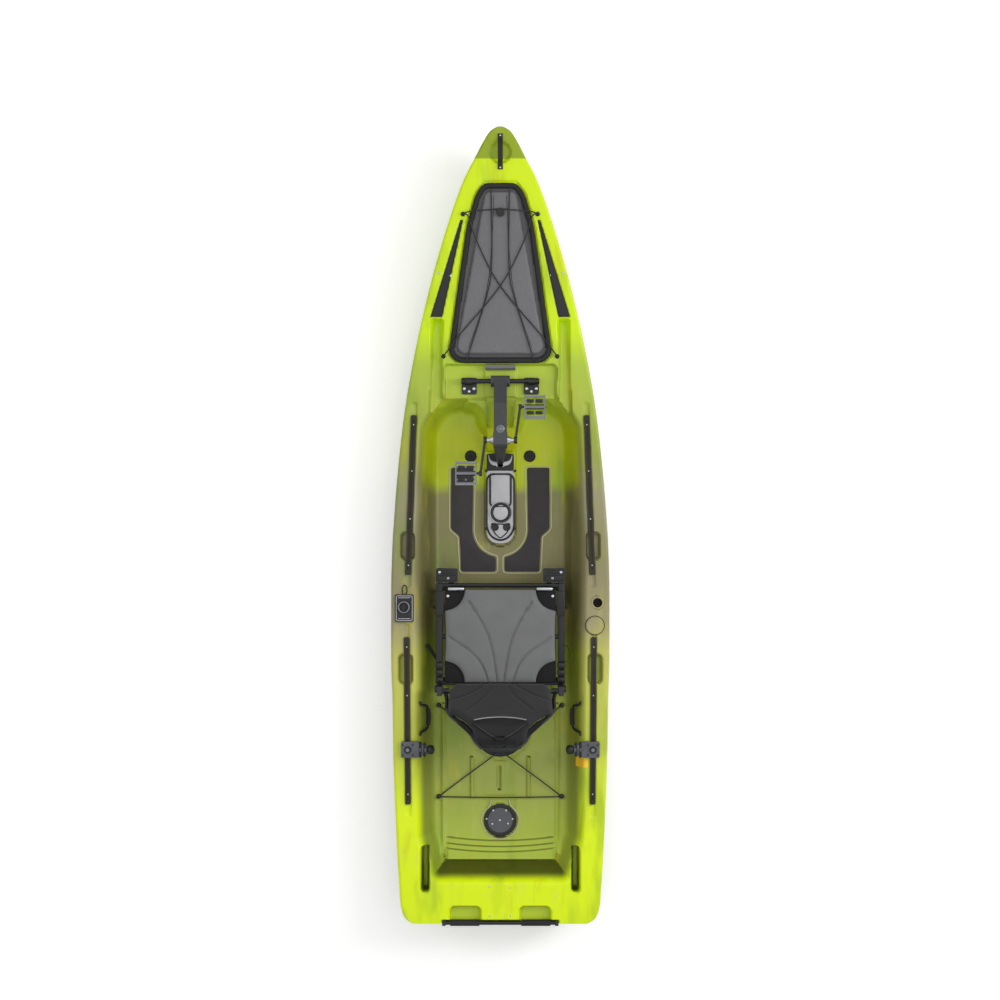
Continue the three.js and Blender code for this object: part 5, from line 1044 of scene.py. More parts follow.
@dataclass(frozen=True)
class HullMould:
    """Builds the hull's skin: deck, rolled gunwale, sides and bottom as one closed surface."""

    deck: Deck = field(default_factory=Deck)
    roll: float = 16.0
    blunt: float = 14.0
    outer: int = 24
    column: float = 8.5
    row: float = 10.0
    arcs: int = 4
    flats: tuple[float, ...] = (0, 20, 40, 62, 86, 106, 114, 128, 142, 160)
    dish: tuple[float, float, float] = (-8.0, 130.0, 46.0)
    notch: tuple[float, float, float] = (112.0, -1645.0, 138.0)
    shares: tuple[tuple[float, float, str], ...] = (
        (1.0, 0.985, "side"), (0.985, 0.9, "bilge"), (0.93, 0.78, "corner"), (0.76, 0.62, "keel"),
        (0.5, 0.52, "keel"), (0.4, 0.4, "tunnel"), (0.19, 0.24, "tunnel"), (0.1, 0.1, "keel"),
        (0.0, 0.0, "keel"),
    )
    lifts: tuple[float, ...] = (0.9, 0.78, 0.55, 0.36, 0.24, 0.16, 0.06, 0.0, 0.0)

    def stations(self) -> np.ndarray:
        """Rows along the hull, closer together where something crosses it.

        Returns:
            Y of each row from the bow aft.
        """
        _, aft, fore = self.deck.well
        rows = set(np.arange(LINES.stern, LINES.bow, self.row).tolist()) | {LINES.bow, aft, fore}
        for low, high in ((560, 640), (760, 830), (-500, -420), (-1660, -1500), (-1890, -1800), (1860, 1905)):
            rows |= set(np.arange(low, high, self.row / 2).tolist())
        kept: list[float] = []
        for y in sorted(rows, reverse=True):
            if y in (aft, fore, LINES.stern) and kept and kept[-1] - y < 3.0:
                kept.pop()
            if not kept or kept[-1] - y >= 3.0:
                kept.append(y)
        return np.array(kept)

    def side(self, y: float) -> list[Point]:
        """One side's section from under the rolled gunwale to the middle of the bottom.

        Args:
            y: The station in mm.

        Returns:
            X and Z of each point.
        """
        half = max(LINES.half(y), self.blunt)
        t = min(1.0, max(0.0, (y - LINES.fine[0]) / (LINES.fine[1] - LINES.fine[0])))
        fine = t * t * (3 - 2 * t)
        keel = LINES.keel(y)
        deck = float(LINES.sheer(y))
        levels = {
            "side": deck - self.roll, "bilge": keel + 115, "corner": keel + 34, "keel": keel,
            "tunnel": keel + 28 * (1 - fine),
        }
        line = []
        for (mid, bow, level), lift in zip(self.shares, self.lifts):
            bow_z = deck - self.roll if level == "side" else keel + (deck - keel) * lift
            line.append((half * (mid + (bow - mid) * fine), levels[level] * (1 - fine) + bow_z * fine))
        line[0] = (half, min(line[0][1], deck - self.roll))
        for _ in range(2):
            cut = [line[0]]
            for (ax, az), (bx, bz) in zip(line, line[1:]):
                cut.append((0.75 * ax + 0.25 * bx, 0.75 * az + 0.25 * bz))
                cut.append((0.25 * ax + 0.75 * bx, 0.25 * az + 0.75 * bz))
            line = [*cut[:1], *cut[2:-1], (0.0, line[-1][1])]
        scale = min(1.0, 0.36 * half / self.flats[-1])
        xs = np.array([p[0] for p in line])[::-1]
        zs = np.array([p[1] for p in line])[::-1]
        outer = np.linspace(1.0, 0.0, self.outer, endpoint=False)
        length = np.concatenate(([0.0], np.cumsum(np.hypot(np.diff(xs), np.diff(zs)))))
        start = float(np.interp(self.flats[-1] * scale, xs, length))
        picks = start + (length[-1] - start) * outer
        ring = [(float(np.interp(s, length, xs)), float(np.interp(s, length, zs))) for s in picks]
        ring += [(f * scale, float(np.interp(f * scale, xs, zs))) for f in reversed(self.flats)]
        return [self.under(x, y, z) for x, z in ring]

    def under(self, x: float, y: float, z: float) -> Point:
        """Raise the bottom into the propeller dish and the rudder notch."""
        middle, radius, top = self.dish
        reach = radius - math.hypot(x, y - middle)
        if reach > 0:
            z = max(z, top * min(1.0, reach / 10.0))
        wide, front, ceiling = self.notch
        inside = min(wide + 2 - x, front - y)
        if inside > 0:
            z = max(z, ceiling * min(1.0, inside / 8.0))
        return (x, z)

    def build(self) -> Piece:
        """Make the mesh and give its deck the exact normals of its height.

        Returns:
            The hull object.
        """
        rows = self.stations()
        near = np.arange(0.0, 400.0, self.column)
        far = np.arange(400.0, 520.0, 6.5)
        half_columns = sorted({*near.tolist(), *far.tolist(), self.deck.well[0]} - {5 * self.column})
        columns = np.array([-v for v in reversed(half_columns[1:])] + half_columns)
        wide = np.array([max(LINES.half(y), self.blunt) for y in rows])
        reach = wide - np.minimum(self.roll, 0.5 * wide)
        grid_x = np.clip(columns[None, :], -reach[:, None], reach[:, None])
        grid_y = np.repeat(rows[:, None], len(columns), axis=1)
        grid_z = self.deck.height(grid_x, grid_y)
        sides = [self.side(y) for y in rows]
        points: list[Place] = []
        normals: list[Place] = []
        first = np.argmax(grid_x > -reach[:, None], axis=1) - 1
        last = len(columns) - 1 - first
        ids = np.zeros(grid_x.shape, dtype=int)
        step = 1.0
        dx = (self.deck.height(grid_x + step, grid_y) - self.deck.height(grid_x - step, grid_y)) / (2 * step)
        dy = (self.deck.height(grid_x, grid_y + step) - self.deck.height(grid_x, grid_y - step)) / (2 * step)
        for j in range(len(rows)):
            for i in range(len(columns)):
                if first[j] <= i <= last[j]:
                    ids[j, i] = len(points)
                    points.append((float(grid_x[j, i]), float(grid_y[j, i]), float(grid_z[j, i])))
                    slope = Vector((-dx[j, i], -dy[j, i], 1.0)).normalized()
                    normals.append(tuple(slope))
                else:
                    ids[j, i] = ids[j, max(i - 1, 0)] if i > first[j] else -1
            ids[j, : first[j]] = ids[j, first[j]]
        side_ids = {
            side: self.side_points(side, rows, reach, grid_z, first, last, sides, points, normals)
            for side in Side
        }
        faces = self.faces(rows, columns, ids, side_ids, first, last)
        obj = mesh_object("hull", points, faces, HULL_PLASTIC)
        self.shade(obj, normals)
        return obj

    def side_points(
        self,
        side: Side,
        rows: np.ndarray,
        reach: np.ndarray,
        grid_z: np.ndarray,
        first: np.ndarray,
        last: np.ndarray,
        sides: list[list[Point]],
        points: list[Place],
        normals: list[Place],
    ) -> np.ndarray:
        """Add the rolled gunwale and the side's points of every row.

        Args:
            side: Port or starboard.
            rows: Y of each row.
            reach: Half-breadth of the flat deck of each row.
            grid_z: Heights of the deck grid.
            first: Leftmost deck column of each row.
            last: Rightmost deck column of each row.
            sides: Section points of each row.
            points: Vertices so far, added to.
            normals: Normals so far, with none for these.

        Returns:
            Vertex numbers by row and point.
        """
        numbers = []
        for j, y in enumerate(rows):
            edge = first[j] if side is Side.LEFT else last[j]
            z = float(grid_z[j, edge])
            half = sides[j][0][0]
            row = []
            for k in range(1, self.arcs):
                turn = 0.5 * math.pi * k / self.arcs
                x = reach[j] + (half - reach[j]) * math.sin(turn)
                drop = z - (z - sides[j][0][1]) * (1 - math.cos(turn))
                row.append(len(points))
                points.append((side.value * x, float(y), drop))
                normals.append((0.0, 0.0, 0.0))
            for x, low in sides[j]:
                row.append(len(points))
                points.append((side.value * x, float(y), min(low, z)))
                normals.append((0.0, 0.0, 0.0))
            numbers.append(row)
        return np.array(numbers)

    def faces(
        self,
        rows: np.ndarray,
        columns: np.ndarray,
        ids: np.ndarray,
        side_ids: dict[Side, np.ndarray],
        first: np.ndarray,
        last: np.ndarray,
    ) -> list[list[int]]:
        """Join the rows, leave the drive well open and close the bow and the stern.

        Args:
            rows: Y of each row.
            columns: X of each deck column.
            ids: Vertex numbers of the deck.
            side_ids: Vertex numbers of the sides.
            first: Leftmost deck column of each row.
            last: Rightmost deck column of each row.

        Returns:
            Vertex numbers of each face.
        """
        half, aft, fore = self.deck.well
        faces: list[list[int]] = []

        def add(*corners: int) -> None:
            seen = list(dict.fromkeys(int(c) for c in corners))
            if len(seen) > 2:
                faces.append(seen)

        left, right = side_ids[Side.LEFT], side_ids[Side.RIGHT]
        left = left.copy()
        left[:, -1] = right[:, -1]
        slot_column = right.shape[1] - 1 - self.flats.index(half)
        for j in range(len(rows) - 1):
            y = (rows[j] + rows[j + 1]) / 2
            open_here = aft < y < fore
            for i in range(len(columns) - 1):
                if open_here and abs(columns[i] + columns[i + 1]) / 2 < half:
                    continue
                add(ids[j, i], ids[j + 1, i], ids[j + 1, i + 1], ids[j, i + 1])
            for line, deck_edge, flip in ((left, first, True), (right, last, False)):
                edge = [ids[j, deck_edge[j]], *line[j]]
                under = [ids[j + 1, deck_edge[j + 1]], *line[j + 1]]
                for k in range(len(edge) - 1):
                    if open_here and k > slot_column:
                        continue
                    quad = (edge[k], under[k], under[k + 1], edge[k + 1])
                    add(*(reversed(quad) if flip else quad))
            if open_here:
                for line, x, flip in ((left, -half, False), (right, half, True)):
                    i = int(np.argmin(np.abs(columns - x)))
                    quad = (ids[j, i], ids[j + 1, i], line[j + 1][slot_column], line[j][slot_column])
                    add(*(reversed(quad) if flip else quad))
        lo = int(np.argmin(np.abs(columns + half)))
        hi = int(np.argmin(np.abs(columns - half)))
        for y in (fore, aft):
            j = int(np.argmin(np.abs(rows - y)))
            above = [ids[j, i] for i in range(lo, hi + 1)]
            below = [*right[j, slot_column:-1], right[j, -1], *left[j, slot_column:-1][::-1]]
            add(*above, *below)
        for j in (0, len(rows) - 1):
            ring = [ids[j, i] for i in range(first[j], last[j] + 1)]
            add(*ring, *right[j], *left[j, :-1][::-1])
        return faces

    def shade(self, obj: Piece, normals: list[Place]) -> None:
        """Set the deck's normals from its height and leave the rest to its faces.

        Args:
            obj: The hull.
            normals: One normal per vertex, all zero where the faces decide.
        """
        smooth(obj, 40.0)
        found = [Vector(v.normal) for v in obj.data.vertices]
        chosen = [Vector(n) if any(n) else f for n, f in zip(normals, found)]
        obj.data.normals_split_custom_set_from_vertices([tuple(n) for n in chosen])


def at_photo(px: float, py: float) -> Point:
    """X and Y in mm on the gunwale's level that the photograph shows at a pixel."""
    return ((px - MIDDLE_PIXEL[0]) * PIXEL, (MIDDLE_PIXEL[1] - py) * PIXEL)


def rounded(outline: Sequence[Point], radius: float, steps: int = 6) -> list[Point]:
    """Round the corners of a plan outline.

    Args:
        outline: Its corners.
        radius: How far from each corner the rounding starts, in mm.
        steps: Straight parts in each rounded corner.

    Returns:
        The rounded outline.
    """
    result: list[Point] = []
    for i, corner in enumerate(outline):
        here = Vector(corner)
        before = Vector(outline[i - 1]) - here
        after = Vector(outline[(i + 1) % len(outline)]) - here
        reach = min(radius, 0.49 * before.length, 0.49 * after.length)
        start = here + before.normalized() * reach
        end = here + after.normalized() * reach
        for k in range(steps + 1):
            t = k / steps
            point = start * (1 - t) ** 2 + here * (2 * t * (1 - t)) + end * t**2
            result.append((point.x, point.y))
    return result


def curve(points: Sequence[Sequence[float]], steps: int = 8) -> list[Place]:
    """Smooth line through points, by Catmull and Rom's rule.

    Args:
        points: Points that it passes through, in mm.
        steps: Parts between two of them.

    Returns:
        Points along the line.
    """
    line = [Vector(p).to_3d() for p in points]
    ends = [2 * line[0] - line[1], *line, 2 * line[-1] - line[-2]]
    result = []
    for i in range(1, len(ends) - 2):
        a, b, c, d = ends[i - 1 : i + 3]
        for k in range(steps):
            t = k / steps
            point = 2 * b + (c - a) * t + (2 * a - 5 * b + 4 * c - d) * t**2
            result.append(tuple(0.5 * (point + (3 * b - a - 3 * c + d) * t**3)))
    return [*result, tuple(line[-1])]


def line_distance(x: np.ndarray, y: np.ndarray, line: Sequence[Sequence[float]]) -> np.ndarray:
    """Distance from each place to an open line.

    Args:
        x: X of each place in mm.
        y: Y of each place in mm.
        line: Points of the line.

    Returns:
        The distances in mm.
    """
    near = np.full(np.shape(x), np.inf)
    for a, b in zip(line, line[1:]):
        ex, ey = b[0] - a[0], b[1] - a[1]
        along = np.clip(((x - a[0]) * ex + (y - a[1]) * ey) / max(ex * ex + ey * ey, 1e-9), 0.0, 1.0)
        near = np.minimum(near, np.hypot(x - a[0] - along * ex, y - a[1] - along * ey))
    return near


@dataclass
class Shape:
    """Closed forms gathered into one mesh, in millimetres."""

    points: list[Place] = field(default_factory=list)
    faces: list[list[int]] = field(default_factory=list)

    def loft(self, rings: Sequence[Sequence[Place]], closed: bool = True) -> "Shape":
        """Join rings of equal count, with a face on both ends.

        Args:
            rings: Rings in order.
            closed: Whether the ends are closed.

        Returns:
            This shape.
        """
        start = len(self.points)
        count = len(rings[0])
        for ring in rings:
            self.points += [tuple(p) for p in ring]
        for j in range(len(rings) - 1):
            low = start + j * count
            for i in range(count):
                k = (i + 1) % count
                self.faces.append([low + i, low + k, low + count + k, low + count + i])
        if closed:
            self.faces.append([start + i for i in reversed(range(count))])
            self.faces.append([start + (len(rings) - 1) * count + i for i in range(count)])
        return self

    def prism(self, outline: Sequence[Point], z0: float, z1: float, edge: float = 1.0) -> "Shape":
        """Upright prism with its upper edge broken.

        Args:
            outline: Plan outline, anticlockwise or not.
            z0: Its foot.
            z1: Its top.
            edge: Width of the broken edge in mm.

        Returns:
            This shape.
        """
        inner = shifted(outline, -edge)
        return self.loft(
            [
                [(x, y, z0) for x, y in outline],
                [(x, y, z1 - edge) for x, y in outline],
                [(x, y, z1 - 0.3 * edge) for x, y in shifted(outline, -0.3 * edge)],
                [(x, y, z1) for x, y in inner],
            ]
        )

    def lathe(self, profile: Sequence[Point], centre: Place, sides: int = 28, axis: Axis = Axis.Z) -> "Shape":
        """Turn a profile of radius and height round an axis through a centre.

        Args:
            profile: Radius and height of each point.
            centre: Where the axis meets height nought.
            sides: Facets round it.
            axis: Direction of the axis.

        Returns:
            This shape.
        """
        rings = []
        for radius, height in profile:
            ring = []
            for i in range(sides):
                turn = 2 * math.pi * i / sides
                a, b = max(radius, 0.01) * math.cos(turn), max(radius, 0.01) * math.sin(turn)
                offset = {Axis.Z: (a, b, height), Axis.X: (height, a, b), Axis.Y: (a, height, b)}[axis]
                ring.append(tuple(c + o for c, o in zip(centre, offset)))
            rings.append(ring)
        return self.loft(rings)

    def ring(self, inner: float, outer: float, rise: float, centre: Place, sides: int = 40) -> "Shape":
        """Flat ring with a rounded top, lying on a level.

        Args:
            inner: Inner radius.
            outer: Outer radius.
            rise: How high it stands.
            centre: Its middle, on the level that it lies on.
            sides: Facets round it.

        Returns:
            This shape.
        """
        edge = min(rise, 0.3 * (outer - inner))
        dip = 0.3 * edge
        profile = [
            (inner, 0), (outer, 0), (outer, rise - edge), (outer - dip, rise - dip), (outer - edge, rise),
            (inner + edge, rise), (inner + dip, rise - dip), (inner, rise - edge),
        ]
        x, y, z = centre
        start = len(self.points)
        for radius, height in profile:
            for i in range(sides):
                turn = 2 * math.pi * i / sides
                self.points.append((x + radius * math.cos(turn), y + radius * math.sin(turn), z + height))
        count = len(profile)
        for j in range(count):
            for i in range(sides):
                a, b = start + j * sides, start + ((j + 1) % count) * sides
                k = (i + 1) % sides
                self.faces.append([a + i, a + k, b + k, b + i])
        return self

    def tube(self, path: Sequence[Sequence[float]], radius: float, sides: int = 10) -> "Shape":
        """Round bar along a path.

        Args:
            path: Points along its middle.
            radius: Its radius in mm.
            sides: Facets round it.

        Returns:
            This shape.
        """
        line = [Vector(p) for p in path]
        rings = []
        side = None
        for i, point in enumerate(line):
            ahead = (line[min(i + 1, len(line) - 1)] - line[max(i - 1, 0)]).normalized()
            if side is None:
                side = ahead.orthogonal().normalized()
            side = (side - ahead * side.dot(ahead)).normalized()
            other = ahead.cross(side)
            turns = [2 * math.pi * k / sides for k in range(sides)]
            rings.append([tuple(point + (side * math.cos(t) + other * math.sin(t)) * radius) for t in turns])
        return self.loft(rings)

    def ribbon(self, path: Sequence[Place], width: Place, thick: float = 1.6) -> "Shape":
        """Flat strap along a path.

        Args:
            path: Points along its middle.
            width: Half of its width, as a direction with that length.
            thick: How thick it is in mm.

        Returns:
            This shape.
        """
        half = Vector(width)
        line = [Vector(p) for p in path]
        rings = []
        for i, point in enumerate(line):
            ahead = line[min(i + 1, len(line) - 1)] - line[max(i - 1, 0)]
            up = half.cross(ahead).normalized() * (thick / 2)
            corners = (point - half - up, point + half - up, point + half + up, point - half + up)
            rings.append([tuple(corner) for corner in corners])
        return self.loft(rings)

    def bar(
        self, radius: float, half: float, centre: Place, chamfer: float = 3.0, sides: int = 22
    ) -> "Shape":
        """Add a round bar across the boat, of half a given length, with both ends chamfered."""
        end = [(0, half), (radius - 2, half), (radius, half - chamfer)]
        return self.lathe([(r, -h) for r, h in end] + end[::-1], centre, sides, Axis.X)

    def tilted(self) -> "Shape":
        """Lay this shape, made flat at height nought, onto the rising fore deck."""
        self.points = [on_deck(*point) for point in self.points]
        return self

    def piece(self, name: str, finish: Finish, body: str, slot: str, replaces: Sequence[str] = ()) -> None:
        """Make the named mesh object of a finish and hand it over, as finished says."""
        finished(smooth(mesh_object(name, self.points, self.faces, finish), EDGE), body, replaces)


def level_of(node: Piece, x: float, y: float, default: float) -> float:
    """Height of a CAD node's upper surface at a place, or the default where it has none."""
    hit, place, _, _ = node.ray_cast(Vector((x * MM, y * MM, 2.0)), Vector((0.0, 0.0, -1.0)))
    return place.z / MM if hit else default


def screw(shape: Shape, x: float, y: float, z: float, radius: float = 5.5) -> None:
    """Add a pan-head screw with a hexagon socket, pointing up.

    Args:
        shape: Shape that it is added to.
        x: X of its middle.
        y: Y of its middle.
        z: Level that it sits on.
        radius: Radius of its head.
    """
    rise = 0.45 * radius
    profile = [
        (radius, -0.6), (radius, 0.4 * rise), (0.9 * radius, 0.8 * rise), (0.72 * radius, rise),
        (0.45 * radius, rise), (0.4 * radius, 0.35 * rise), (0.0, 0.3 * rise),
    ]
    shape.lathe(profile, (x, y, z), 18)


@dataclass(frozen=True)
class ForeDeckFittings:
    """Hooks of the shock cords, and the screws of the bow handle and the deck inserts."""

    screws: tuple[Point, ...] = ((-289.7, 1219), (-236, 1205), (242, 1207), (298, 1218))
    handle_screws: tuple[float, ...] = (1862.0, 1712.0)

    def build(self) -> None:
        """Make the pieces."""
        hooks = Shape()
        for x, y in BOW_EYES:
            for side in Side:
                hooks.lathe([(11, -1), (11, 2), (9, 3.6), (5, 4.2), (0, 4.2)], (side.value * x, y, 0), 20)
        hooks.tilted().piece("deck_hooks", NYLON, "hull", "black_plastic")
        heads = Shape()
        for x, y in self.screws:
            screw(heads, x, y, 0.0, 6.0)
        heads.tilted().piece("insert_screws", STAINLESS, "hull", "bright_steel")
        ends = Shape()
        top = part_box("bow_handle")[1].z / MM
        for y in self.handle_screws:
            screw(ends, 0.0, y, level_of(bpy.data.objects["bow_handle"], 0.0, y, top), 4.5)
        ends.piece("bow_handle_screws", STAINLESS, "hull", "bright_steel")


def double_skin(
    name: str, x: np.ndarray, y: np.ndarray, top: np.ndarray, under: np.ndarray, finish: Finish
) -> Piece:
    """Close a grid's upper and lower surface, which meet at its border, into one body.

    Args:
        name: Name of the piece.
        x: X of each grid point in mm.
        y: Y of each grid point.
        top: Z of the upper surface.
        under: Z of the lower surface.
        finish: What it is made of.

    Returns:
        The object.
    """
    rows, columns = x.shape
    points: list[Place] = []
    for z in (top, under):
        points += [(float(a), float(b), float(c)) for a, b, c in zip(x.ravel(), y.ravel(), z.ravel())]
    faces: list[list[int]] = []
    for j in range(rows - 1):
        for i in range(columns - 1):
            a = j * columns + i
            quad = [a, a + 1, a + 1 + columns, a + columns]
            faces.append(quad)
            faces.append([rows * columns + q for q in reversed(quad)])
    obj = mesh_object(name, points, faces, finish)
    work = bmesh.new()
    work.from_mesh(obj.data)
    bmesh.ops.remove_doubles(work, verts=work.verts, dist=0.02 * MM)
    work.to_mesh(obj.data)
    work.free()
    return smooth(obj, 60.0)


def eased(count: int) -> np.ndarray:
    """Shares from -1 to 1, closer together at both ends."""
    return np.sin(np.pi * (np.arange(count) / (count - 1) - 0.5))


def spread_over(widths: np.ndarray, ys: np.ndarray, columns: int) -> tuple[np.ndarray, np.ndarray]:
    """X and Y of a grid that fills rows of given half-widths, closer along its border."""
    return widths[:, None] * eased(columns)[None, :], np.repeat(ys[:, None], columns, axis=1)


def face_centres(obj: Piece) -> np.ndarray:
    """Middle of each face in mm."""
    return np.array([polygon.center for polygon in obj.data.polygons]) / MM


def move_all(obj: Piece, rule: Callable[[float, float, float], Place]) -> None:
    """Put every vertex where a rule, in mm, sends it."""
    for vertex in obj.data.vertices:
        vertex.co = Vector(rule(*(v / MM for v in vertex.co))) * MM


@dataclass(frozen=True)
class Lid:
    """Fore hatch lid: a rolled rim and a pressed trough painted dark and grey as shade, and a raised centre
    panel.
    """

    rim: float = 13.0
    skirt: float = -4.0
    trough: float = -4.0
    rows: int = 220
    columns: int = 90
    panel: float = 9.0
    facet: tuple[tuple[float, float, float], ...] = ((70.0, 1600.0, 24.0), (212.0, 836.0, 40.0))
    lines: tuple[Point, ...] = ((30, 1585), (44, 1300), (74, 1090), (150, 862))
    seam: float = 1.4

    def build(self) -> None:
        """Make the lid in the deck's plane and tilt it onto the deck."""
        line = rounded(shifted(HATCH_OUTLINE, -3.8), 30)
        right = sorted((p for p in line if p[0] > 0), key=lambda p: p[1])
        at = np.array([p[1] for p in right])
        wide = np.array([p[0] for p in right])
        low, high = float(at[0]), float(at[-1])
        ys = (low + high) / 2 + (high - low) / 2 * eased(self.rows)
        x, y = spread_over(np.interp(ys, at, wide), ys, self.columns)
        inside = np.maximum(inside_distance(x, y, line, 0.0), 0.0)
        centre = filleted(both(self.facet))
        facet = inside_distance(x, y, centre, 0.0)
        edge = np.sqrt(1 - (1 - np.clip(inside / 8.0, 0, 1)) ** 2)
        top = self.skirt + (self.rim - self.skirt) * edge
        top -= (self.rim - self.trough) * ramp(inside - 21.0, 12.0, 4.0, 4.0)
        top += (self.panel - self.trough) * ramp(facet + 8.0, 12.0, 4.0, 3.0)
        under = top - 3.0 * np.clip(inside / 8.0, 0, 1)
        obj = double_skin("fore_hatch_lid", x, y, top, under, LID_PLASTIC)
        obj.data.materials.append(LID_PAINTED_SHADE.build())
        obj.data.materials.append(LID_TROUGH_SHADE.build())
        middles = face_centres(obj)
        inwards = inside_distance(middles[:, 0], middles[:, 1], line, 0.0)
        panel = inside_distance(middles[:, 0], middles[:, 1], centre, 0.0)
        # Painted shade: the rolled rim takes the nearly black copy of the lid's plastic, the trough the grey
        # one
        zone = np.where(inwards < 27.0, 1, np.where(panel < -2.0, 2, 0))
        obj.data.polygons.foreach_set("material_index", zone.astype(int))
        move_all(obj, on_deck)
        obj.data.update()
        finished(obj, "fore_hatch", ["hatch_lid"])
        # Dark lines along the centre panel, just inside the long cords, in the nearly black copy of the lid's
        # plastic
        lines = Shape()
        for sign in (-1, 1):
            route = [(sign * x, y, self.panel - 0.2) for x, y in self.lines]
            lines.tube(curve(route, 4), self.seam, 6)
        lines.tilted().piece("lid_panel_lines", LID_PAINTED_SHADE, "fore_hatch", "lid_plastic")


@dataclass(frozen=True)
class RailBolts:
    """Bolts that hold the four gear rails down."""

    share: tuple[float, ...] = (0.06, 0.35, 0.65, 0.94)
    head: float = 4.2

    def build(self, nodes: dict[str, Piece]) -> None:
        """Make one set of bolts per side.

        Args:
            nodes: CAD nodes by name.
        """
        for side in Side:
            bolts = Shape()
            for name, ((_, y0), (_, y1)) in RAILS.items():
                node = nodes[f"gear_rail_{name}_{side.label}"]
                for share in self.share:
                    y = y0 + (y1 - y0) * share
                    x = side.value * rail_x(name, y)
                    screw(bolts, x, y, level_of(node, x, y, LINES.gunwale), self.head)
            bolts.piece(f"rail_bolts_{side.label}", STAINLESS, "hull", "bright_steel")


@dataclass(frozen=True)
class WellCoverTrim:
    """What is moulded and screwed onto the light grey cover of the drive well."""

    ring_y: float = 75.0
    ring: Point = (36.0, 53.0)
    ties: tuple[Point, ...] = ((-73, 278), (77, 278), (-73, -3), (74, -3))

    def build(self, nodes: dict[str, Piece]) -> None:
        """Make the black seam, the ring, the vee and the tie ends.

        Args:
            nodes: CAD nodes by name.
        """
        cover = nodes["well_cover"]
        top = level_of(cover, 0.0, 200.0, 160.0)
        seam = rounded([(-50, 262), (52, 262), (52, 118), (40, 104), (-38, 104), (-50, 118)], 10)
        path = [(x, y, top + 0.4) for x, y in seam]
        black = Shape().tube([*path, path[0], path[1]], 4.2, 8)
        outer = rounded([(-66, 262), (-66, 0), (-44, -44), (0, -64), (46, -44), (68, 0), (68, 262)], 40)
        rim = [(x, y, level_of(cover, x * 0.93, y * 0.96, top) + 0.3) for x, y in outer]
        black.tube([*rim], 5.0, 8)
        black.ring(*self.ring, 6.0, (2.0, self.ring_y, top))
        for x in (-26.0, 31.0):
            black.lathe([(19, -1), (19, 3.4), (17, 4.2), (12, 2.4), (0, 2.0)], (x, 4.0, top), 26)
        black.piece("well_cover_seam", NYLON, "well_lid", "black_plastic")
        vee = [(-44, 24), (-20, 16), (0, 20), (24, 16), (48, 24), (34, -22), (0, -52), (-30, -22)]
        vee = rounded(vee, 12)
        pale = Shape().prism(vee, top - 1.0, top + 1.6, 1.0)
        edge = Shape().tube([*[(x, y, top + 1.0) for x, y in vee], (*vee[0], top + 1.0)], 3.0, 8)
        edge.piece("well_cover_vee_edge", NYLON, "well_lid", "black_plastic")
        pale.prism(rounded(box_outline(-42, 44, 126, 254), 10), top - 1.0, top + 1.2, 1.0)
        pale.lathe([(35, -1), (35, 2.4), (33, 3.4), (8, 3.6), (0, 3.2)], (2.0, self.ring_y, top), 36)
        pale.piece("well_cover_panel", GREY_ABS, "well_lid", "cover_plastic")
        ends = Shape()
        for x, y in self.ties:
            ends.lathe([(5, -3), (7, 0), (7, 4), (5, 6.5), (0, 7)], (x * 0.93, y, top), 16)
        ends.piece("well_cover_ties", RUBBER, "well_lid", "rubber_grip")


@dataclass(frozen=True)
class FootMats:
    """Foam mats with rounded corners, each inside a thin bead moulded into the floor and painted pale as a
    highlight.
    """

    corner: float = 20.0
    gap: float = 9.0
    radius: float = 3.0
    floor: float = 125.4
    top: float = 129.6

    def outline(self, node: Piece) -> list[Point]:
        """Read the upper edge of a mat.

        Args:
            node: The mat's CAD node.

        Returns:
            Its plan outline in mm.
        """
        work = bmesh.new()
        work.from_mesh(node.data)
        bmesh.ops.remove_doubles(work, verts=work.verts, dist=0.01 * MM)
        top = max(v.co.z for v in work.verts)
        lids = {f for f in work.faces if all(v.co.z > top - 0.1 * MM for v in f.verts)}
        links: dict[int, list[int]] = {}
        for edge in work.edges:
            if sum(f in lids for f in edge.link_faces) == 1:
                a, b = (v.index for v in edge.verts)
                links.setdefault(a, []).append(b)
                links.setdefault(b, []).append(a)
        work.verts.ensure_lookup_table()
        loop = [min(links)]
        while True:
            ahead = [n for n in links[loop[-1]] if n not in loop]
            if not ahead:
                break
            loop.append(ahead[0])
        result = [(work.verts[i].co.x / MM, work.verts[i].co.y / MM) for i in loop]
        work.free()
        return result

    def build(self, nodes: dict[str, Piece]) -> None:
        """Make the mats and their beads.

        Args:
            nodes: CAD nodes by name.
        """
        for side in Side:
            name = f"foot_mat_{side.label}"
            outline = self.outline(nodes[name])
            mat = Shape().prism(rounded(outline, self.corner), self.floor, self.top)
            mat.piece(f"eva_mat_{side.label}", EVA, "hull", "foam_mat", [name])
            # The bead is painted pale, a painted highlight along it
            line = rounded(shifted(outline, self.gap), self.corner + self.gap)
            path = [(x, y, self.floor) for x, y in line]
            bead = Shape().tube([*path, path[0], path[1]], self.radius, 8)
            bead.piece(f"mat_bead_{side.label}", HIGHLIT_BEAD, "hull", "hull_plastic")


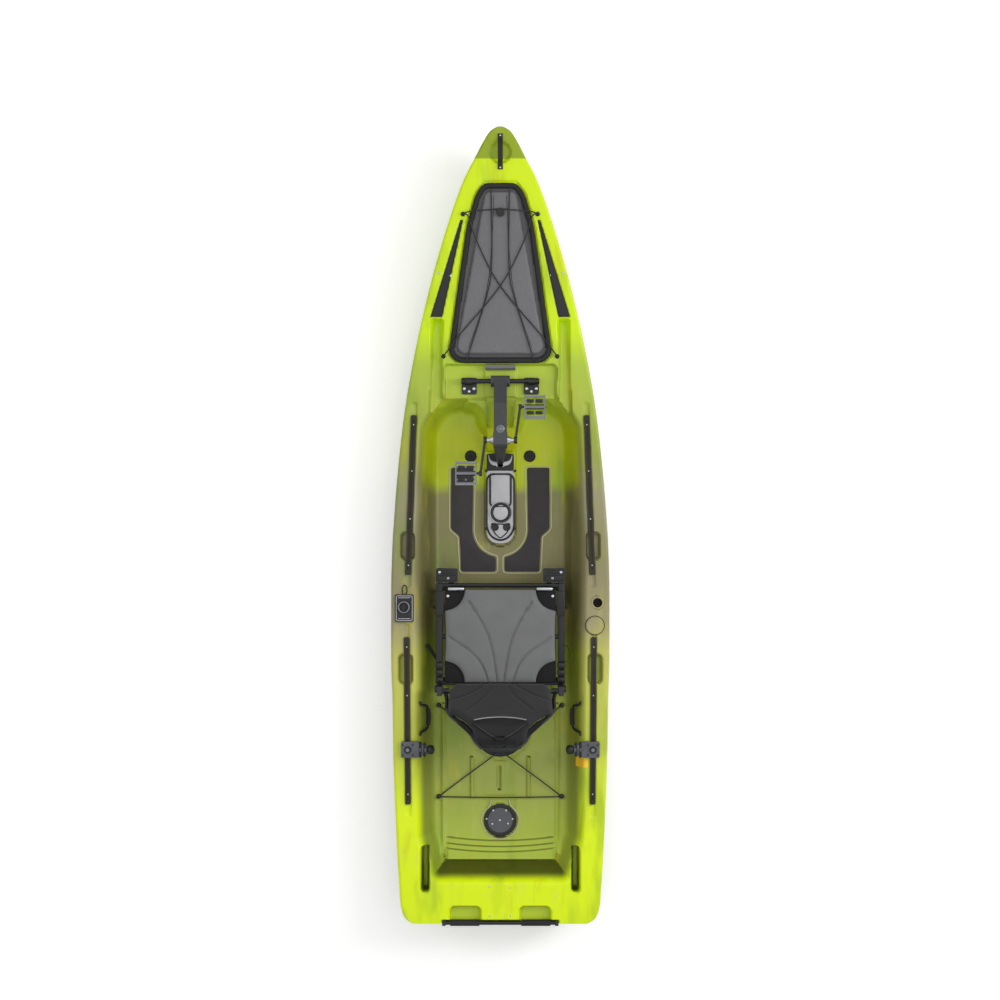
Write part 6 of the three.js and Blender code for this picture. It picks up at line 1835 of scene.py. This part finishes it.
@dataclass(frozen=True)
class DriveTrim:
    """Fastenings and facings of the pedal drive."""

    flank: tuple[float, float, float] = (14.0, 58.0, 9.0)
    arm_bolt: Point = (0.5, 471.0)
    bolt: tuple[Point, ...] = (
        (20, -2), (20, 2.2), (18.5, 3.4), (12, 3.6), (11, 2.2), (8.5, 2.2), (8.5, 6.4), (7.5, 7), (0, 7),
    )
    bracket_screws: float = 669.0

    def build(self, nodes: dict[str, Piece]) -> None:
        """Make the arm's bolt disc, the bracket bolts and the socket's light flanks.

        Args:
            nodes: CAD nodes by name.
        """
        x, y = self.arm_bolt
        bolt = Shape().lathe(self.bolt, (x, y, level_of(nodes["drive_arm"], x, y, 470.0)), 36)
        bolt.piece("arm_bolt", PEDAL_METAL, "hull", "bright_steel")
        for side in Side:
            node = nodes[f"crossbar_bracket_{side.label}"]
            low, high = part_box(node.name)
            middle = 0.5 * (low.x + high.x) / MM
            heads = Shape()
            for x in (middle - 23, middle + 23):
                z = level_of(node, x, self.bracket_screws, high.z / MM)
                screw(heads, x, self.bracket_screws, z, 8.0)
            z = level_of(node, middle, 640.0, 305.0)
            heads.lathe([(9, -1), (9, 9), (6, 12), (0, 12)], (middle, low.y / MM + 14, z), 6)
            heads.piece(f"bracket_bolts_{side.label}", STAINLESS, "hull", "bright_steel")
        socket = nodes["well_socket"]
        flanks = Shape()
        for sign in (-1, 1):
            inner, outer, thick = self.flank
            bends = ((outer, 352), (outer - 6, 330), (outer - 20, 316), (inner, 311))
            line = curve([(sign * x, y, 0) for x, y in bends])
            path = [(x, y, level_of(socket, x, y, 160.0) + 2.0) for x, y, _ in line]
            flanks.ribbon(path, (0.0, 9.0, 0.0), thick)
        flanks.piece("socket_flanks", GREY_ABS, "hull", "cover_plastic")


@dataclass(frozen=True)
class SteeringTrim:
    """The steering box's framed top, its dial's ring and the shock-cord loop ahead of it."""

    centre: Point = (-460.0, -375.0)
    loop: tuple[Place, ...] = (
        (-452, -4, 338), (-446, 16, 336), (-449, 36, 335), (-457, 44, 335), (-465, 36, 335),
        (-468, 14, 336), (-462, -4, 338),
    )

    def build(self, nodes: dict[str, Piece]) -> None:
        """Make the pieces.

        Args:
            nodes: CAD nodes by name.
        """
        low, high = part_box("steering_base")
        x0, x1, y0, y1 = (v / MM for v in (low.x, high.x, low.y, high.y))
        top = high.z / MM
        frame = Shape()
        line = rounded(box_outline(x0 + 7, x1 - 7, y0 + 7, y1 - 7), 8)
        path = [(x, y, top) for x, y in line]
        frame.tube([*path, path[0], path[1]], 2.0, 8)
        for y in (y0 + 16, y1 - 16):
            frame.tube([(x0 + 16, y, top), (x1 - 16, y, top)], 1.6, 8)
        frame.piece("steering_frame", GREY_ABS, "hull", "cover_plastic")
        dial = level_of(nodes["steering_knob"], self.centre[0] + 24, self.centre[1], top + 8)
        ring = Shape().ring(21.0, 29.0, 3.0, (self.centre[0], self.centre[1], dial - 0.4))
        ring.piece("steering_ring", PEDAL_METAL, "steering_dial", "bright_steel")
        loop = curve([(x, y1 + y, z) for x, y, z in self.loop])
        Shape().tube(loop, 2.6, 8).piece("steering_loop", SHOCK_CORD, "hull", "cord")


@dataclass(frozen=True)
class GunwaleHoles:
    """Rod holder and the liner under the round cap, both set into the starboard gunwale."""

    rod: Point = (465.0, -355.0)
    cap: Point = (452.0, -464.0)

    def build(self) -> None:
        """Make the flange and liner of the rod holder, and the rim round the cap."""
        x, y = self.rod
        lip = Shape().ring(22.0, 32.0, 2.4, (x, y, LINES.gunwale - 0.4))
        lip.piece("rod_holder_lip", HULL_PLASTIC, "hull", "hull_plastic")
        liner = Shape()
        liner.lathe([(0, -98), (25, -98), (25, 0), (23, 0), (23, -96), (0, -96)], (x, y, LINES.gunwale), 30)
        liner.piece("rod_holder_liner", NYLON, "hull", "black_plastic")
        seam = Shape().ring(43.8, 47.4, 1.4, (*self.cap, LINES.gunwale - 0.2))
        seam.piece("gunwale_cup_rim", NYLON, "hull", "black_plastic")


@dataclass(frozen=True)
class TankFittings:
    """Pad eyes and drain screws in the tank well, the drain's rim and bead, and the deck's screws aft."""

    floor: float = 185.0
    drain: Point = (2.9, -1419.7)
    offsets: tuple[Point, ...] = (
        (-7.7, -9.9), (5.4, -9.9), (-14.5, -1.2), (11.9, -1.2), (-8.7, 3.8), (7.3, 3.4), (-1, 0),
    )
    deck: tuple[Point, ...] = ((489.4, 886.6), (509.7, 887.7), (489.4, 915.8), (510.7, 915.8))

    def build(self, nodes: dict[str, Piece]) -> None:
        """Make the pieces.

        Args:
            nodes: CAD nodes by name.
        """
        eyes = Shape()
        tops = Shape()
        pad = [(12, -2), (12, 2), (9, 3.6), (4, 4.2), (0, 4.2)]
        for side in Side:
            for x, y in TANK_EYES:
                eyes.lathe(pad, (side.value * x, y, self.floor), 20)
        eyes.piece("tank_pad_eyes", NYLON, "hull", "black_plastic")
        plate = nodes["drain_plate"]
        for dx, dy in self.offsets:
            x, y = self.drain[0] + dx * PIXEL, self.drain[1] - dy * PIXEL
            screw(tops, x, y, level_of(plate, x, y, 181.0), 5.0)
        for px, py in self.deck:
            x, y = at_photo(px, py)
            screw(tops, x, y, LINES.gunwale, 4.6)
        tops.piece("stern_screws", STAINLESS, "hull", "bright_steel")
        trim = Shape().ring(60.0, 79.0, 2.0, (0.0, -1420.0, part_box("drain_plate")[1].z / MM - 0.4))
        trim.piece("drain_rim", NYLON, "hull", "black_plastic")
        # A bead round the drain's keyhole recess, painted pale as a highlight
        neck = [(-44, -1318), (-50, -1346), (-80, -1382), (-91, -1420), (-64, -1484), (0, -1511)]
        path = curve([(x, y, self.floor + 0.2) for x, y in [*neck, *[(-x, y) for x, y in neck[-2::-1]]]], 6)
        Shape().tube(path, 3.2, 8).piece("drain_bead", HIGHLIT_BEAD, "hull", "hull_plastic")


@dataclass(frozen=True)
class Tag:
    """Yellow strap end that hangs over the starboard gunwale beside the clamp."""

    y: float = -1118.0
    route: tuple[Point, ...] = ((420, 333), (404, 333), (394, 326), (380, 300), (364, 268))

    def build(self) -> None:
        """Lay the tag over the edge and down the cockpit's wall."""
        path = curve([(x, self.y, z) for x, z in self.route])
        tag = Shape().ribbon(path, (0.0, 25.0, 0.0), 2.2)
        tag.piece("yellow_tag", YELLOW_TAG, "hull", "seat_cloth")


@dataclass(frozen=True)
class Cord:
    """One stretch of shock cord between two hooks, on a smooth curve through its points."""

    name: str
    body: str
    node: str
    route: tuple[Place, ...]
    on_deck: bool = False
    diameter: float = 6.0

    def build(self) -> Piece:
        """Returns:
            The curve object.
        """
        line = curve(self.route, 6)
        if self.on_deck:
            line = Shape(points=list(line)).tilted().points
        data = bpy.data.curves.new(self.name, "CURVE")
        data.dimensions = "3D"
        data.bevel_depth = self.diameter / 2 * MM
        data.bevel_resolution = 3
        data.use_fill_caps = True
        spline = data.splines.new("POLY")
        spline.points.add(len(line) - 1)
        for point, place in zip(spline.points, line):
            point.co = (*[v * MM for v in place], 1.0)
        data.materials.append(SHOCK_CORD.build())
        obj = bpy.data.objects.new(self.name, data)
        bpy.context.scene.collection.objects.link(obj)
        finished(obj, self.body, [self.node])
        return obj


@dataclass(frozen=True)
class ShockCords:
    """The cords over the fore hatch and the tank well, with their hooked ends."""

    end: float = 9.4
    rim: float = 22.0
    mid: float = 17.0
    low: float = 14.0
    tank: float = 197.4

    def bow(self) -> list[Cord]:
        """List the five stretches over the fore hatch.

        Returns:
            The cords, in the plane of the deck.
        """
        cords = []
        for side in Side:
            s = side.value
            cords.append(
                Cord(
                    f"bow_cord_cross_{side.label}", "fore_hatch", "bow_cords",
                    (
                        (s * 178, 1496, self.end), (s * 150, 1481, self.rim), (s * 111, 1365, self.mid),
                        (0, 1156, self.mid + s * 2), (-s * 204, 913, self.mid), (-s * 246, 856, self.rim),
                        (-s * 272, 822, self.end),
                    ),
                    True,
                )
            )
            cords.append(
                Cord(
                    f"bow_cord_long_{side.label}", "fore_hatch", "bow_cords",
                    (
                        (s * 44, 1618, self.low), (s * 42, 1516, self.mid), (s * 41, 1260, self.mid),
                        (s * 64, 1111, self.mid), (s * 153, 828, self.mid), (s * 156, 815, self.low),
                    ),
                    True,
                )
            )
        half = ((178, 1496, self.end), (144, 1507, self.rim), (44, 1516, self.mid))
        front = (*[(-x, y, z) for x, y, z in half], (0, 1519, self.mid), *reversed(half))
        return [*cords, Cord("bow_cord_front", "fore_hatch", "bow_cords", front, True)]

    def tank_well(self) -> list[Cord]:
        """List the three stretches over the tank well.

        Returns:
            The cords.
        """
        cords = []
        for side in Side:
            s = side.value
            route = (
                (s * 299, -860, self.tank), (s * 180, -947, 207), (0, -1078, 214 + s * 2.5),
                (-s * 180, -1212, 207), (-s * 299, -1303, self.tank),
            )
            cords.append(Cord(f"tank_cord_cross_{side.label}", "hull", "tank_cords", route))
        aft = ((-299, -1303, self.tank), (0, -1307, self.tank), (299, -1303, self.tank))
        return [*cords, Cord("tank_cord_aft", "hull", "tank_cords", aft)]

    def hooks(self) -> None:
        """Make the black beads that end the cords on their pad eyes."""
        bow = Shape()
        tank = Shape()
        bead = [(0, -4), (6, -4), (8, 0), (7, 5), (4, 8), (0, 8)]
        knob = [(0, -7), (8, -7), (11, 0), (9, 7), (4, 9), (0, 9)]
        for side in Side:
            for x, y in BOW_EYES:
                bow.lathe(bead, (side.value * x, y, self.end), 16)
            for x, y in TANK_EYES:
                tank.lathe(knob, (side.value * x, y, self.tank), 16)
        bow.tilted().piece("bow_cord_hooks", NYLON, "fore_hatch", "black_plastic", ["bow_cords"])
        tank.piece("tank_cord_hooks", NYLON, "hull", "black_plastic", ["tank_cords"])

    def build(self) -> None:
        """Make every cord and hook."""
        for cord in [*self.bow(), *self.tank_well()]:
            cord.build()
        self.hooks()


@dataclass(frozen=True)
class Pedals:
    """Details of the two cage pedals: pins along their toothed plates, and the bearing barrel with its
    blocks.
    """

    pins: int = 9
    end: float = 9.0
    barrel: tuple[Point, ...] = ((0, 45), (9, 45), (11, 40), (11, 14), (8, 10))

    def build(self) -> None:
        """Make the details of both pedals."""
        for side in Side:
            low, high = (Vector(corner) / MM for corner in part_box(f"pedal_{side.label}"))
            x, y, z = (low + high) / 2
            teeth = Shape()
            for edge in (low.y + 3, high.y - 3):
                for i in range(self.pins):
                    at = low.x + self.end + (high.x - low.x - 2 * self.end) * i / (self.pins - 1)
                    for face in (-1, 1):
                        height = high.z - 1 if face > 0 else low.z + 1
                        teeth.lathe([(2.6, 0), (1.4, face * 3.6), (0, face * 3.8)], (at, edge, height), 8)
            teeth.piece(f"pedal_pins_{side.label}", STAINLESS, f"{side.label}_pedal", "bright_steel")
            profile = [(r, -h) for r, h in self.barrel] + [*reversed(self.barrel)]
            barrel = Shape().lathe(profile, (x, y, z), 20, Axis.X)
            for edge in (y - 28, y + 28):
                for sign in (-1, 1):
                    at = x + sign * 21
                    block = rounded(box_outline(at - 17, at + 17, edge - 8, edge + 8), 4)
                    barrel.prism(block, z - 9, z + 9, 2)
            barrel.piece(f"pedal_body_{side.label}", NYLON, f"{side.label}_pedal", "black_plastic")


@dataclass(frozen=True)
class Clamps:
    """Bands, bolts, bodies and knobs of the two rail clamps, and the sleeves of the carry handles."""

    middle: Place = (441.0, -1054.0, 373.0)
    star: tuple[Point, ...] = ((0, -17), (13, -17), (20, -13), (23, -5), (22, 8), (17, 15), (0, 15))
    sleeve: tuple[Place, ...] = (
        (348, -872, 248), (346, -892, 246.6), (345, -910, 246.6), (346, -928, 246.6), (348, -948, 248),
    )

    def build(self) -> None:
        """Make the details of both sides."""
        x, y, z = self.middle
        for side in Side:
            s = side.value
            bolt = Shape().ring(12.0, 17.0, 3.0, (s * x, y, z - 0.5))
            for at in ((-24, -24), (24, 24), (-24, 24), (24, -24)):
                bolt.lathe([(4, -1), (4, 1.2), (3, 2), (0, 2)], (s * x + at[0], y + at[1], z), 12)
            bolt.piece(f"clamp_ring_{side.label}", NYLON, f"{side.label}_clamp", "black_plastic")
            stud = Shape().lathe([(10.5, -1), (10.5, 3), (9, 4.5), (0, 4.5)], (s * x, y, z), 6)
            stud.piece(f"clamp_bolt_{side.label}", PEDAL_METAL, f"{side.label}_clamp", "bright_steel")
            bands = Shape()
            for inner, outer, reach in ((376.0, 387.0, 37.0), (356.0, 366.0, 33.0)):
                band = on_side(box_outline(inner, outer, y - reach, y + reach), side)
                bands.prism(rounded(band, 4), 341, 371, 3)
            bands.piece(f"clamp_bands_{side.label}", RUBBER, f"{side.label}_clamp", "rubber_grip")
            core = on_side(box_outline(350, 388, y - 27, y + 27), side)
            body = Shape().prism(rounded(core, 4), 343, 367, 4)
            body.piece(f"clamp_body_{side.label}", CHARCOAL, f"{side.label}_clamp", "lid_plastic")
            knob = Shape().lathe(self.star, (s * 332, y, 354), 12, Axis.X)
            knob.piece(f"clamp_star_{side.label}", NYLON, f"{side.label}_clamp_knob", "black_plastic")
            grip = Shape().tube([(s * px, py, pz) for px, py, pz in self.sleeve], 10.5, 14)
            grip.piece(f"handle_sleeve_{side.label}", RUBBER, f"{side.label}_handle", "rubber_grip")


@dataclass(frozen=True)
class Cushion:
    """Seat cushion: a crowned pad with quarter-round cut corners and four sewn channels."""

    half: float = 268.0
    front: float = -292.0
    aft: float = -736.0
    cut: float = 100.0
    base: float = 302.0
    edge: float = 318.0
    top: float = 343.0
    roll: float = 30.0
    channel: float = 10.0
    patch: float = 104.0
    rows: int = 110
    columns: int = 130
    seams: tuple[tuple[Point, ...], ...] = (
        ((-150, -350), (-100, -430), (-60, -510), (-36, -600), (-20, -700), (-16, -742)),
        ((-246, -520), (-190, -556), (-130, -600), (-84, -660), (-56, -742)),
    )

    def width(self, y: float) -> float:
        """Half-width at a station, with the quarter-round corners cut out."""
        wide = self.half - 7.0 * math.sin(math.pi * (y - self.aft) / (self.front - self.aft)) ** 2
        for at in (self.front, self.aft):
            reach = abs(at - y)
            if reach < self.cut:
                wide -= math.sqrt(self.cut * self.cut - reach * reach) * 0.98
        return wide

    def build(self) -> None:
        """Make the cushion, its piping and its black corner patches."""
        middle, reach = (self.front + self.aft) / 2, (self.front - self.aft) / 2
        ys = middle + reach * eased(self.rows)
        widths = np.array([self.width(y) for y in ys])
        border = both(list(zip(widths, ys)))
        x, y = spread_over(widths, ys, self.columns)
        inside = np.maximum(inside_distance(x, y, border, 0.0), 0.0)
        share = np.clip(inside / self.roll, 0.0, 1.0)
        shell = np.sqrt(np.maximum(1 - (1 - share) ** 2, 0.0))
        crown = (1 - (x / self.half) ** 2) * (1 - ((y - middle) / reach) ** 2)
        top = self.edge + (self.top - 10 - self.edge) * shell + 10 * crown
        for seam in self.seams:
            for sign in (-1, 1):
                line = curve([(sign * px, py, 0.0) for px, py in seam], 6)
                near = line_distance(x, y, line)
                puff = np.exp(-((near / 40.0) ** 2))
                top -= self.channel * np.exp(-((near / 5.0) ** 2)) * shell + 1.6 * puff * shell
        wrinkle = np.sin(x / 31.0 + 1.3 * np.sin(y / 47.0)) * np.sin(y / 39.0 + 0.8 * np.sin(x / 53.0))
        top += 0.5 * wrinkle * shell
        under = self.edge - (self.edge - self.base) * shell
        obj = double_skin("seat_pad", x, y, top, under, SEAT_CLOTH)
        finished(obj, "seat", ["seat_cushion"])
        piping = Shape()
        path = [(px, py, self.edge + 0.5) for px, py in border[:: max(1, len(border) // 150)]]
        piping.tube([*path, path[0]], 2.6, 8)
        piping.piece("seat_piping", WEBBING, "seat", "seat_cloth")
        patches = Shape()
        for sign in (-1, 1):
            for at, way in ((self.front, -1), (self.aft, 1)):
                arc = [
                    (sign * (self.half - 2 - self.patch * math.cos(t)), at + way * self.patch * math.sin(t))
                    for t in np.linspace(0, math.pi / 2, 12)
                ]
                patches.prism([(sign * (self.half - 2), at), *arc], self.edge - 8, self.edge - 3, 1.5)
        patches.piece("seat_corner_patches", WEBBING, "seat", "seat_cloth")


@dataclass(frozen=True)
class SeatTrim:
    """Rails, clamps, bars, knobs and straps round the seat cushion."""

    rail: tuple[float, float] = (277.0, 309.0)

    def build(self) -> None:
        """Make the black mouldings, the bright bars and the straps."""
        black = Shape()
        bright = Shape()
        for side in Side:
            s = side.value
            inner, outer = self.rail
            rail = rounded(on_side(box_outline(inner, outer, -772, -262), side), 8)
            black.prism(rail, 281, 306, 4)
            black.prism(rounded(on_side(box_outline(inner - 6, outer + 2, -420, -300), side), 8), 300, 316, 4)
            for y in (-655.0, -690.0, -725.0):
                block = box_outline(inner - 4, outer + 2, y - 13, y + 13)
                black.prism(rounded(on_side(block, side), 6), 300, 328, 5)
            black.bar(17.0, 20.0, (s * 292, -760, 405), 4.0)
            black.prism(rounded(on_side(box_outline(214, 304, -252, -226), side), 5), 303, 313, 3)
            black.prism(rounded(on_side(box_outline(224, 304, -216, -200), side), 5), 303, 310, 3)
            screw(bright, s * 291, -210, 309, 7.0)
            screw(bright, s * 250, -239, 312, 6.0)
            bright.bar(9.0, 38.0, (s * 212, -289, 326), sides=20)
            bright.bar(12.0, 8.0, (s * 292, -782, 344))
            screw(bright, s * 251, -324, 315, 7.5)
        black.piece("seat_rails", NYLON, "seat", "black_plastic")
        bright.piece("seat_bright_bars", STAINLESS, "seat", "bright_steel")
        straps = Shape()
        tail = curve([(-292, -640, 300), (-306, -622, 296), (-330, -590, 270), (-352, -558, 262)])
        straps.ribbon(tail, (6.0, 6.0, 0.0), 2.0)
        bends = [(300, -560, 304), (322, -566, 296), (330, -600, 280), (322, -634, 292), (300, -640, 302)]
        loop = curve(bends)
        straps.ribbon(loop, (0.0, 2.0, 9.0), 2.0)
        straps.piece("seat_straps", WEBBING, "seat", "seat_cloth")


@dataclass(frozen=True)
class SeatBack:
    """Reclined seat back: a padded panel that narrows to its top, with mesh sides and a buckle."""

    pivot: Point = (-770.0, 405.0)
    low: float = -12.0
    high: float = 422.0
    widths: tuple[Point, ...] = (
        (-12, 212), (10, 228), (60, 238), (186, 239), (215, 205), (243, 172), (270, 150), (300, 132),
        (351, 119), (390, 108), (422, 76),
    )
    half: float = 240.0
    wing: tuple[Point, ...] = (
        (238, 165), (212, 220), (182, 270), (132, 338), (112, 380), (104, 380), (116, 340), (128, 300),
        (146, 268), (168, 240), (200, 214), (228, 190),
    )
    behind: float = 10.5
    thick: float = 30.0
    roll: float = 26.0
    seams: tuple[tuple[Point, ...], ...] = (
        ((-22, -20), (-62, 86), (-112, 152), (-150, 200)), ((-44, -20), (-110, 50), (-170, 92), (-236, 120)),
    )
    rows: int = 110
    columns: int = 110

    def place(self, x: float, along: float, out: float) -> Place:
        """Place in the boat's frame of a point across, up the panel and out ahead of its tubes."""
        cos, sin = math.cos(BACK_TILT), math.sin(BACK_TILT)
        return (x, self.pivot[0] - along * sin + out * cos, self.pivot[1] + along * cos + out * sin)

    def build(self) -> None:
        """Make the panel, its piping, mesh sides, straps and buckle."""
        middle, reach = (self.low + self.high) / 2, (self.high - self.low) / 2
        along = middle + reach * eased(self.rows)
        line = np.array(curve([(a, w, 0.0) for a, w in self.widths], 8))
        widths = np.interp(along, line[:, 0], line[:, 1])
        border = both(list(zip(widths, along)))
        x, y = spread_over(widths, along, self.columns)
        inside = np.maximum(inside_distance(x, y, border, 0.0), 0.0)
        shell = np.sqrt(np.maximum(1 - (1 - np.clip(inside / self.roll, 0, 1)) ** 2, 0.0))
        crown = 1 - (x / self.half) ** 2
        edge = self.behind + 0.4 * self.thick
        top = edge + (0.6 * self.thick) * shell + 9 * crown * shell
        arc = curve([(-120, 279, 0), (-70, 267, 0), (0, 262, 0), (70, 267, 0), (120, 279, 0)], 8)
        near = line_distance(x, y, arc)
        above = np.clip((y - 266) / 40, 0, 1)
        top += (4.0 * np.exp(-((near / 9.0) ** 2)) - 7.0 * above) * shell
        for seam in self.seams:
            for sign in (-1, 1):
                near = line_distance(x, y, curve([(sign * px, py, 0.0) for px, py in seam], 6))
                top -= 4.5 * np.exp(-((near / 4.5) ** 2)) * shell
        top += 0.6 * np.sin(x / 27.0 + np.sin(y / 37.0)) * np.sin(y / 33.0) * shell
        under = edge - 0.4 * self.thick * shell
        obj = double_skin("seat_back_cover", x, y, top, under, BACK_CLOTH)
        obj.data.materials.append(WEBBING.build())
        middles = face_centres(obj)
        head = middles[:, 1] > 265 + 17 * (middles[:, 0] / 120) ** 2
        obj.data.polygons.foreach_set("material_index", head.astype(int))
        move_all(obj, self.place)
        smooth(obj, 60.0)
        finished(obj, "seat_back", ["seat_back_pad"])
        piping = Shape()
        path = [self.place(px, py, edge) for px, py in border[:: max(1, len(border) // 140)]]
        piping.tube([*path, path[0]], 2.8, 8)
        piping.piece("seat_back_piping", WEBBING, "seat_back", "back_cloth")
        # A bead along the back's fold, painted pale as a highlight
        ridge = []
        for px, py, _ in arc:
            out = edge + 0.6 * self.thick + 9 * (1 - (px / self.half) ** 2) + 4.4
            ridge.append(self.place(px, py, out))
        bead = Shape().tube(ridge, 2.2, 8)
        bead.piece("seat_back_bead", HIGHLIT_PIPING, "seat_back", "back_cloth")
        self.fittings()

    def fittings(self) -> None:
        """Make the mesh at both sides, the webbing that crosses the top and the buckle on it."""
        wings = Shape()
        for sign in (-1, 1):
            wings.loft([[self.place(sign * x, a, out) for x, a in self.wing] for out in (1.0, 9.0)])
        wings.piece("seat_back_mesh", BACK_MESH, "seat_back", "back_cloth")
        straps = Shape()
        for sign in (-1, 1):
            bends = ((150, 236, 30), (110, 300, 40), (50, 372, 43), (8, 404, 43))
            run = curve([self.place(sign * x, a, out) for x, a, out in bends])
            straps.ribbon(run, (6.0 * sign, 0.0, 8.0), 2.0)
        straps.piece("seat_back_straps", WEBBING, "seat_back", "back_cloth")
        buckle = Shape()
        sides = ((-24, 24, 388, 394), (-24, 24, 412, 418), (-24, -17, 388, 418), (17, 24, 388, 418))
        for corners in sides:
            line = box_outline(*corners)
            buckle.loft([[self.place(x, a, out) for x, a in line] for out in (44, 50)])
        buckle.piece("seat_back_buckle", NYLON, "seat_back", "black_plastic")


SLOT_FINISH = {
    "hull_plastic": HULL_PLASTIC,
    "black_plastic": NYLON,
    "lid_plastic": LID_PLASTIC,
    "foam_mat": EVA,
    "cover_plastic": GREY_ABS,
    "rail_aluminium": ANODISED,
    "bright_steel": STAINLESS,
    "black_metal": POWDER_COAT,
    "cord": SHOCK_CORD,
    "seat_cloth": SEAT_CLOTH,
    "back_cloth": BACK_CLOTH,
    "rubber_grip": RUBBER,
    "seal_rubber": RUBBER,
}
NODE_FINISH: dict[str, Finish] = {
    "pedal_left": PEDAL_METAL,
    "pedal_right": PEDAL_METAL,
    "drain_plate": CHARCOAL,
    "drive_leg": DRIVE_COAT,
    "gearcase": DRIVE_COAT,
    "drive_arm": DRIVE_COAT,
    "crossbar_bracket_left": POWDER_COAT,
    "crossbar_bracket_right": POWDER_COAT,
    "steering_knob": NYLON,
    "round_hatch_cover": NYLON,
    "round_hatch_ring": NYLON,
    "rail_clamp_left": CHARCOAL,
    "rail_clamp_right": CHARCOAL,
    "deck_insert_left": NYLON,
    "deck_insert_right": NYLON,
}


def dress_nodes(frame: dict) -> None:
    """Give every CAD node that stays its finish and smooth shading.
    """
    slots = {entry["node"]: entry["material_slot"] for entry in frame["record"]["subparts"]}
    for name, node in frame["nodes"].items():
        finish = NODE_FINISH.get(name) or SLOT_FINISH[slots[name]]
        node.data.materials.clear()
        node.data.materials.append(finish.build())
        for polygon in node.data.polygons:
            polygon.material_index = 0
        smooth(node, 32.0)


@dataclass(frozen=True)
class Overhead:
    """Camera straight above the boat, as the photograph was taken, in metres."""

    place: Place = (-0.0014, 0.136, 9.33)
    sensor: float = 36.0
    far: float = 60.0

    def add(self) -> None:
        """Add the camera, with the photograph's scale at the gunwale's level."""
        data = bpy.data.cameras.new("camera")
        data.sensor_width = self.sensor
        data.lens = self.sensor * (self.place[2] - LINES.gunwale * MM) / PIXEL
        data.clip_end = self.far
        camera = bpy.data.objects.new("camera", data)
        camera.location = self.place
        bpy.context.scene.collection.objects.link(camera)
        bpy.context.scene.camera = camera


@dataclass(frozen=True)
class Lamp:
    """A soft rectangular lamp: its place and size in metres and its power in watts."""

    name: str
    place: Place
    size: Point
    power: float
    aim: Place = (0.0, 0.0, 0.2)

    def hang(self) -> None:
        """Add the lamp, facing its aim."""
        data = bpy.data.lights.new(self.name, "AREA")
        data.shape = "RECTANGLE"
        data.size, data.size_y = self.size
        data.energy = self.power
        lamp = bpy.data.objects.new(self.name, data)
        lamp.location = self.place
        lamp.rotation_euler = (Vector(self.aim) - Vector(self.place)).to_track_quat("-Z", "Y").to_euler()
        bpy.context.scene.collection.objects.link(lamp)


def seen_directly(tree: Tree) -> Socket:
    """Tell rays that show a backdrop from those that light the boat.

    Args:
        tree: Node tree of the backdrop's material or of the world.

    Returns:
        One for camera, glossy and transmission rays, else nought.
    """
    path = add_node(tree, "LightPath")
    seen = path.outputs["Is Camera Ray"]
    for kind in ("Is Glossy Ray", "Is Transmission Ray"):
        seen = add_node(tree, "Math", {0: seen, 1: path.outputs[kind]}, operation="MAXIMUM").outputs[0]
    return seen


@dataclass(frozen=True)
class Backdrop(Finish):
    """Painted studio floor that shows white but throws no more light on the boat."""

    glow: float = 0.3
    world: float = 0.42
    reach: float = 30000.0
    level: float = -2.0

    def dress(self, tree: Tree, place: Socket, shader: Node) -> None:
        """Add a little light of its own where it is seen directly."""
        own = add_node(tree, "MapRange", {"Value": seen_directly(tree), "To Max": self.glow})
        shader.inputs["Emission Color"].default_value = (1.0, 1.0, 1.0, 1.0)
        tree.links.new(own.outputs["Result"], shader.inputs["Emission Strength"])


FLOOR = Backdrop("studio_floor", "#f4f4f4", 0.9)
LAMPS = (
    Lamp("overhead", (0.4, 0.4, 6.0), (6.0, 9.0), 165.0),
    Lamp("port", (-5.0, 1.5, 3.4), (1.6, 5.0), 45.0),
    Lamp("starboard", (4.6, 1.0, 3.8), (1.6, 5.0), 165.0),
)


def add_studio() -> None:
    """Set up the pale floor, the white surroundings and the soft lamps."""
    world = bpy.data.worlds.new("studio")
    bpy.context.scene.world = world
    world.use_nodes = True
    tree = world.node_tree
    tree.nodes.clear()
    strength = add_node(tree, "MapRange", {"Value": seen_directly(tree), "To Min": FLOOR.world})
    back = add_node(
        tree, "Background", {"Color": (1.0, 1.0, 1.0, 1.0), "Strength": strength.outputs["Result"]}
    )
    add_node(tree, "OutputWorld", {"Surface": back.outputs[0]})
    for lamp in LAMPS:
        lamp.hang()
    border = box_outline(-FLOOR.reach, FLOOR.reach, -FLOOR.reach, FLOOR.reach)
    corners = [(x, y, FLOOR.level) for x, y in border]
    floor = mesh_object("floor", corners, [(0, 1, 2, 3)], FLOOR)


def main() -> None:
    """Load the frame, dress it, add what the CAD leaves plain, and hand the scene over."""
    logging.basicConfig(level=logging.INFO, format="%(name)s %(message)s")
    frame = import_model()
    bpy.context.scene.view_settings.view_transform = "Standard"
    Overhead().add()
    add_studio()
    dress_nodes(frame)
    finished(HullMould().build(), "hull", ["hull_shell"])
    nodes = frame["nodes"]
    ShockCords().build()
    ForeDeckFittings().build()
    Lid().build()
    RailBolts().build(nodes)
    WellCoverTrim().build(nodes)
    FootMats().build(nodes)
    DriveTrim().build(nodes)
    SteeringTrim().build(nodes)
    GunwaleHoles().build()
    TankFittings().build(nodes)
    Tag().build()
    Pedals().build()
    Clamps().build()
    Cushion().build()
    SeatTrim().build()
    SeatBack().build()


if __name__ == "__main__":
    main()
